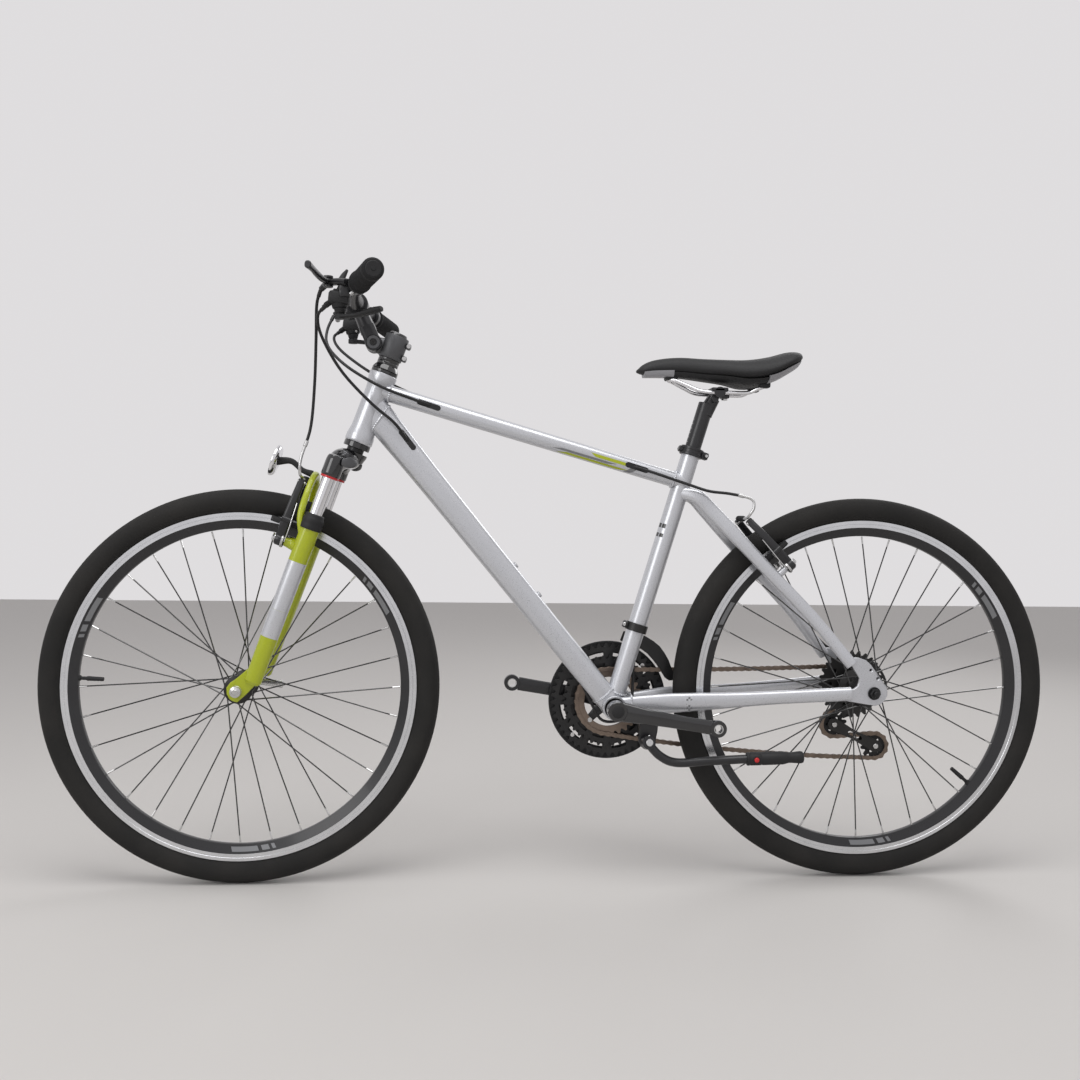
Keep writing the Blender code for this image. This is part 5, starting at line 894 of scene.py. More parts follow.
piece("stanchion_red_rings", rings, "steering", red)
inset = []
for side in (-1, 1):
    inset.append(bar([steer(-0.04, 0.006, side * 0.0733), steer(-0.0385, -0.0015, side * 0.07),
                      steer(-0.035, -0.0085, side * 0.06), steer(-0.031, -0.0125, side * 0.045)],
                     [0.0012, 0.0022, 0.003, 0.0022], [0.005, 0.0085, 0.0085, 0.0045], 20, 2.4, Y, 14, 0.001))
piece("fork_crown_grey_insets", inset, "steering", grey_cast)
print("crown pieces", len(crown))

# %% [markdown]
# The lowers slide on the chromed legs. Each has a tube, a seal at its top and a foot for the axle, and
# an arch joins the two over the tyre. They could be one mesh, but green tubes, dark seals and the
# silver panel have crisp edges between them, so each finish is a piece.

# %% Fork lowers, seals and their panel
half_arch = [(0.058, -0.172, 0.028), (0.057, -0.145, 0.04), (0.047, -0.108, 0.044), (0.029, -0.084, 0.0455)]
arch = [steer(a, o, -y) for y, a, o in half_arch] + [steer(-0.076, 0.0465)] + [steer(a, o, y) for y, a,
    o in half_arch[::-1]]
arch_high = [0.009, 0.008, 0.007, 0.0065, 0.0065, 0.0065, 0.007, 0.008, 0.009]
lowers, panels, feet = [bar(arch, 0.0055, arch_high, 28, 2.6, FORWARD, 48)], [], []
LEG_AT, LEG_WIDE, LEG_HIGH = (-0.157, -0.3, -0.424), (0.0155, 0.0155, 0.0085), (0.016, 0.015, 0.014)
foot_edge = [(-0.43, 0.013), (-0.45, 0.0215), (-0.465, 0.03), (-0.4655, 0.037), (-0.464, 0.043),
    (-0.458, 0.05),
             (-0.448, 0.054), (-0.438, 0.051), (-0.43, 0.045), (-0.405, 0.031), (-0.39, 0.02), (-0.398, 0.01)]
for side in (-1, 1):
    leg = [steer(LEG_AT[0], 0.018, side * 0.058), steer(LEG_AT[1], 0.018, side * 0.058),
        steer(LEG_AT[2], 0.018, side * 0.056)]
    lowers.append(bar(leg, list(LEG_WIDE), list(LEG_HIGH), 40, 2.2))
    lowers.append(bar([leg[2], leg[2] - UP_STEER * 0.005], [0.0085, 0.0055], [0.014, 0.01], 40, 2.2))
    lowers.append(plate(foot_edge, 0.006, at_y(HEAD_LOW, side * 0.053), UP_STEER, FORWARD,
        [disc(0.0051, 28, (-0.449, 0.0378))], 0.001))
    boss = [steer(-0.1945, 0.016, side * 0.054), steer(-0.1945, 0.036, side * 0.04),
        steer(-0.1945, 0.0515, side * 0.04)]
    lowers.append(bar(boss, [0.01, 0.0085, 0.007], [0.013, 0.01, 0.007], 28, 2.2, Y, 14))
    for (a0, a1), wide, high in (((0, 1), LEG_WIDE[:2], LEG_HIGH[:2]), ((1, 2), LEG_WIDE[1:], LEG_HIGH[1:])):
        for mirror in (-1, 1):
            turn = (radians(-78), radians(78)) if side > 0 else (radians(102), radians(258))
            reach = (0.42, 1.0) if a0 == 0 else (0.0, 0.38)
            if mirror > 0:
                panels.append(skin_patch([leg[a0], leg[a1]], list(wide), list(high), 2.2, reach, turn,
                    0.00016, (14, 20)))
piece("fork_lower_casting", lowers, "fork_lowers", lime, ["fork_lowers"], None, 34)
piece("fork_leg_silver_panels", panels, "fork_lowers", silver, (), None, 180)
piece("fork_dust_seals", seals, "fork_lowers", moulded)
print("leg panels", len(panels))

# %% [markdown]
# The front reflector is a clear prismatic lens in a thin bezel, turned as a shallow dome, on a bent
# black arm from the arch. The hub's skewer ends in a nut on one side and a cam lever on the other.

# %% Front reflector, axle and its lever
LENS = steer(-0.076, 0.112)
lens_shape = [(0.0, 0.0121), (0.006, 0.0119), (0.0064, 0.0115), (0.012, 0.011), (0.0124, 0.0106),
    (0.018, 0.0098),
              (0.0184, 0.0094), (0.0235, 0.0082), (0.024, 0.0076)]
case = [(0.0, 0.0), (0.022, 0.0), (0.025, 0.0022), (0.0264, 0.004), (0.0267, 0.0074), (0.0262, 0.0082),
    (0.025, 0.0084),
        (0.024, 0.0078), (0.0, 0.0076)]
arm = [steer(-0.076, 0.0525), steer(-0.0755, 0.07), steer(-0.068, 0.092), LENS + FORWARD * 0.002]
piece("front_reflector_case", [spin(case, LENS, FORWARD, 64, False)], "fork_lowers",
    chrome, ["front_reflector"])
piece("front_reflector_lens", [spin(lens_shape, LENS, FORWARD, 64, False)], "fork_lowers",
    glass)
piece("front_reflector_arm", [bar(arm, 0.0065, [0.006, 0.0045, 0.005, 0.007], 24, 3.0, Y, 24),
                              rod(steer(-0.0758, 0.0485), steer(-0.0758, 0.0585), 0.0042, 20)],
      "fork_lowers", moulded)
skewer = [cross_rod(FRONT_AXLE, -0.0673, 0.0573, 0.0048, 20),
    cross_rod(FRONT_AXLE, 0.0563, 0.0581, 0.0085, 28)]
nut = [(0.0, -0.066), (0.0052, -0.066), (0.006, -0.0655), (0.009, -0.064), (0.0093, -0.061), (0.0093, -0.059),
       (0.0087, -0.0585), (0.0087, -0.0575), (0.0093, -0.057), (0.009, -0.0562), (0.0, -0.0562)]
skewer.append(spin(nut, FRONT_AXLE, Y, 28, False))
piece("front_skewer", skewer, "fork_lowers", steel, ["front_axle"])
hinge = FRONT_AXLE + Vector((0, 0.0675, 0))
along, square = Vector((0.9945, 0, -0.1045)), Vector((0.1045, 0, 0.9945))
lever = [bar([hinge, hinge + along * 0.02 + Y * 0.0015, hinge + along * 0.04 + Y * 0.0008,
    hinge + along * 0.058 - Y * 0.001],
             [0.0035, 0.003, 0.0025, 0.0022], [0.0065, 0.0058, 0.0062, 0.007], 24, 2.6, Y, 20, 0.0012),
         rod(hinge - square * 0.006, hinge + square * 0.006, 0.0086, 28),
         rod(hinge - square * 0.0066, hinge + square * 0.0066, 0.003, 16)]
piece("quick_release_cam_lever", lever, "quick_release", steel, ["quick_release_lever"])
print("lens ridges", 3)

# %% [markdown]
# The adjustable stem is cast in a grey finish: a post clamps the steerer, two ears hold the pivot and
# a black arm carries the handlebar. Its pivot caps are turned with rings, as the real ones are.

# %% Stem
STEM_PIVOT, BAR_CLAMP = steer(0.1645, 0.0331), Vector((-0.344, 0, 0.967))
up_arm = (BAR_CLAMP - STEM_PIVOT).normalized()
spacer = [(0.0146, 0.1288), (0.022, 0.1288), (0.0226, 0.1296), (0.02, 0.1345), (0.0182, 0.1372),
    (0.0177, 0.1378),
          (0.0181, 0.1386), (0.0181, 0.1428), (0.0176, 0.1434), (0.0181, 0.144), (0.0181, 0.1488),
              (0.0172, 0.1496),
          (0.0146, 0.1496)]
piece("headset_spacer_stack", [spin(spacer, HEAD_LOW, UP_STEER, 48)], "steering",
    gloss_black, ["headset_spacers"])
base = [spin([(0.015, 0.1496), (0.0192, 0.1496), (0.02, 0.1506), (0.02, 0.1885), (0.0196, 0.1895),
    (0.015, 0.19)],
             HEAD_LOW, UP_STEER, 48),
        bar([steer(0.166, 0.01), STEM_PIVOT], 0.0085, [0.0155, 0.0125], 28, 2.6, Y, 10),
        cross_rod(STEM_PIVOT, -0.0088, 0.0088, 0.014, 40)]
bolts = []
for k in (0, 1):
    ear = steer(0.158 + k * 0.022, -0.0225)
    base.append(brick(ear, (0.0092, 0.02, 0.0085), UP_STEER, soft=0.003))
    bolts.append(cross_rod(ear - FORWARD * 0.0005, -0.0112, 0.0112, 0.0026, 16))
    bolts.append(cross_rod(ear - FORWARD * 0.0005, -0.0118, -0.0098, 0.0039, 20))
piece("stem_casting", base, "steering", grey_cast, ["stem_base"])
piece("stem_clamp_bolts", bolts, "steering", steel)
lid = [(0.0, 0.1958), (0.004, 0.1958), (0.0044, 0.1948), (0.013, 0.195), (0.0146, 0.1942), (0.016, 0.1905),
       (0.0163, 0.1885), (0.0, 0.1885)]
piece("stem_top_cap", [spin(lid, HEAD_LOW, UP_STEER, 48, False)], "steering", gloss_black)
arm, caps, discs = [], [], []
for side in (-1, 1):
    edge = [(0.0, 0.009), (0.0136, 0.009), (0.0141, 0.01), (0.0141, 0.0185), (0.0134, 0.02), (0.0118, 0.0202),
            (0.0112, 0.0196), (0.0, 0.0196)]
    arm.append(spin([(r, a * side) for r, a in edge], STEM_PIVOT, Y, 48, False))
    arm.append(bar([STEM_PIVOT + Y * side * 0.0145, STEM_PIVOT + Y * side * 0.014 + up_arm * 0.03], 0.0054,
        [0.013, 0.0128], 28, 3.0))
    for low, high in ((0.0195, 0.0206),):
        discs.append(spin([(0.0111, side * low), (0.0109, side * high), (0.0062, side * high),
            (0.006, side * low)], STEM_PIVOT, Y, 40))
    caps.append(spin([(0.0, side * 0.0196), (0.0044, side * 0.0196), (0.0042, side * 0.021),
        (0.0022, side * 0.021),
                      (0.002, side * 0.02), (0.0, side * 0.02)], STEM_PIVOT, Y, 24, False))
arm.append(bar([STEM_PIVOT + up_arm * 0.0215, STEM_PIVOT + up_arm * 0.04, BAR_CLAMP], [0.0195, 0.019, 0.017],
               [0.014, 0.013, 0.012], 36, 2.6, Y, 16))
clamp = [(0.0128, -0.02), (0.0176, -0.02), (0.0185, -0.019), (0.0185, 0.019), (0.0176, 0.02), (0.0128, 0.02)]
arm.append(spin(clamp, BAR_CLAMP, Y, 48))
for y in (-0.0125, 0.0125):
    for lift in (-1, 1):
        spot = BAR_CLAMP + FORWARD * 0.0 + Vector((-0.0125, y, 0.013 * lift))
        arm.append(brick(spot, (0.013, 0.009, 0.008), (1, 0, 0), soft=0.0022))
        bolts.append(rod(spot - Vector((0.0085, 0, 0)), spot - Vector((0.0055, 0, 0)), 0.003, 16))
piece("stem_arm_body", arm, "stem_arm", anodised, ["stem_arm"])
piece("stem_pivot_discs", discs, "stem_arm", grey_cast)
piece("stem_pivot_screws", caps, "stem_arm", steel_dark)
print("stem length", round((BAR_CLAMP - STEM_PIVOT).length, 4))

# %% [markdown]
# The handlebar is a swept tube, thicker where the stem holds it. One function says where it runs, so
# grips and clamps follow the sweep. The grips are ribbed by swelling and shrinking the section along
# that line, with a raised flange inboard and a rounded end outboard.

# %% Handlebar and grips
HALF_BAR = [(0, 0, 0), (0, 0.035, 0), (0.0005, 0.075, 0.004), (0.006, 0.115, 0.008), (0.015, 0.16, 0.007),
            (0.029, 0.22, 0.005), (0.0421, 0.278, 0.0031)]
BAR_LINE = eased(HALF_BAR, 90)


def on_bar(y):
    """The handlebar's centre at a distance from the middle."""
    for a, b in zip(BAR_LINE, BAR_LINE[1:]):
        if abs(y) <= b[1]:
            break
    t = (abs(y) - a[1]) / (b[1] - a[1])
    return BAR_CLAMP + Vector((a[0] + (b[0] - a[0]) * t, y, a[2] + (b[2] - a[2]) * t))


ys = [-0.278 + 0.556 * i / 92 for i in range(93)]
thick = [0.0111 + 0.0016 * min(1, max(0, (0.05 - abs(y)) / 0.015)) for y in ys]
piece("handlebar_tube", [bar([on_bar(y) for y in ys], thick, thick, 28, 2.0, (0, 0, 1))], "stem_arm",
      anodised, ["handlebar"])
for name, side in SIDES.items():
    rows, sizes = [], []
    for i in range(121):
        y = 0.164 + 0.1195 * i / 120
        size = 0.016 + 0.0006 * cos(tau * (y - 0.172) / 0.0048)
        if y < 0.169:
            size = 0.0177
        elif y < 0.172:
            size = 0.0152
        elif y > 0.27:
            size = 0.0166 - 0.0034 * max(0.0, (y - 0.2785) / 0.005) ** 2
        rows.append(on_bar(side * y))
        sizes.append(size)
    rubber = [bar(rows, sizes, sizes, 40, 2.0, (0, 0, 1))]
    piece(f"grip_{name}_rubber", rubber, "stem_arm", grip_skin, [f"grip_{name}"], None, 32)
    tip, way = on_bar(side * 0.2836), (on_bar(side * 0.2836) - on_bar(side * 0.278)).normalized()
    plug = spin([(0.0, 0.0012), (0.003, 0.0012), (0.0034, 0.0004), (0.011, 0.0006), (0.0125, -0.0006),
        (0.0, -0.001)], tip, way, 36, False)
    piece(f"grip_{name}_plug", [plug], "stem_arm", moulded)
print("ribs per grip", 20)

# %% [markdown]
# Each side carries a brake lever on its bracket and a shifter pod under it: a clamp band, a boxy pod
# with a window, a threaded cable barrel, a thumb paddle below and a small release trigger above.
# All of it is built for one side and mirrored by the sign of y.

# %% Levers, pods and triggers
UP = Vector((0, 0, 1))
POD_ALONG = Vector((1, 0, -0.1)).normalized()
for name, side in SIDES.items():
    def at(x, y, z):
        return Vector((x, side * y, z))

    middle, way = on_bar(side * 0.148), (on_bar(side * 0.154) - on_bar(side * 0.142)).normalized() * side
    band = [(0.0113, -0.0065), (0.0156, -0.0065), (0.0165, -0.0056), (0.0165, 0.0056), (0.0156, 0.0065),
        (0.0113, 0.0065)]
    bracket = [spin(band, middle, way, 40),
               bar([at(-0.348, 0.147, 0.976), at(-0.363, 0.135, 0.979), at(-0.38, 0.122, 0.98)],
                   [0.0056, 0.0052, 0.005],
                   [0.009, 0.0085, 0.0085], 28, 3.0, UP, 14, 0.0015),
               rod(at(-0.38, 0.128, 0.98) - UP * 0.0088, at(-0.38, 0.128, 0.98) - UP * 0.0053, 0.0078, 28),
               rod(at(-0.38, 0.128, 0.98) + UP * 0.0053, at(-0.38, 0.128, 0.98) + UP * 0.0088, 0.0078, 28),
               rod(at(-0.386, 0.118, 0.976), at(-0.3925, 0.1125, 0.9705), 0.0052, 20, 0.0046),
               brick(at(-0.353, 0.14, 0.964), (0.0176, 0.011, 0.02), (1, 0, 0), soft=0.0035)]
    pod = [brick(at(-0.362, 0.128, 0.9545), (0.0335, 0.03, 0.0195), POD_ALONG, soft=0.005),
           brick(at(-0.36, 0.129, 0.965), (0.022, 0.02, 0.004), POD_ALONG, soft=0.0018),
           rod(at(-0.362, 0.128, 0.947), at(-0.3612, 0.128, 0.9395), 0.0128, 36, 0.0118),
           rod(at(-0.3612, 0.128, 0.9395), at(-0.361, 0.128, 0.9312), 0.0098, 32, 0.0078),
           rod(at(-0.368, 0.119, 0.958), at(-0.361, 0.116, 0.9772), 0.0052, 20, 0.0042)]
    barrel = [(0.0, 0.0), (0.005, 0.0)] + [(0.0044 + 0.0006 * (i % 2),
        0.0012 * i + 0.0006) for i in range(8)] + [(0.0036, 0.0104), (0.003, 0.015), (0.0, 0.015)]
    cable_side = at(-0.376, 0.127, 0.949)
    barrels = [spin(barrel, cable_side, Vector((-0.8, 0, -0.6)), 20, False)]
    screws = [rod(at(-0.38, 0.128, 0.98) + UP * 0.0088, at(-0.38, 0.128, 0.98) + UP * 0.0094, 0.0042, 20),
              rod(middle + Vector((-0.013, 0, -0.017)), middle + Vector((-0.0075, 0, -0.013)), 0.0034, 16),
              rod(at(-0.356, 0.12, 0.944), at(-0.356, 0.117, 0.943), 0.0028, 14)]
    piece(f"lever_bracket_{name}_casting", bracket, "stem_arm", anodised,
        [f"lever_bracket_{name}"])
    piece(f"shifter_pod_{name}", pod, "stem_arm", moulded)
    piece(f"cable_barrel_{name}", barrels, "stem_arm", moulded)
    piece(f"bracket_screws_{name}", screws, "stem_arm", steel)
    ticks = [brick(at(-0.372 + 0.0034 * k, 0.129, 0.9672), (0.0008, 0.006, 0.0004), POD_ALONG,
        soft=0.0001) for k in range(7)]
    piece(f"gear_window_marks_{name}", ticks, "stem_arm", decal_white)
    pivot = at(-0.38, 0.128, 0.98)
    blade_path = [pivot, at(-0.387, 0.15, 0.98), at(-0.392, 0.18, 0.9815), at(-0.395, 0.21, 0.9825),
        at(-0.3985, 0.236, 0.983)]
    blade = [bar(blade_path, [0.0044, 0.0044, 0.005, 0.005, 0.0058], [0.006, 0.0055, 0.0045, 0.004, 0.005],
        28, 2.4, UP, 36, 0.0016),
             rod(pivot - UP * 0.0046, pivot + UP * 0.0046, 0.0072, 28)]
    piece(f"brake_blade_{name}", blade, f"brake_lever_{name}", anodised,
        [f"brake_lever_{name}"])
    pivot = at(-0.361, 0.128, 0.9305)
    paddle_path = [pivot - UP * 0.004, at(-0.334, 0.142, 0.927), at(-0.308, 0.16, 0.9315),
        at(-0.296, 0.168, 0.9335)]
    paddle = [bar(paddle_path, [0.0035, 0.0036, 0.0046, 0.0042], [0.008, 0.0066, 0.0084, 0.006], 28, 2.6,
        UP, 26, 0.0015),
              rod(pivot - UP * 0.008, pivot - UP * 0.0003, 0.0085, 32)]
    ridges = [brick(at(-0.3205 + 0.0042 * k, 0.1515 + 0.0028 * k, 0.9335 + 0.0006 * k),
        (0.0014, 0.012, 0.0012), (0.83, side * 0.55, 0), soft=0.0004) for k in range(5)]
    piece(f"thumb_paddle_{name}", paddle, f"shift_lever_{name}", moulded,
        [f"shift_lever_{name}"])
    piece(f"thumb_paddle_{name}_ridges", ridges, f"shift_lever_{name}", moulded)
    pivot = at(-0.361, 0.116, 0.9855)
    trigger = [bar([pivot, at(-0.357, 0.113, 0.994), at(-0.352, 0.112, 1.002)], [0.0045, 0.0045, 0.003],
        [0.005, 0.004, 0.002], 24, 2.4, Y, 16, 0.0006),
               cross_rod(pivot, pivot.y - 0.004, pivot.y + 0.004, 0.0032, 18)]
    piece(f"release_trigger_{name}_fin", trigger, f"release_trigger_{name}", moulded,
        [f"release_trigger_{name}"])
piece("stem_face_bolts", [b for b in bolts[4:]], "stem_arm", steel)
print("cockpit pieces", len(MADE))

# %% [markdown]
# The saddle is a padded vinyl cover over a grey moulded base, on two chromed rails. Its top has to be
# smooth from the nose to the wings, so the section is lofted along eased stations and subdivided.
# The base shows under the nose and under the wings, and a darker skirt closes the middle.

# %% Saddle
STATIONS = [(0.13, 0.008, 0.872, 0.866), (0.14, 0.017, 0.881, 0.8635), (0.16, 0.02, 0.889, 0.864),
            (0.2, 0.022, 0.8945, 0.864), (0.24, 0.028, 0.894, 0.86), (0.28, 0.042, 0.893, 0.856),
            (0.315, 0.06, 0.893, 0.85), (0.35, 0.074, 0.898, 0.854), (0.38, 0.076, 0.906, 0.87),
            (0.398, 0.062, 0.906, 0.882), (0.406, 0.038, 0.901, 0.89)]


def cushion(sides=28, count=44):
    rows = eased(STATIONS, count)
    nose, tail = rows[0], rows[-1]
    rows.insert(0, [nose[0] - 0.0022, nose[1] * 0.55, nose[2] - 0.0012, nose[3] + 0.001])
    rows.append([tail[0] + 0.0022, tail[1] * 0.6, tail[2] - 0.0022, tail[3] + 0.0022])
    verts, faces = [], []
    for x, wide, high, low in rows:
        for k in range(sides):
            a = tau * (k + 0.5) / sides
            rise = sin(a)
            across = abs(cos(a)) ** 0.86 * (1 if cos(a) > 0 else -1)
            middle = low + (high - low) * 0.35
            z = middle + (high - middle) * rise if rise > 0 else middle + (middle - low) * rise
            dip = 0.0016 * max(0.0, rise) ** 6 * min(1.0, max(0.0, (x - 0.18) / 0.06))
            verts.append(Vector((x, wide * across * (1.0 if rise > 0 else 1.0 - 0.18 * rise * rise),
                z - dip)))
    for i in range(len(rows) - 1):
        for k in range(sides):
            j = (k + 1) % sides
            faces.append((i * sides + k, i * sides + j, (i + 1) * sides + j, (i + 1) * sides + k))
    faces += [tuple(range(sides))[::-1], tuple(range((len(rows) - 1) * sides, len(rows) * sides))]
    return verts, faces


def base_part(start, end, wide_share, lift, count=18):
    """The moulded base between two stations, an open tray with a raised lip."""
    verts, faces, n = [], [], 8
    rows = [row for row in eased(STATIONS, 120) if start <= row[0] <= end][::3]
    for x, wide, high, low in rows:
        w, up = wide * wide_share, (high - low) * lift
        for y, z in ((-w, up), (-w * 0.9, 0.0), (-w * 0.66, -0.0042), (w * 0.66, -0.0042), (w * 0.9, 0.0),
            (w, up),
                     (w * 0.8, up + 0.002), (-w * 0.8, up + 0.002)):
            verts.append(Vector((x, y, low + z)))
    for i in range(len(rows) - 1):
        for k in range(n):
            j = (k + 1) % n
            faces.append((i * n + k, i * n + j, (i + 1) * n + j, (i + 1) * n + k))
    faces += [tuple(range(n))[::-1], tuple(range((len(rows) - 1) * n, len(rows) * n))]
    return verts, faces


padding = piece("saddle_cushion", [cushion()], "saddle", cover, ["saddle_cover"], None, 180,
    1)
piece("saddle_base_light", [base_part(0.139, 0.193, 0.93, 0.2), base_part(0.342, 0.399, 0.93, 0.16)],
    "saddle",
      shell_grey, ["saddle_shell"], None, 50)
piece("saddle_base_dark", [base_part(0.19, 0.345, 0.86, 0.12)], "saddle", moulded, (), None,
    50)
half = [(0.34, 0.034, 0.8438), (0.33, 0.03, 0.84), (0.3166, 0.0235, 0.8345), (0.29, 0.022, 0.834),
        (0.24, 0.022, 0.835), (0.215, 0.018, 0.844), (0.193, 0.012, 0.8538), (0.185, 0.005, 0.8553)]
rail = [(x, -y, z) for x, y, z in half] + half[::-1]
feet = [brick((0.342, side * 0.0345, 0.8475), (0.019, 0.015, 0.012), soft=0.0035) for side in (-1, 1)]
feet.append(brick((0.188, 0, 0.859), (0.02, 0.024, 0.009), soft=0.003))
piece("saddle_rail_wires", [wire(rail, 0.0035, 16, 96)], "saddle", chrome, ["saddle_rails"])
piece("saddle_rail_sockets", feet, "saddle", moulded)
SEAT_HEAD = Vector((0.268, 0, 0.834))
neck = seat(0.526, 0.002)
leaning = (SEAT_HEAD - neck).normalized()
jaw = [cross_rod(SEAT_HEAD, -0.028, 0.028, 0.0095, 36), brick(SEAT_HEAD + UP * 0.0046,
    (0.029, 0.056, 0.0072), soft=0.0026),
       brick(SEAT_HEAD + Vector((0.014, 0, -0.004)), (0.014, 0.02, 0.009), soft=0.0026)]
piece("seat_clamp_jaws", jaw, "saddle", anodised)
piece("seat_clamp_bolt", [rod(SEAT_HEAD + Vector((0.014, 0, -0.0102)),
    SEAT_HEAD + Vector((0.014, 0, 0.011)), 0.0036, 16),
                          rod(SEAT_HEAD + Vector((0.014, 0, -0.0112)),
                              SEAT_HEAD + Vector((0.014, 0, -0.0084)), 0.0052, 6)],
      "saddle", steel)
post = [rod(seat(0.342), seat(0.542), 0.0136, 40),
        bar([neck - UP_SEAT * 0.004, neck, SEAT_HEAD - leaning * 0.01], [0.0136, 0.0132, 0.0125],
            [0.0136, 0.0132, 0.0108], 32, 2.5, Y, 12),
        cross_rod(SEAT_HEAD - leaning * 0.0125, -0.02, 0.02, 0.0058, 24)]
piece("seat_post_tube", post, "seatpost", anodised, ["seatpost"])
ticks = []
for k in range(6):
    along = 0.47 + 0.008 * k
    ticks.append(skin_patch([seat(along), seat(along + 0.0008)], [0.0136] * 2, [0.0136] * 2, 2.0, (0, 1),
                            (radians(250), radians(275 if k % 3 else 290)), 0.0001, (1, 8)))
piece("seat_post_height_marks", ticks, "seatpost", decal_white, (), None, 180)
print("saddle length", round(0.406 - 0.13, 3))

# %% [markdown]
# A linear-pull brake has two arms on bosses, a pad on each, a return spring outside each boss, and a
# cable joining the two tips: a bent metal guide on the left tip, a rubber bellows between, an anchor
# bolt on the right tip. The arms are slim castings with a rib, so each is a tapered section and a boss.

# %% Brakes


def brake(end, foot, up, out):
    for name, side in SIDES.items():
        body_name = f"{end}_brake_{name}"
        pivot = foot + Y * (side * 0.04)
        arm_path = [pivot + Y * (side * 0.003) + up * 0.006, pivot + up * 0.035 + Y * (side * 0.0075),
                    pivot + up * 0.07 + Y * (side * 0.0065), pivot + up * 0.104 - Y * (side * 0.004)]
        sleeve = [(0.0051, -0.008), (0.0092, -0.008), (0.0098, -0.0072), (0.0098, 0.005), (0.0088, 0.0062),
            (0.0088, 0.007), (0.0051, 0.007)]
        shapes = [spin(sleeve, pivot, out, 32),
                  bar(arm_path, [0.0045, 0.0045, 0.004, 0.004], [0.0085, 0.0078, 0.0065, 0.006], 28, 2.6, Y,
                      28, 0.001),
                  rod(arm_path[1] - out * 0.0075 + Y * (side * 0.0012),
                      arm_path[1] + out * 0.0075 + Y * (side * 0.0012), 0.0052, 20)]
        piece(f"{end}_brake_arm_casting_{name}", shapes, body_name, anodised,
            [f"{end}_brake_arm_{name}"])
        pad_at = at_y(pivot + up * 0.028, side * 0.019)
        along = Y.cross(up).normalized()
        pad = [brick(pad_at - Y * (side * 0.0019), (0.056, 0.005, 0.0098), along, Y, 0.0016)]
        holder = [brick(pad_at + Y * (side * 0.0022), (0.05, 0.0042, 0.0088), along, Y, 0.0018)]
        piece(f"{end}_brake_pad_{name}", pad + holder, body_name, moulded)
        bolt_at = at_y(pivot + up * 0.028, 0)
        stack = [(0.0, 0.0205), (0.004, 0.0205), (0.004, 0.027), (0.0072, 0.0275), (0.0076, 0.03),
            (0.006, 0.0325),
                 (0.006, 0.0335), (0.0078, 0.035), (0.0078, 0.0375), (0.0062, 0.0392), (0.0062, 0.0402),
                     (0.0074, 0.0407),
                 (0.0074, 0.0422), (0.0066, 0.0428), (0.0062, 0.0492), (0.004, 0.05), (0.003, 0.0496),
                     (0.0, 0.048)]
        pivot_bolt = [rod(pivot + out * 0.0069, pivot + out * 0.0092, 0.0072, 24),
            rod(pivot + out * 0.009, pivot + out * 0.0128, 0.0046, 6)]
        metal = [spin([(r, side * y) for r, y in stack], bolt_at, Y, 24, False), *pivot_bolt]
        coil = []
        for k in range(61):
            a = tau * 3 * k / 60
            coil.append(pivot - out * (0.0072 - 0.0036 * k / 60) + (up * cos(a) + Y * sin(a)) * 0.0106)
        spring_leg = [pivot - out * 0.009 + Y * (side * 0.0098),
            pivot - out * 0.0095 + up * 0.02 + Y * (side * 0.0128),
                      pivot - out * 0.0085 + up * 0.045 + Y * (side * 0.0135),
                          pivot - out * 0.007 + up * 0.066 + Y * (side * 0.0108)]
        metal += [wire(coil, 0.0008, 8), wire(spring_leg, 0.0009, 8, 16),
                  rod(pivot + up * 0.1 - out * 0.0066 - Y * (side * 0.0035),
                      pivot + up * 0.1 + out * 0.0066 - Y * (side * 0.0035), 0.0036, 16)]
        piece(f"{end}_brake_bolts_{name}", metal, body_name, steel)


UP_REAR, OUT_REAR = Vector((-0.687, 0, 0.727)), Vector((0.727, 0, 0.687))
brake("front", steer(-0.1945, 0.06), UP_STEER, FORWARD)
brake("rear", Vector((0.3651, 0, 0.5192)) + OUT_REAR * 0.0335, UP_REAR, OUT_REAR)
print("brake arms", 4)

# %% [markdown]
# The kickstand folds about a pin under the bracket. Its foot slides out of the leg and is held by the
# red button, so the rubber foot is turned as one sleeve with grooves and a flared toe.

# %% Kickstand
PIVOT, STAND_AXIS = Vector((0.1488, -0.0495, 0.2422)), Vector((-0.164, 0.965, -0.203)).normalized()
cheek = [(0.137, 0.283), (0.169, 0.283), (0.1675, 0.26), (0.164, 0.242), (0.16, 0.233), (0.1488, 0.229),
         (0.14, 0.233), (0.136, 0.242), (0.1362, 0.262)]
bracket = [brick((0.154, -0.006, 0.2826), (0.038, 0.069, 0.006), soft=0.0018),
    plate(cheek, 0.011, (0, -0.035, 0), edge=0.0018),
           rod(PIVOT - STAND_AXIS * 0.0098, PIVOT + STAND_AXIS * 0.017, 0.0042, 24),
               rod((0.153, 0, 0.279), (0.153, 0, 0.302), 0.005, 20)]
piece("kickstand_mount", bracket, "frame", anodised, ["kickstand_bracket"])
piece("kickstand_screws", [rod(PIVOT - STAND_AXIS * 0.0118, PIVOT - STAND_AXIS * 0.0096, 0.0062, 24),
                           rod((0.153, 0, 0.2755), (0.153, 0, 0.28), 0.0066, 6),
                           rod((0.153, -0.0355, 0.25), (0.153, -0.0425, 0.25), 0.0032, 16)], "frame",
                               steel)
leg = [PIVOT, (0.17, -0.0495, 0.22), (0.1982, -0.05, 0.2085), (0.25, -0.051, 0.211), (0.32, -0.06, 0.2165),
    (0.362, -0.064, 0.2185)]
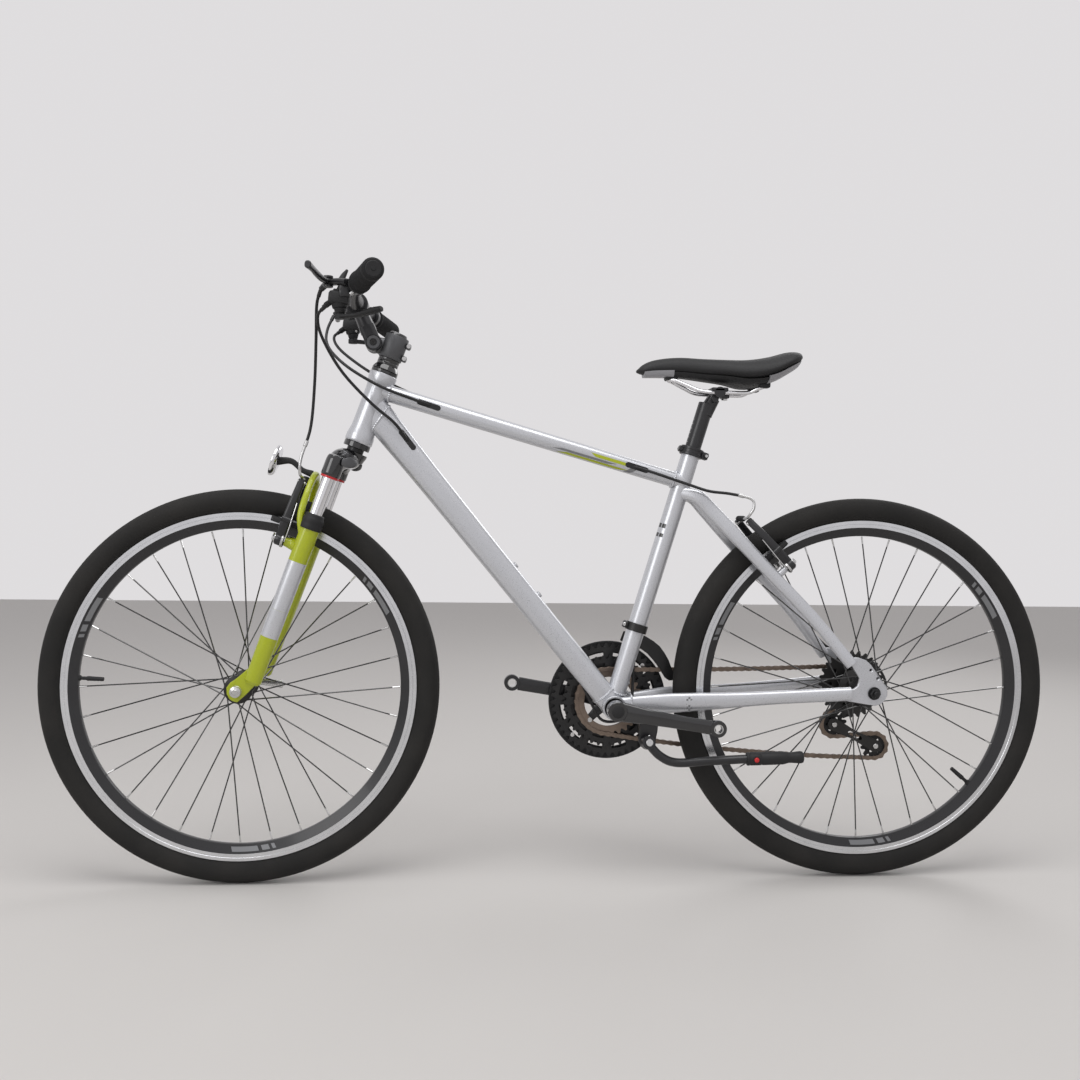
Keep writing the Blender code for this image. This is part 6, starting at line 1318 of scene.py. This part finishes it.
knuckle = [(0.0044, -0.009), (0.0108, -0.009), (0.0115, -0.0082), (0.0115, 0.0046), (0.0108, 0.0054),
    (0.0044, 0.0054)]
piece("kickstand_leg_tube", [spin(knuckle, PIVOT, STAND_AXIS, 36), wire(leg, 0.0075, 24, 60)], "kickstand",
    anodised, ["kickstand_leg"])
way = (Vector(leg[5]) - Vector(leg[4])).normalized()
start = Vector(leg[4]) - way * 0.004
sleeve = [(0.0078, -0.0005), (0.0104, -0.0005), (0.0112, 0.0006), (0.0112, 0.004), (0.0107, 0.0046),
    (0.0107, 0.0054), (0.0112, 0.006),
          (0.0112, 0.023), (0.0106, 0.024), (0.0106, 0.025), (0.0112, 0.026), (0.0111, 0.06),
              (0.0098, 0.066), (0.0088, 0.07),
          (0.009, 0.076), (0.01, 0.086), (0.0103, 0.09), (0.0092, 0.094), (0.006, 0.0955), (0.0, 0.0958)]
piece("kickstand_rubber_foot", [spin(sleeve, start, way, 36, False)], "kickstand_foot",
    moulded, ["kickstand_foot"])
spot = start + way * 0.014
piece("kickstand_foot_collar", [spin([(0.0044, 0.01), (0.0056, 0.01), (0.006, 0.0106), (0.006, 0.0118),
    (0.005, 0.0121), (0.0044, 0.0119)],
                                     spot, -Y, 28)], "kickstand_foot", moulded)
dome = [(0.0, 0.0139), (0.0022, 0.0138), (0.0036, 0.0134), (0.0042, 0.0126), (0.0042, 0.0094), (0.0, 0.0094)]
piece("kickstand_red_button", [spin(dome, spot, -Y, 28, False)], "kickstand_button", red,
    ["kickstand_button"])
print("kickstand done")

# %% [markdown]
# Chain wheels have one tooth per half inch of chain. The teeth are drawn with flat tips and round
# valleys, and each wheel is turned so that the chain's pins lie in its valleys, so the chain's line
# is worked out first.

# %% Chain line
PITCH = 0.0127


def pitch_radius(teeth):
    return PITCH / (2 * sin(pi / teeth))


GUIDE, TENSION = Vector((0.5076, 0.0635, 0.2521)), Vector((0.5843, 0.0635, 0.213))
ROUND = [(at_y(BOTTOM, 0.041), pitch_radius(28), 1), (at_y(REAR_AXLE, 0.0635), pitch_radius(14), 1),
         (GUIDE, pitch_radius(11), -1), (TENSION, pitch_radius(11), 1)]


def tangent(first, second):
    (a, ra, sa), (b, rb, sb) = first, second
    gap = Vector((b.x - a.x, b.z - a.z))
    turn = asin((sb * rb - sa * ra) / gap.length)
    ahead = gap.normalized()
    ahead = Vector((ahead.x * cos(turn) - ahead.y * sin(turn), ahead.x * sin(turn) + ahead.y * cos(turn)))
    left = Vector((-ahead.y, ahead.x))
    return (Vector((a.x + sa * ra * left.x, a.y, a.z + sa * ra * left.y)),
            Vector((b.x + sb * rb * left.x, b.y, b.z + sb * rb * left.y)))


spans = [tangent(ROUND[i], ROUND[(i + 1) % 4]) for i in range(4)]
line, arcs = [], []
for i, (leave, meet) in enumerate(spans):
    sag = (0.003, 0.0, 0.0, 0.0085)[i]
    for k in range(61):
        share = k / 60
        spot = leave.lerp(meet, share)
        spot.y = leave.y + (meet.y - leave.y) * min(max((share - 0.08) / 0.84, 0.0), 1.0)
        line.append(spot - Vector((0, 0, 4 * sag * share * (1 - share))))
    centre, radius, sense = ROUND[(i + 1) % 4]
    begin, leaving = atan2(meet.z - centre.z, meet.x - centre.x), spans[(i + 1) % 4][0]
    end = atan2(leaving.z - centre.z, leaving.x - centre.x)
    sweep = (begin - end) % tau if sense > 0 else (end - begin) % tau
    steps = max(6, round(sweep / radians(3)))
    arcs.append((len(line) + steps // 2, centre))
    for k in range(1, steps):
        angle = begin - sense * sweep * k / steps
        line.append(Vector((centre.x + radius * cos(angle), centre.y, centre.z + radius * sin(angle))))
reach = [0.0]
for a, b in zip(line, line[1:] + line[:1]):
    reach.append(reach[-1] + (b - a).length)
LINKS = 2 * round(reach[-1] / PITCH / 2)
pins, at_line = [], 0
for k in range(LINKS):
    target = k * reach[-1] / LINKS
    while reach[at_line + 1] < target:
        at_line += 1
    share = (target - reach[at_line]) / (reach[at_line + 1] - reach[at_line])
    pins.append(line[at_line].lerp(line[(at_line + 1) % len(line)], share))
print("chain length", round(reach[-1], 3), "links", LINKS)


def valley_turn(centre, teeth):
    """The turn that puts a tooth's valley under the chain pin nearest to the middle of its arc."""
    where_to = [line[i % len(line)] for i, c in arcs if (c - centre).length < 1e-6]
    if not where_to:
        return 0.0
    near = min(pins, key=lambda p: (p - where_to[0]).length)
    return atan2(near.z - centre.z, near.x - centre.x) - pi / teeth


def toothed(teeth, turn=0.0, tip=0.0034, root=0.0037):
    radius, outline = pitch_radius(teeth), []
    for k in range(teeth):
        for share, level in ((-0.11, tip), (0.11, tip), (0.24, 0.0006), (0.36, -root * 0.72), (0.5, -root),
            (0.64, -root * 0.72), (0.76, 0.0006)):
            angle = turn + tau * (k + share) / teeth
            outline.append(((radius + level) * cos(angle), (radius + level) * sin(angle)))
    return outline


# %% [markdown]
# A roller chain alternates outer and inner link plates on pins. One waisted plate shape, repeated
# along the line a half inch at a time, gives a chain that reads as a chain from any distance.

# %% Chain
side_plates, bright = [], []
for i, a in enumerate(pins):
    b = pins[(i + 1) % LINKS]
    ahead = (b - a).normalized()
    up = Vector((-ahead.z, 0, ahead.x)).normalized()
    long = (b - a).length
    shape = []
    for centre_x, first, last in ((long, -105, 105), (0.0, 75, 285)):
        for k in range(7):
            angle = radians(first + (last - first) * k / 6)
            shape.append((centre_x + 0.0041 * cos(angle), 0.0041 * sin(angle)))
        shape.append((long / 2, 0.0029 if centre_x else -0.0029))
    inner = i % 2
    for side in (-1, 1):
        offset = side * (0.0022 if inner else 0.0032)
        side_plates.append(plate(shape, 0.0009, a + Y * offset, ahead, up, edge=0.0002))
    bright.append(rod(a - Y * 0.0039, a + Y * 0.0039, 0.0018, 8, None, 0.0002))
    bright.append(rod(a - Y * 0.0016, a + Y * 0.0016, 0.0038, 10, None, 0.0002))
piece("chain_side_plates", side_plates, "frame", oiled, ["chain"])
piece("chain_pins_and_rollers", bright, "frame", oiled)
print("plates", len(side_plates))

# %% [markdown]
# The crankset has three rings on a spider, a bash guard outside them and two forged arms. The pedals
# are missing in the photograph, so each arm ends in an open threaded eye with a bright rim.

# %% Chain rings and guard
rings_made = []
for size, teeth, y, hole in (("small", 28, 0.041, 0.043), ("middle", 38, 0.0485, 0.0455),
    ("large", 48, 0.056, 0.0455)):
    turn = valley_turn(at_y(BOTTOM, 0.041), 28) if size == "small" else 0.04
    cuts = [disc(hole, 64)]
    if size != "small":
        inner_edge = pitch_radius(teeth) - 0.0105
        for k in range(12):
            middle = tau * (k + 0.5) / 12
            spread, low, high = tau / 12 * 0.3, inner_edge - (
                0.0085 if size == "large" else 0.0058), inner_edge
            window = [(low * cos(middle + spread * s), low * sin(middle + spread * s)) for s in (-1, -0.5,
                0, 0.5, 1)]
            window += [(high * cos(middle + spread * s), high * sin(middle + spread * s)) for s in (1, 0.5,
                0, -0.5, -1)]
            cuts.append(window)
    rings_made.append((size, plate(toothed(teeth, turn), 0.0018, at_y(BOTTOM, y), (1, 0, 0), (0, 0, 1),
        cuts, 0.0003)))
piece("chain_ring_small", [rings_made[0][1]], "crankset", oiled, ["chainrings"])
piece("chain_ring_middle", [rings_made[1][1]], "crankset", steel_dark)
piece("chain_ring_large", [rings_made[2][1]], "crankset", steel_dark)
spider, studs = [], []
for k in range(4):
    angle = tau * k / 4 + pi / 4
    towards = Vector((cos(angle), 0, sin(angle)))
    spider.append(bar([BOTTOM + towards * 0.012 + Y * 0.053, BOTTOM + towards * 0.033 + Y * 0.0525,
        BOTTOM + towards * 0.053 + Y * 0.0522],
                      0.0034, [0.011, 0.0078, 0.0066], 20, 3.0, Y, 8, 0.0008))
    studs.append(cross_rod(BOTTOM + towards * 0.0462, 0.0396, 0.0494, 0.0044, 20))
    studs.append(cross_rod(BOTTOM + towards * 0.087, 0.055, 0.0632, 0.004, 20))
    studs.append(cross_rod(BOTTOM + towards * 0.05, 0.047, 0.0576, 0.0048, 20))
piece("chain_ring_spider", [*spider, spin([(0.0142, 0.049), (0.0205, 0.049), (0.0212, 0.05),
    (0.0212, 0.055), (0.02, 0.0556), (0.0142, 0.0556)], BOTTOM, Y, 40)],
      "crankset", anodised)
piece("chain_ring_bolts", studs, "crankset", steel)
guard_cuts = []
for k in range(16):
    middle, spread = tau * (k + 0.5) / 16, tau / 16 * 0.33
    window = [(0.088 * cos(middle + spread * s), 0.088 * sin(middle + spread * s)) for s in (-1, 0, 1)]
    window += [(0.0925 * cos(middle + spread * s), 0.0925 * sin(middle + spread * s)) for s in (1, 0, -1)]
    guard_cuts.append(window)
guard = [plate(disc(0.104, 144), 0.0018, at_y(BOTTOM, 0.0612), (1, 0, 0), (0, 0, 1),
    [disc(0.0832, 96), *guard_cuts], 0.0005),
         spin([(0.1012, 0.059), (0.1036, 0.0592), (0.1042, 0.0602), (0.1042, 0.062), (0.1034, 0.0626),
             (0.1012, 0.0624)], BOTTOM, Y, 144)]
piece("chain_guard", guard, "crankset", moulded)
print("rings", [size for size, _ in rings_made])

# %% [markdown]
# A forged crank arm swells at the axle and at the pedal eye. It is a tapered section swept from one to
# the other, with a turned ring at the eye, and the arms point opposite ways from one shared angle.

# %% Crank arms
TILT = radians(-9.27)
BACK = Vector((cos(TILT), 0, sin(TILT)))
for name, side, way in (("left", -1, BACK), ("right", 1, -BACK)):
    offsets, half = ((-0.058, -0.0665, -0.069, -0.0715),
        0.006) if side < 0 else ((0.063, 0.074, 0.076, 0.0785), 0.0055)
    path = [at_y(BOTTOM + way * r, y) for r, y in zip((0.0, 0.045, 0.1, 0.17), offsets)]
    eye = at_y(BOTTOM + way * 0.17, offsets[-1])
    hub = (-0.068, -0.046, 0.0165) if side < 0 else (0.05, 0.072, 0.0135)
    eye_ring = [(0.007, -0.0065), (0.0134, -0.0065), (0.014, -0.0057), (0.014, 0.0057), (0.0134, 0.0065),
        (0.007, 0.0065)]
    forged = bar([*path[:3], at_y(BOTTOM + way * 0.1585, offsets[-1])], half,
        [0.017, 0.0135, 0.0115, 0.0118], 32, 3.0, Y, 30)
    shapes = [cross_rod(BOTTOM, hub[0], hub[1], hub[2], 44, 0.0012), forged, spin(eye_ring, eye, Y, 44)]
    piece(f"crank_arm_{name}", shapes, "crankset", gloss_black if side < 0 else anodised,
        [f"crank_{name}"])
    rim = [(0.0066, -0.0067), (0.0079, -0.0067), (0.0081, -0.0062), (0.0071, -0.0058), (0.0068, -0.005),
        (0.0068, 0.005), (0.0071, 0.0058),
           (0.0081, 0.0062), (0.0079, 0.0067), (0.0066, 0.0067)]
    cap_y = hub[0] if side < 0 else hub[1]
    cap = [(0.0, cap_y + side * 0.0006), (0.01, cap_y + side * 0.0006), (0.0108, cap_y),
        (0.0, cap_y - side * 0.0005)]
    piece(f"pedal_eye_{name}", [spin(rim, eye, Y, 36)], "crankset", steel)
    piece(f"crank_cap_{name}", [spin(cap, BOTTOM, Y, 36, False)], "crankset", moulded)
piece("spindle", [cross_rod(BOTTOM, -0.0615, 0.06, 0.0085, 24)], "crankset", steel_dark)
print("crank length", 0.17)

# %% [markdown]
# The freewheel is seven toothed plates on a core, the largest next to the spokes. One function cuts
# every plate, and the larger ones have round windows that make them lighter.

# %% Freewheel
TEETH = (28, 24, 22, 20, 18, 16, 14)
stack = []
for k, teeth in enumerate(TEETH):
    y = 0.0335 + 0.005 * k
    turn = valley_turn(at_y(REAR_AXLE, 0.0635), 14) if teeth == 14 else 0.1 * k
    cuts = [disc(0.0235, 40)]
    if teeth >= 22:
        radius = (pitch_radius(teeth) + 0.0235) / 2 - 0.001
        cuts += [disc(0.0042, 14, (radius * cos(tau * j / 10),
            radius * sin(tau * j / 10))) for j in range(10)]
    stack.append(plate(toothed(teeth, turn), 0.0018, at_y(REAR_AXLE, y), (1, 0, 0), (0, 0, 1), cuts, 0.0003))
core = [(0.0176, 0.0306), (0.0228, 0.0306), (0.0236, 0.0314), (0.0236, 0.065), (0.022, 0.0657),
    (0.015, 0.0657), (0.012, 0.065), (0.0095, 0.065),
        (0.0095, 0.064), (0.0176, 0.06)]
piece("freewheel_sprockets", stack, "freewheel", steel_dark, ["freewheel"])
piece("freewheel_core", [spin(core, REAR_AXLE, Y, 44)], "freewheel", steel_dark)
print("sprockets", len(stack))

# %% [markdown]
# Both derailleurs are small linkages. The front one pushes a two-plate cage with a clamp on the seat
# tube; the rear one hangs a sprung cage with two toothed pulleys under the axle.

# %% Derailleurs
fd = [spin([(0.0162, 0.133), (0.0184, 0.133), (0.019, 0.1336), (0.019, 0.1464), (0.0184, 0.147),
    (0.0162, 0.147)], BOTTOM, UP_SEAT, 48),
      bar([seat(0.14, 0.005, 0.0188), seat(0.1395, 0.006, 0.032)], [0.012, 0.01], [0.01, 0.008], 24, 3.0,
          UP_SEAT, 0, 0.001),
      bar([seat(0.134, 0.006, 0.024), Vector((0.1435, 0.029, 0.409))], 0.004, 0.0045, 20, 3.0),
      cross_rod((0.1435, 0, 0.409), 0.024, 0.0362, 0.0045, 20),
      brick(seat(0.14, -0.0215, 0.0), (0.012, 0.012, 0.007), UP_SEAT, soft=0.0022),
      brick(seat(0.14, -0.02, -0.008), (0.01, 0.005, 0.006), UP_SEAT, soft=0.0018)]
piece("front_derailleur_mount", fd, "frame", steel_dark, ["front_derailleur_body"])
piece("front_derailleur_bolt", [rod(seat(0.14, -0.0225, -0.006), seat(0.14, -0.0225, -0.0105), 0.0036, 16),
                                cross_rod((0.1435, 0, 0.409), 0.0226, 0.0244, 0.0034, 16)], "frame",
                                    steel)
cage_edge = [(0.02, 0.106), (0.038, 0.1), (0.056, 0.092), (0.069, 0.0828), (0.079, 0.072), (0.0884, 0.06),
    (0.096, 0.048),
             (0.101, 0.0402), (0.106, 0.037), (0.1118, 0.037), (0.116, 0.04), (0.115, 0.049), (0.11, 0.06),
                 (0.105, 0.073),
             (0.098, 0.085), (0.089, 0.097), (0.078, 0.106), (0.064, 0.1145), (0.05, 0.12), (0.038, 0.1222),
                 (0.026, 0.122)]
cage = [plate(cage_edge, 0.0012, at_y(BOTTOM, y), (1, 0, 0), (0, 0, 1), edge=0.0003) for y in (0.0392, 0.052)]
cage += [brick(BOTTOM + Vector((0.11, 0.0456, 0.0395)), (0.006, 0.0128, 0.003), soft=0.0008),
         brick(BOTTOM + Vector((0.045, 0.0456, 0.118)), (0.03, 0.0128, 0.003), soft=0.0008),
         brick((0.1435, 0.038, 0.409), (0.018, 0.003, 0.014), soft=0.0012)]
piece("front_derailleur_plates", cage, "front_derailleur_cage", steel_dark,
    ["front_derailleur_cage"])
hang = Vector((0.541, 0, 0.29))
lower, RD_LINK, RD_AXIS = Vector((0.5146, 0.08, 0.2601)), Vector((-0.031, 0.0236,
    -0.0157)), Vector((-0.6005, -0.296, 0.744))
upper = lower - RD_LINK
head = [(0.0, 0.0738), (0.0098, 0.0738), (0.0106, 0.0746), (0.0106, 0.082), (0.0096, 0.0832),
    (0.0096, 0.0846), (0.0086, 0.0858), (0.005, 0.0858),
        (0.0044, 0.0846), (0.0, 0.0846)]
knuckle = [spin(head, hang, Y, 36, False),
           bar([at_y(hang, 0.0798), Vector((0.5496, 0.0793, 0.2818)), Vector((0.5496, 0.0624, 0.2758))],
               [0.0055, 0.006, 0.0055], [0.01, 0.009, 0.007], 28, 2.6, Y, 16)]
piece("rear_derailleur_knuckle", knuckle, "rd_knuckle", moulded, ["rd_knuckle"])
piece("rear_derailleur_hanger_bolt", [cross_rod(hang, 0.085, 0.0864, 0.0046, 6)], "rd_knuckle",
    steel)
piece("rear_derailleur_link", [bar([upper + RD_LINK * 0.17, upper + RD_LINK * 0.4, upper + RD_LINK * 0.62],
    [0.0058, 0.0054, 0.0058], [0.0038, 0.0034, 0.0038], 24, 3.0, RD_AXIS, 8)],
      "rd_link", moulded, ["rd_link"])
body_shape = [(0.0, 0.0721), (0.0118, 0.0721), (0.0126, 0.073), (0.0126, 0.079), (0.0119, 0.08),
    (0.0119, 0.0825), (0.011, 0.0842), (0.008, 0.0855), (0.0, 0.0855)]
piece("rear_derailleur_spring_case", [spin(body_shape, at_y(GUIDE, 0), Y, 36, False)], "rd_pulley_knuckle",
    moulded, ["rd_pulley_knuckle"])
along = (TENSION - GUIDE).normalized()
across = Vector((-along.z, 0, along.x))
long = (TENSION - GUIDE).length
outline = []
for centre_x, first, last, r in ((long, -100, 100, 0.0112), (0.0, 80, 280, 0.0116)):
    for k in range(10):
        angle = radians(first + (last - first) * k / 9)
        outline.append((centre_x + r * cos(angle), r * sin(angle)))
    outline.append((long * 0.5, 0.0078 if centre_x else -0.0078))
slot_hole = [(long * 0.36, -0.0032), (long * 0.64, -0.0032), (long * 0.67, 0.0), (long * 0.64, 0.0032),
    (long * 0.36, 0.0032), (long * 0.33, 0.0)]
plates = [plate(outline, 0.0013, at_y(GUIDE, 0.0635 + o), along, across, [slot_hole],
    0.0003) for o in (-0.0072, 0.0072)]
hoop = [Vector(TENSION) + Vector((x, 0.0078, z)) for x, z in ((0.001, 0.006), (0.016, 0.015),
    (0.026, 0.006), (0.022, -0.006), (0.005, -0.006))]
plates.append(wire(hoop, 0.0016, 12, 30))
piece("rear_derailleur_cage_plates", plates, "rd_cage", steel_dark, ["rd_cage"])
piece("pulley_bolts", [cross_rod(p, 0.0635 - 0.0088, 0.0635 + 0.0074, 0.003, 16) for p in (GUIDE, TENSION)] +
      [cross_rod(p, 0.0635 - 0.0096, 0.0635 - 0.0078, 0.0046, 20) for p in (GUIDE, TENSION)], "rd_cage",
          steel)
for name, place_at in (("upper", GUIDE), ("lower", TENSION)):
    cuts = [disc(0.0045, 24)] + [disc(0.0026, 12, (0.0115 * cos(tau * j / 6),
        0.0115 * sin(tau * j / 6))) for j in range(6)]
    turn = valley_turn(place_at, 11)
    wheel = [plate(toothed(11, turn, 0.0026, 0.0046), 0.0024, place_at, (1, 0, 0), (0, 0, 1), cuts, 0.0004),
             spin([(0.0038, -0.005), (0.0074, -0.005), (0.008, -0.0044), (0.008, 0.0044), (0.0074, 0.005),
                 (0.0038, 0.005)], place_at, Y, 28)]
    piece(f"jockey_{name}_wheel", wheel, f"jockey_{name}", moulded, [f"jockey_{name}"])
print("derailleurs done")

# %% [markdown]
# Control cables are steel wires in black housings that hold their curve, each from a lever to a brake
# or a gear. Housing, metal guide, bellows and bare wire are separate pieces along one line. The housing
# is two pieces: its first seven centimetres by the lever, and the rest, which stands in for the CAD
# cable.

# %% Control cables
housing_black = finish("cable_housing", (0.01, 0.01, 0.011), (0.016, 0.016, 0.017), (0.34, 0.46), 0.0, 0.05,
    1400, spec=0.4)
ROUTES = {
    "front_brake": ("steering", "front_brake_cable", 60, [
        (-.393, -.112, .97), (-.4, -.102, .948), (-.403, -.08, .9), (-.408, -.05, .83), (-.415, -.039, .76),
        (-.429, -.047, .71), (-.431, -.046, .685), (-.4272, -.032, .6766), (-.427, 0, .6766),
            (-.427, .036, .6766)]),
    "rear_brake": ("frame", "rear_brake_cable", 110, [
        (-.394, .112, .968), (-.402, .09, .942), (-.399, .04, .912), (-.382, -.01, .884), (-.35, -.033, .856),
        (-.3, -.04, .828), (-.25, -.028, .811), (-.2236, -.0185, .8025), (-.196, -.009, .7935),
            (0, -.004, .741),
        (.1, -.011, .713), (.1292, -.0175, .7045), (.16, -.024, .695), (.215, -.0285, .677),
            (.25, -.034, .666),
        (.285, -.038, .662), (.32, -.043, .654), (.325, -.045, .64), (.318, -.042, .626),
            (.3155, -.03, .6206),
        (.3155, 0, .6206), (.3155, .036, .6206)]),
    "rear_shift": ("frame", "rear_shift_cable", 110, [
        (-.381, .127, .945), (-.393, .11, .93), (-.38, .08, .905), (-.34, .048, .872), (-.295, .036, .845),
        (-.25, .027, .824), (-.18, .0235, .796), (0, .022, .742), (.16, .0215, .696), (.21, .024, .678),
        (.26, .036, .64), (.31, .047, .589), (.38, .059, .515), (.45, .074, .44), (.5, .086, .39),
        (.545, .092, .374), (.59, .093, .36), (.615, .093, .325), (.608, .092, .29), (.578, .09, .28)]),
    "front_shift": ("frame", "front_shift_cable", 100, [
        (-.383, -.126, .943), (-.397, -.113, .929), (-.393, -.085, .9), (-.364, -.058, .85),
            (-.318, -.042, .802),
        (-.28, -.032, .771), (-.2584, -.019, .744), (-.237, -.007, .7165), (-.15, -.004, .6),
            (0, -.005, .403),
        (.033, -.0056, .35), (.048, -.006, .3225), (.06, -.0065, .298), (.076, -.0068, .2735),
            (.1, -.004, .27),
        (.123, 0, .279), (.13, .002, .31), (.132, .01, .34), (.136, .0225, .37), (.142, .025, .401)]),
}


def bellows(start, end, radius, folds):
    profile, long = [(0.0, 0.0), (radius * 0.6, 0.0)], (end - start).length
    for k in range(folds * 2 + 1):
        profile.append((radius * (1.0 if k % 2 else 0.68), long * (k + 0.5) / (folds * 2 + 1)))
    return spin([*profile, (radius * 0.6, long), (0.0, long)], start, end - start, 20, False)


for name, (carrier, node, count, points) in ROUTES.items():
    full = [Vector(p) for p in eased(points, count)]
    last = count
    if "brake" in name:
        last, left_over = len(full) - 1, 0.0
        while left_over < 0.116:
            left_over += (full[last] - full[last - 1]).length
            last -= 1
    housing, top = full[:last], 0
    while sum((after - before).length for before, after in zip(housing[:top], housing[1:top + 1])) < 0.07:
        top += 1
    below = "fork_lowers" if name == "front_brake" else "frame"
    upper = piece(f"{name}_housing_top", [wire(housing[:top + 1], 0.0025, 12)], None,
        housing_black)
    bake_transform(upper)
    lower_line = housing[top:]
    tube_piece = piece(f"{name}_housing", [wire(lower_line, 0.0025, 12)], None,
        housing_black, [node])
    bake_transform(tube_piece)
    ferrule = [rod(housing[0], housing[0] + (housing[2] - housing[0]).normalized() * 0.012, 0.0032, 16)]
    others = [upper, piece(f"{name}_ferrule", ferrule, "stem_arm", steel_dark)]
    if "brake" in name:
        guide = full[last - 1:]
        cut = next(i for i, p in enumerate(guide) if p.y > -0.022)
        pipe = [wire(guide[:cut + 1], 0.0024, 12), rod(guide[0] - (guide[1] - guide[0]).normalized() * 0.01,
            guide[0], 0.0034, 16)]
        others.append(piece(f"{name}_guide_pipe", pipe, below, steel))
        others.append(piece(f"{name}_bellows", [bellows(guide[cut], guide[cut] + Y * 0.04, 0.005, 6)],
            below, moulded))
        others.append(piece(f"{name}_inner_wire", [rod(guide[cut] + Y * 0.036, guide[-1] + Y * 0.004, 0.001,
            10)], below, steel))

# %% [markdown]
# The last cell prints how many pieces were made.

# %% Piece count
print("pieces", len(MADE))
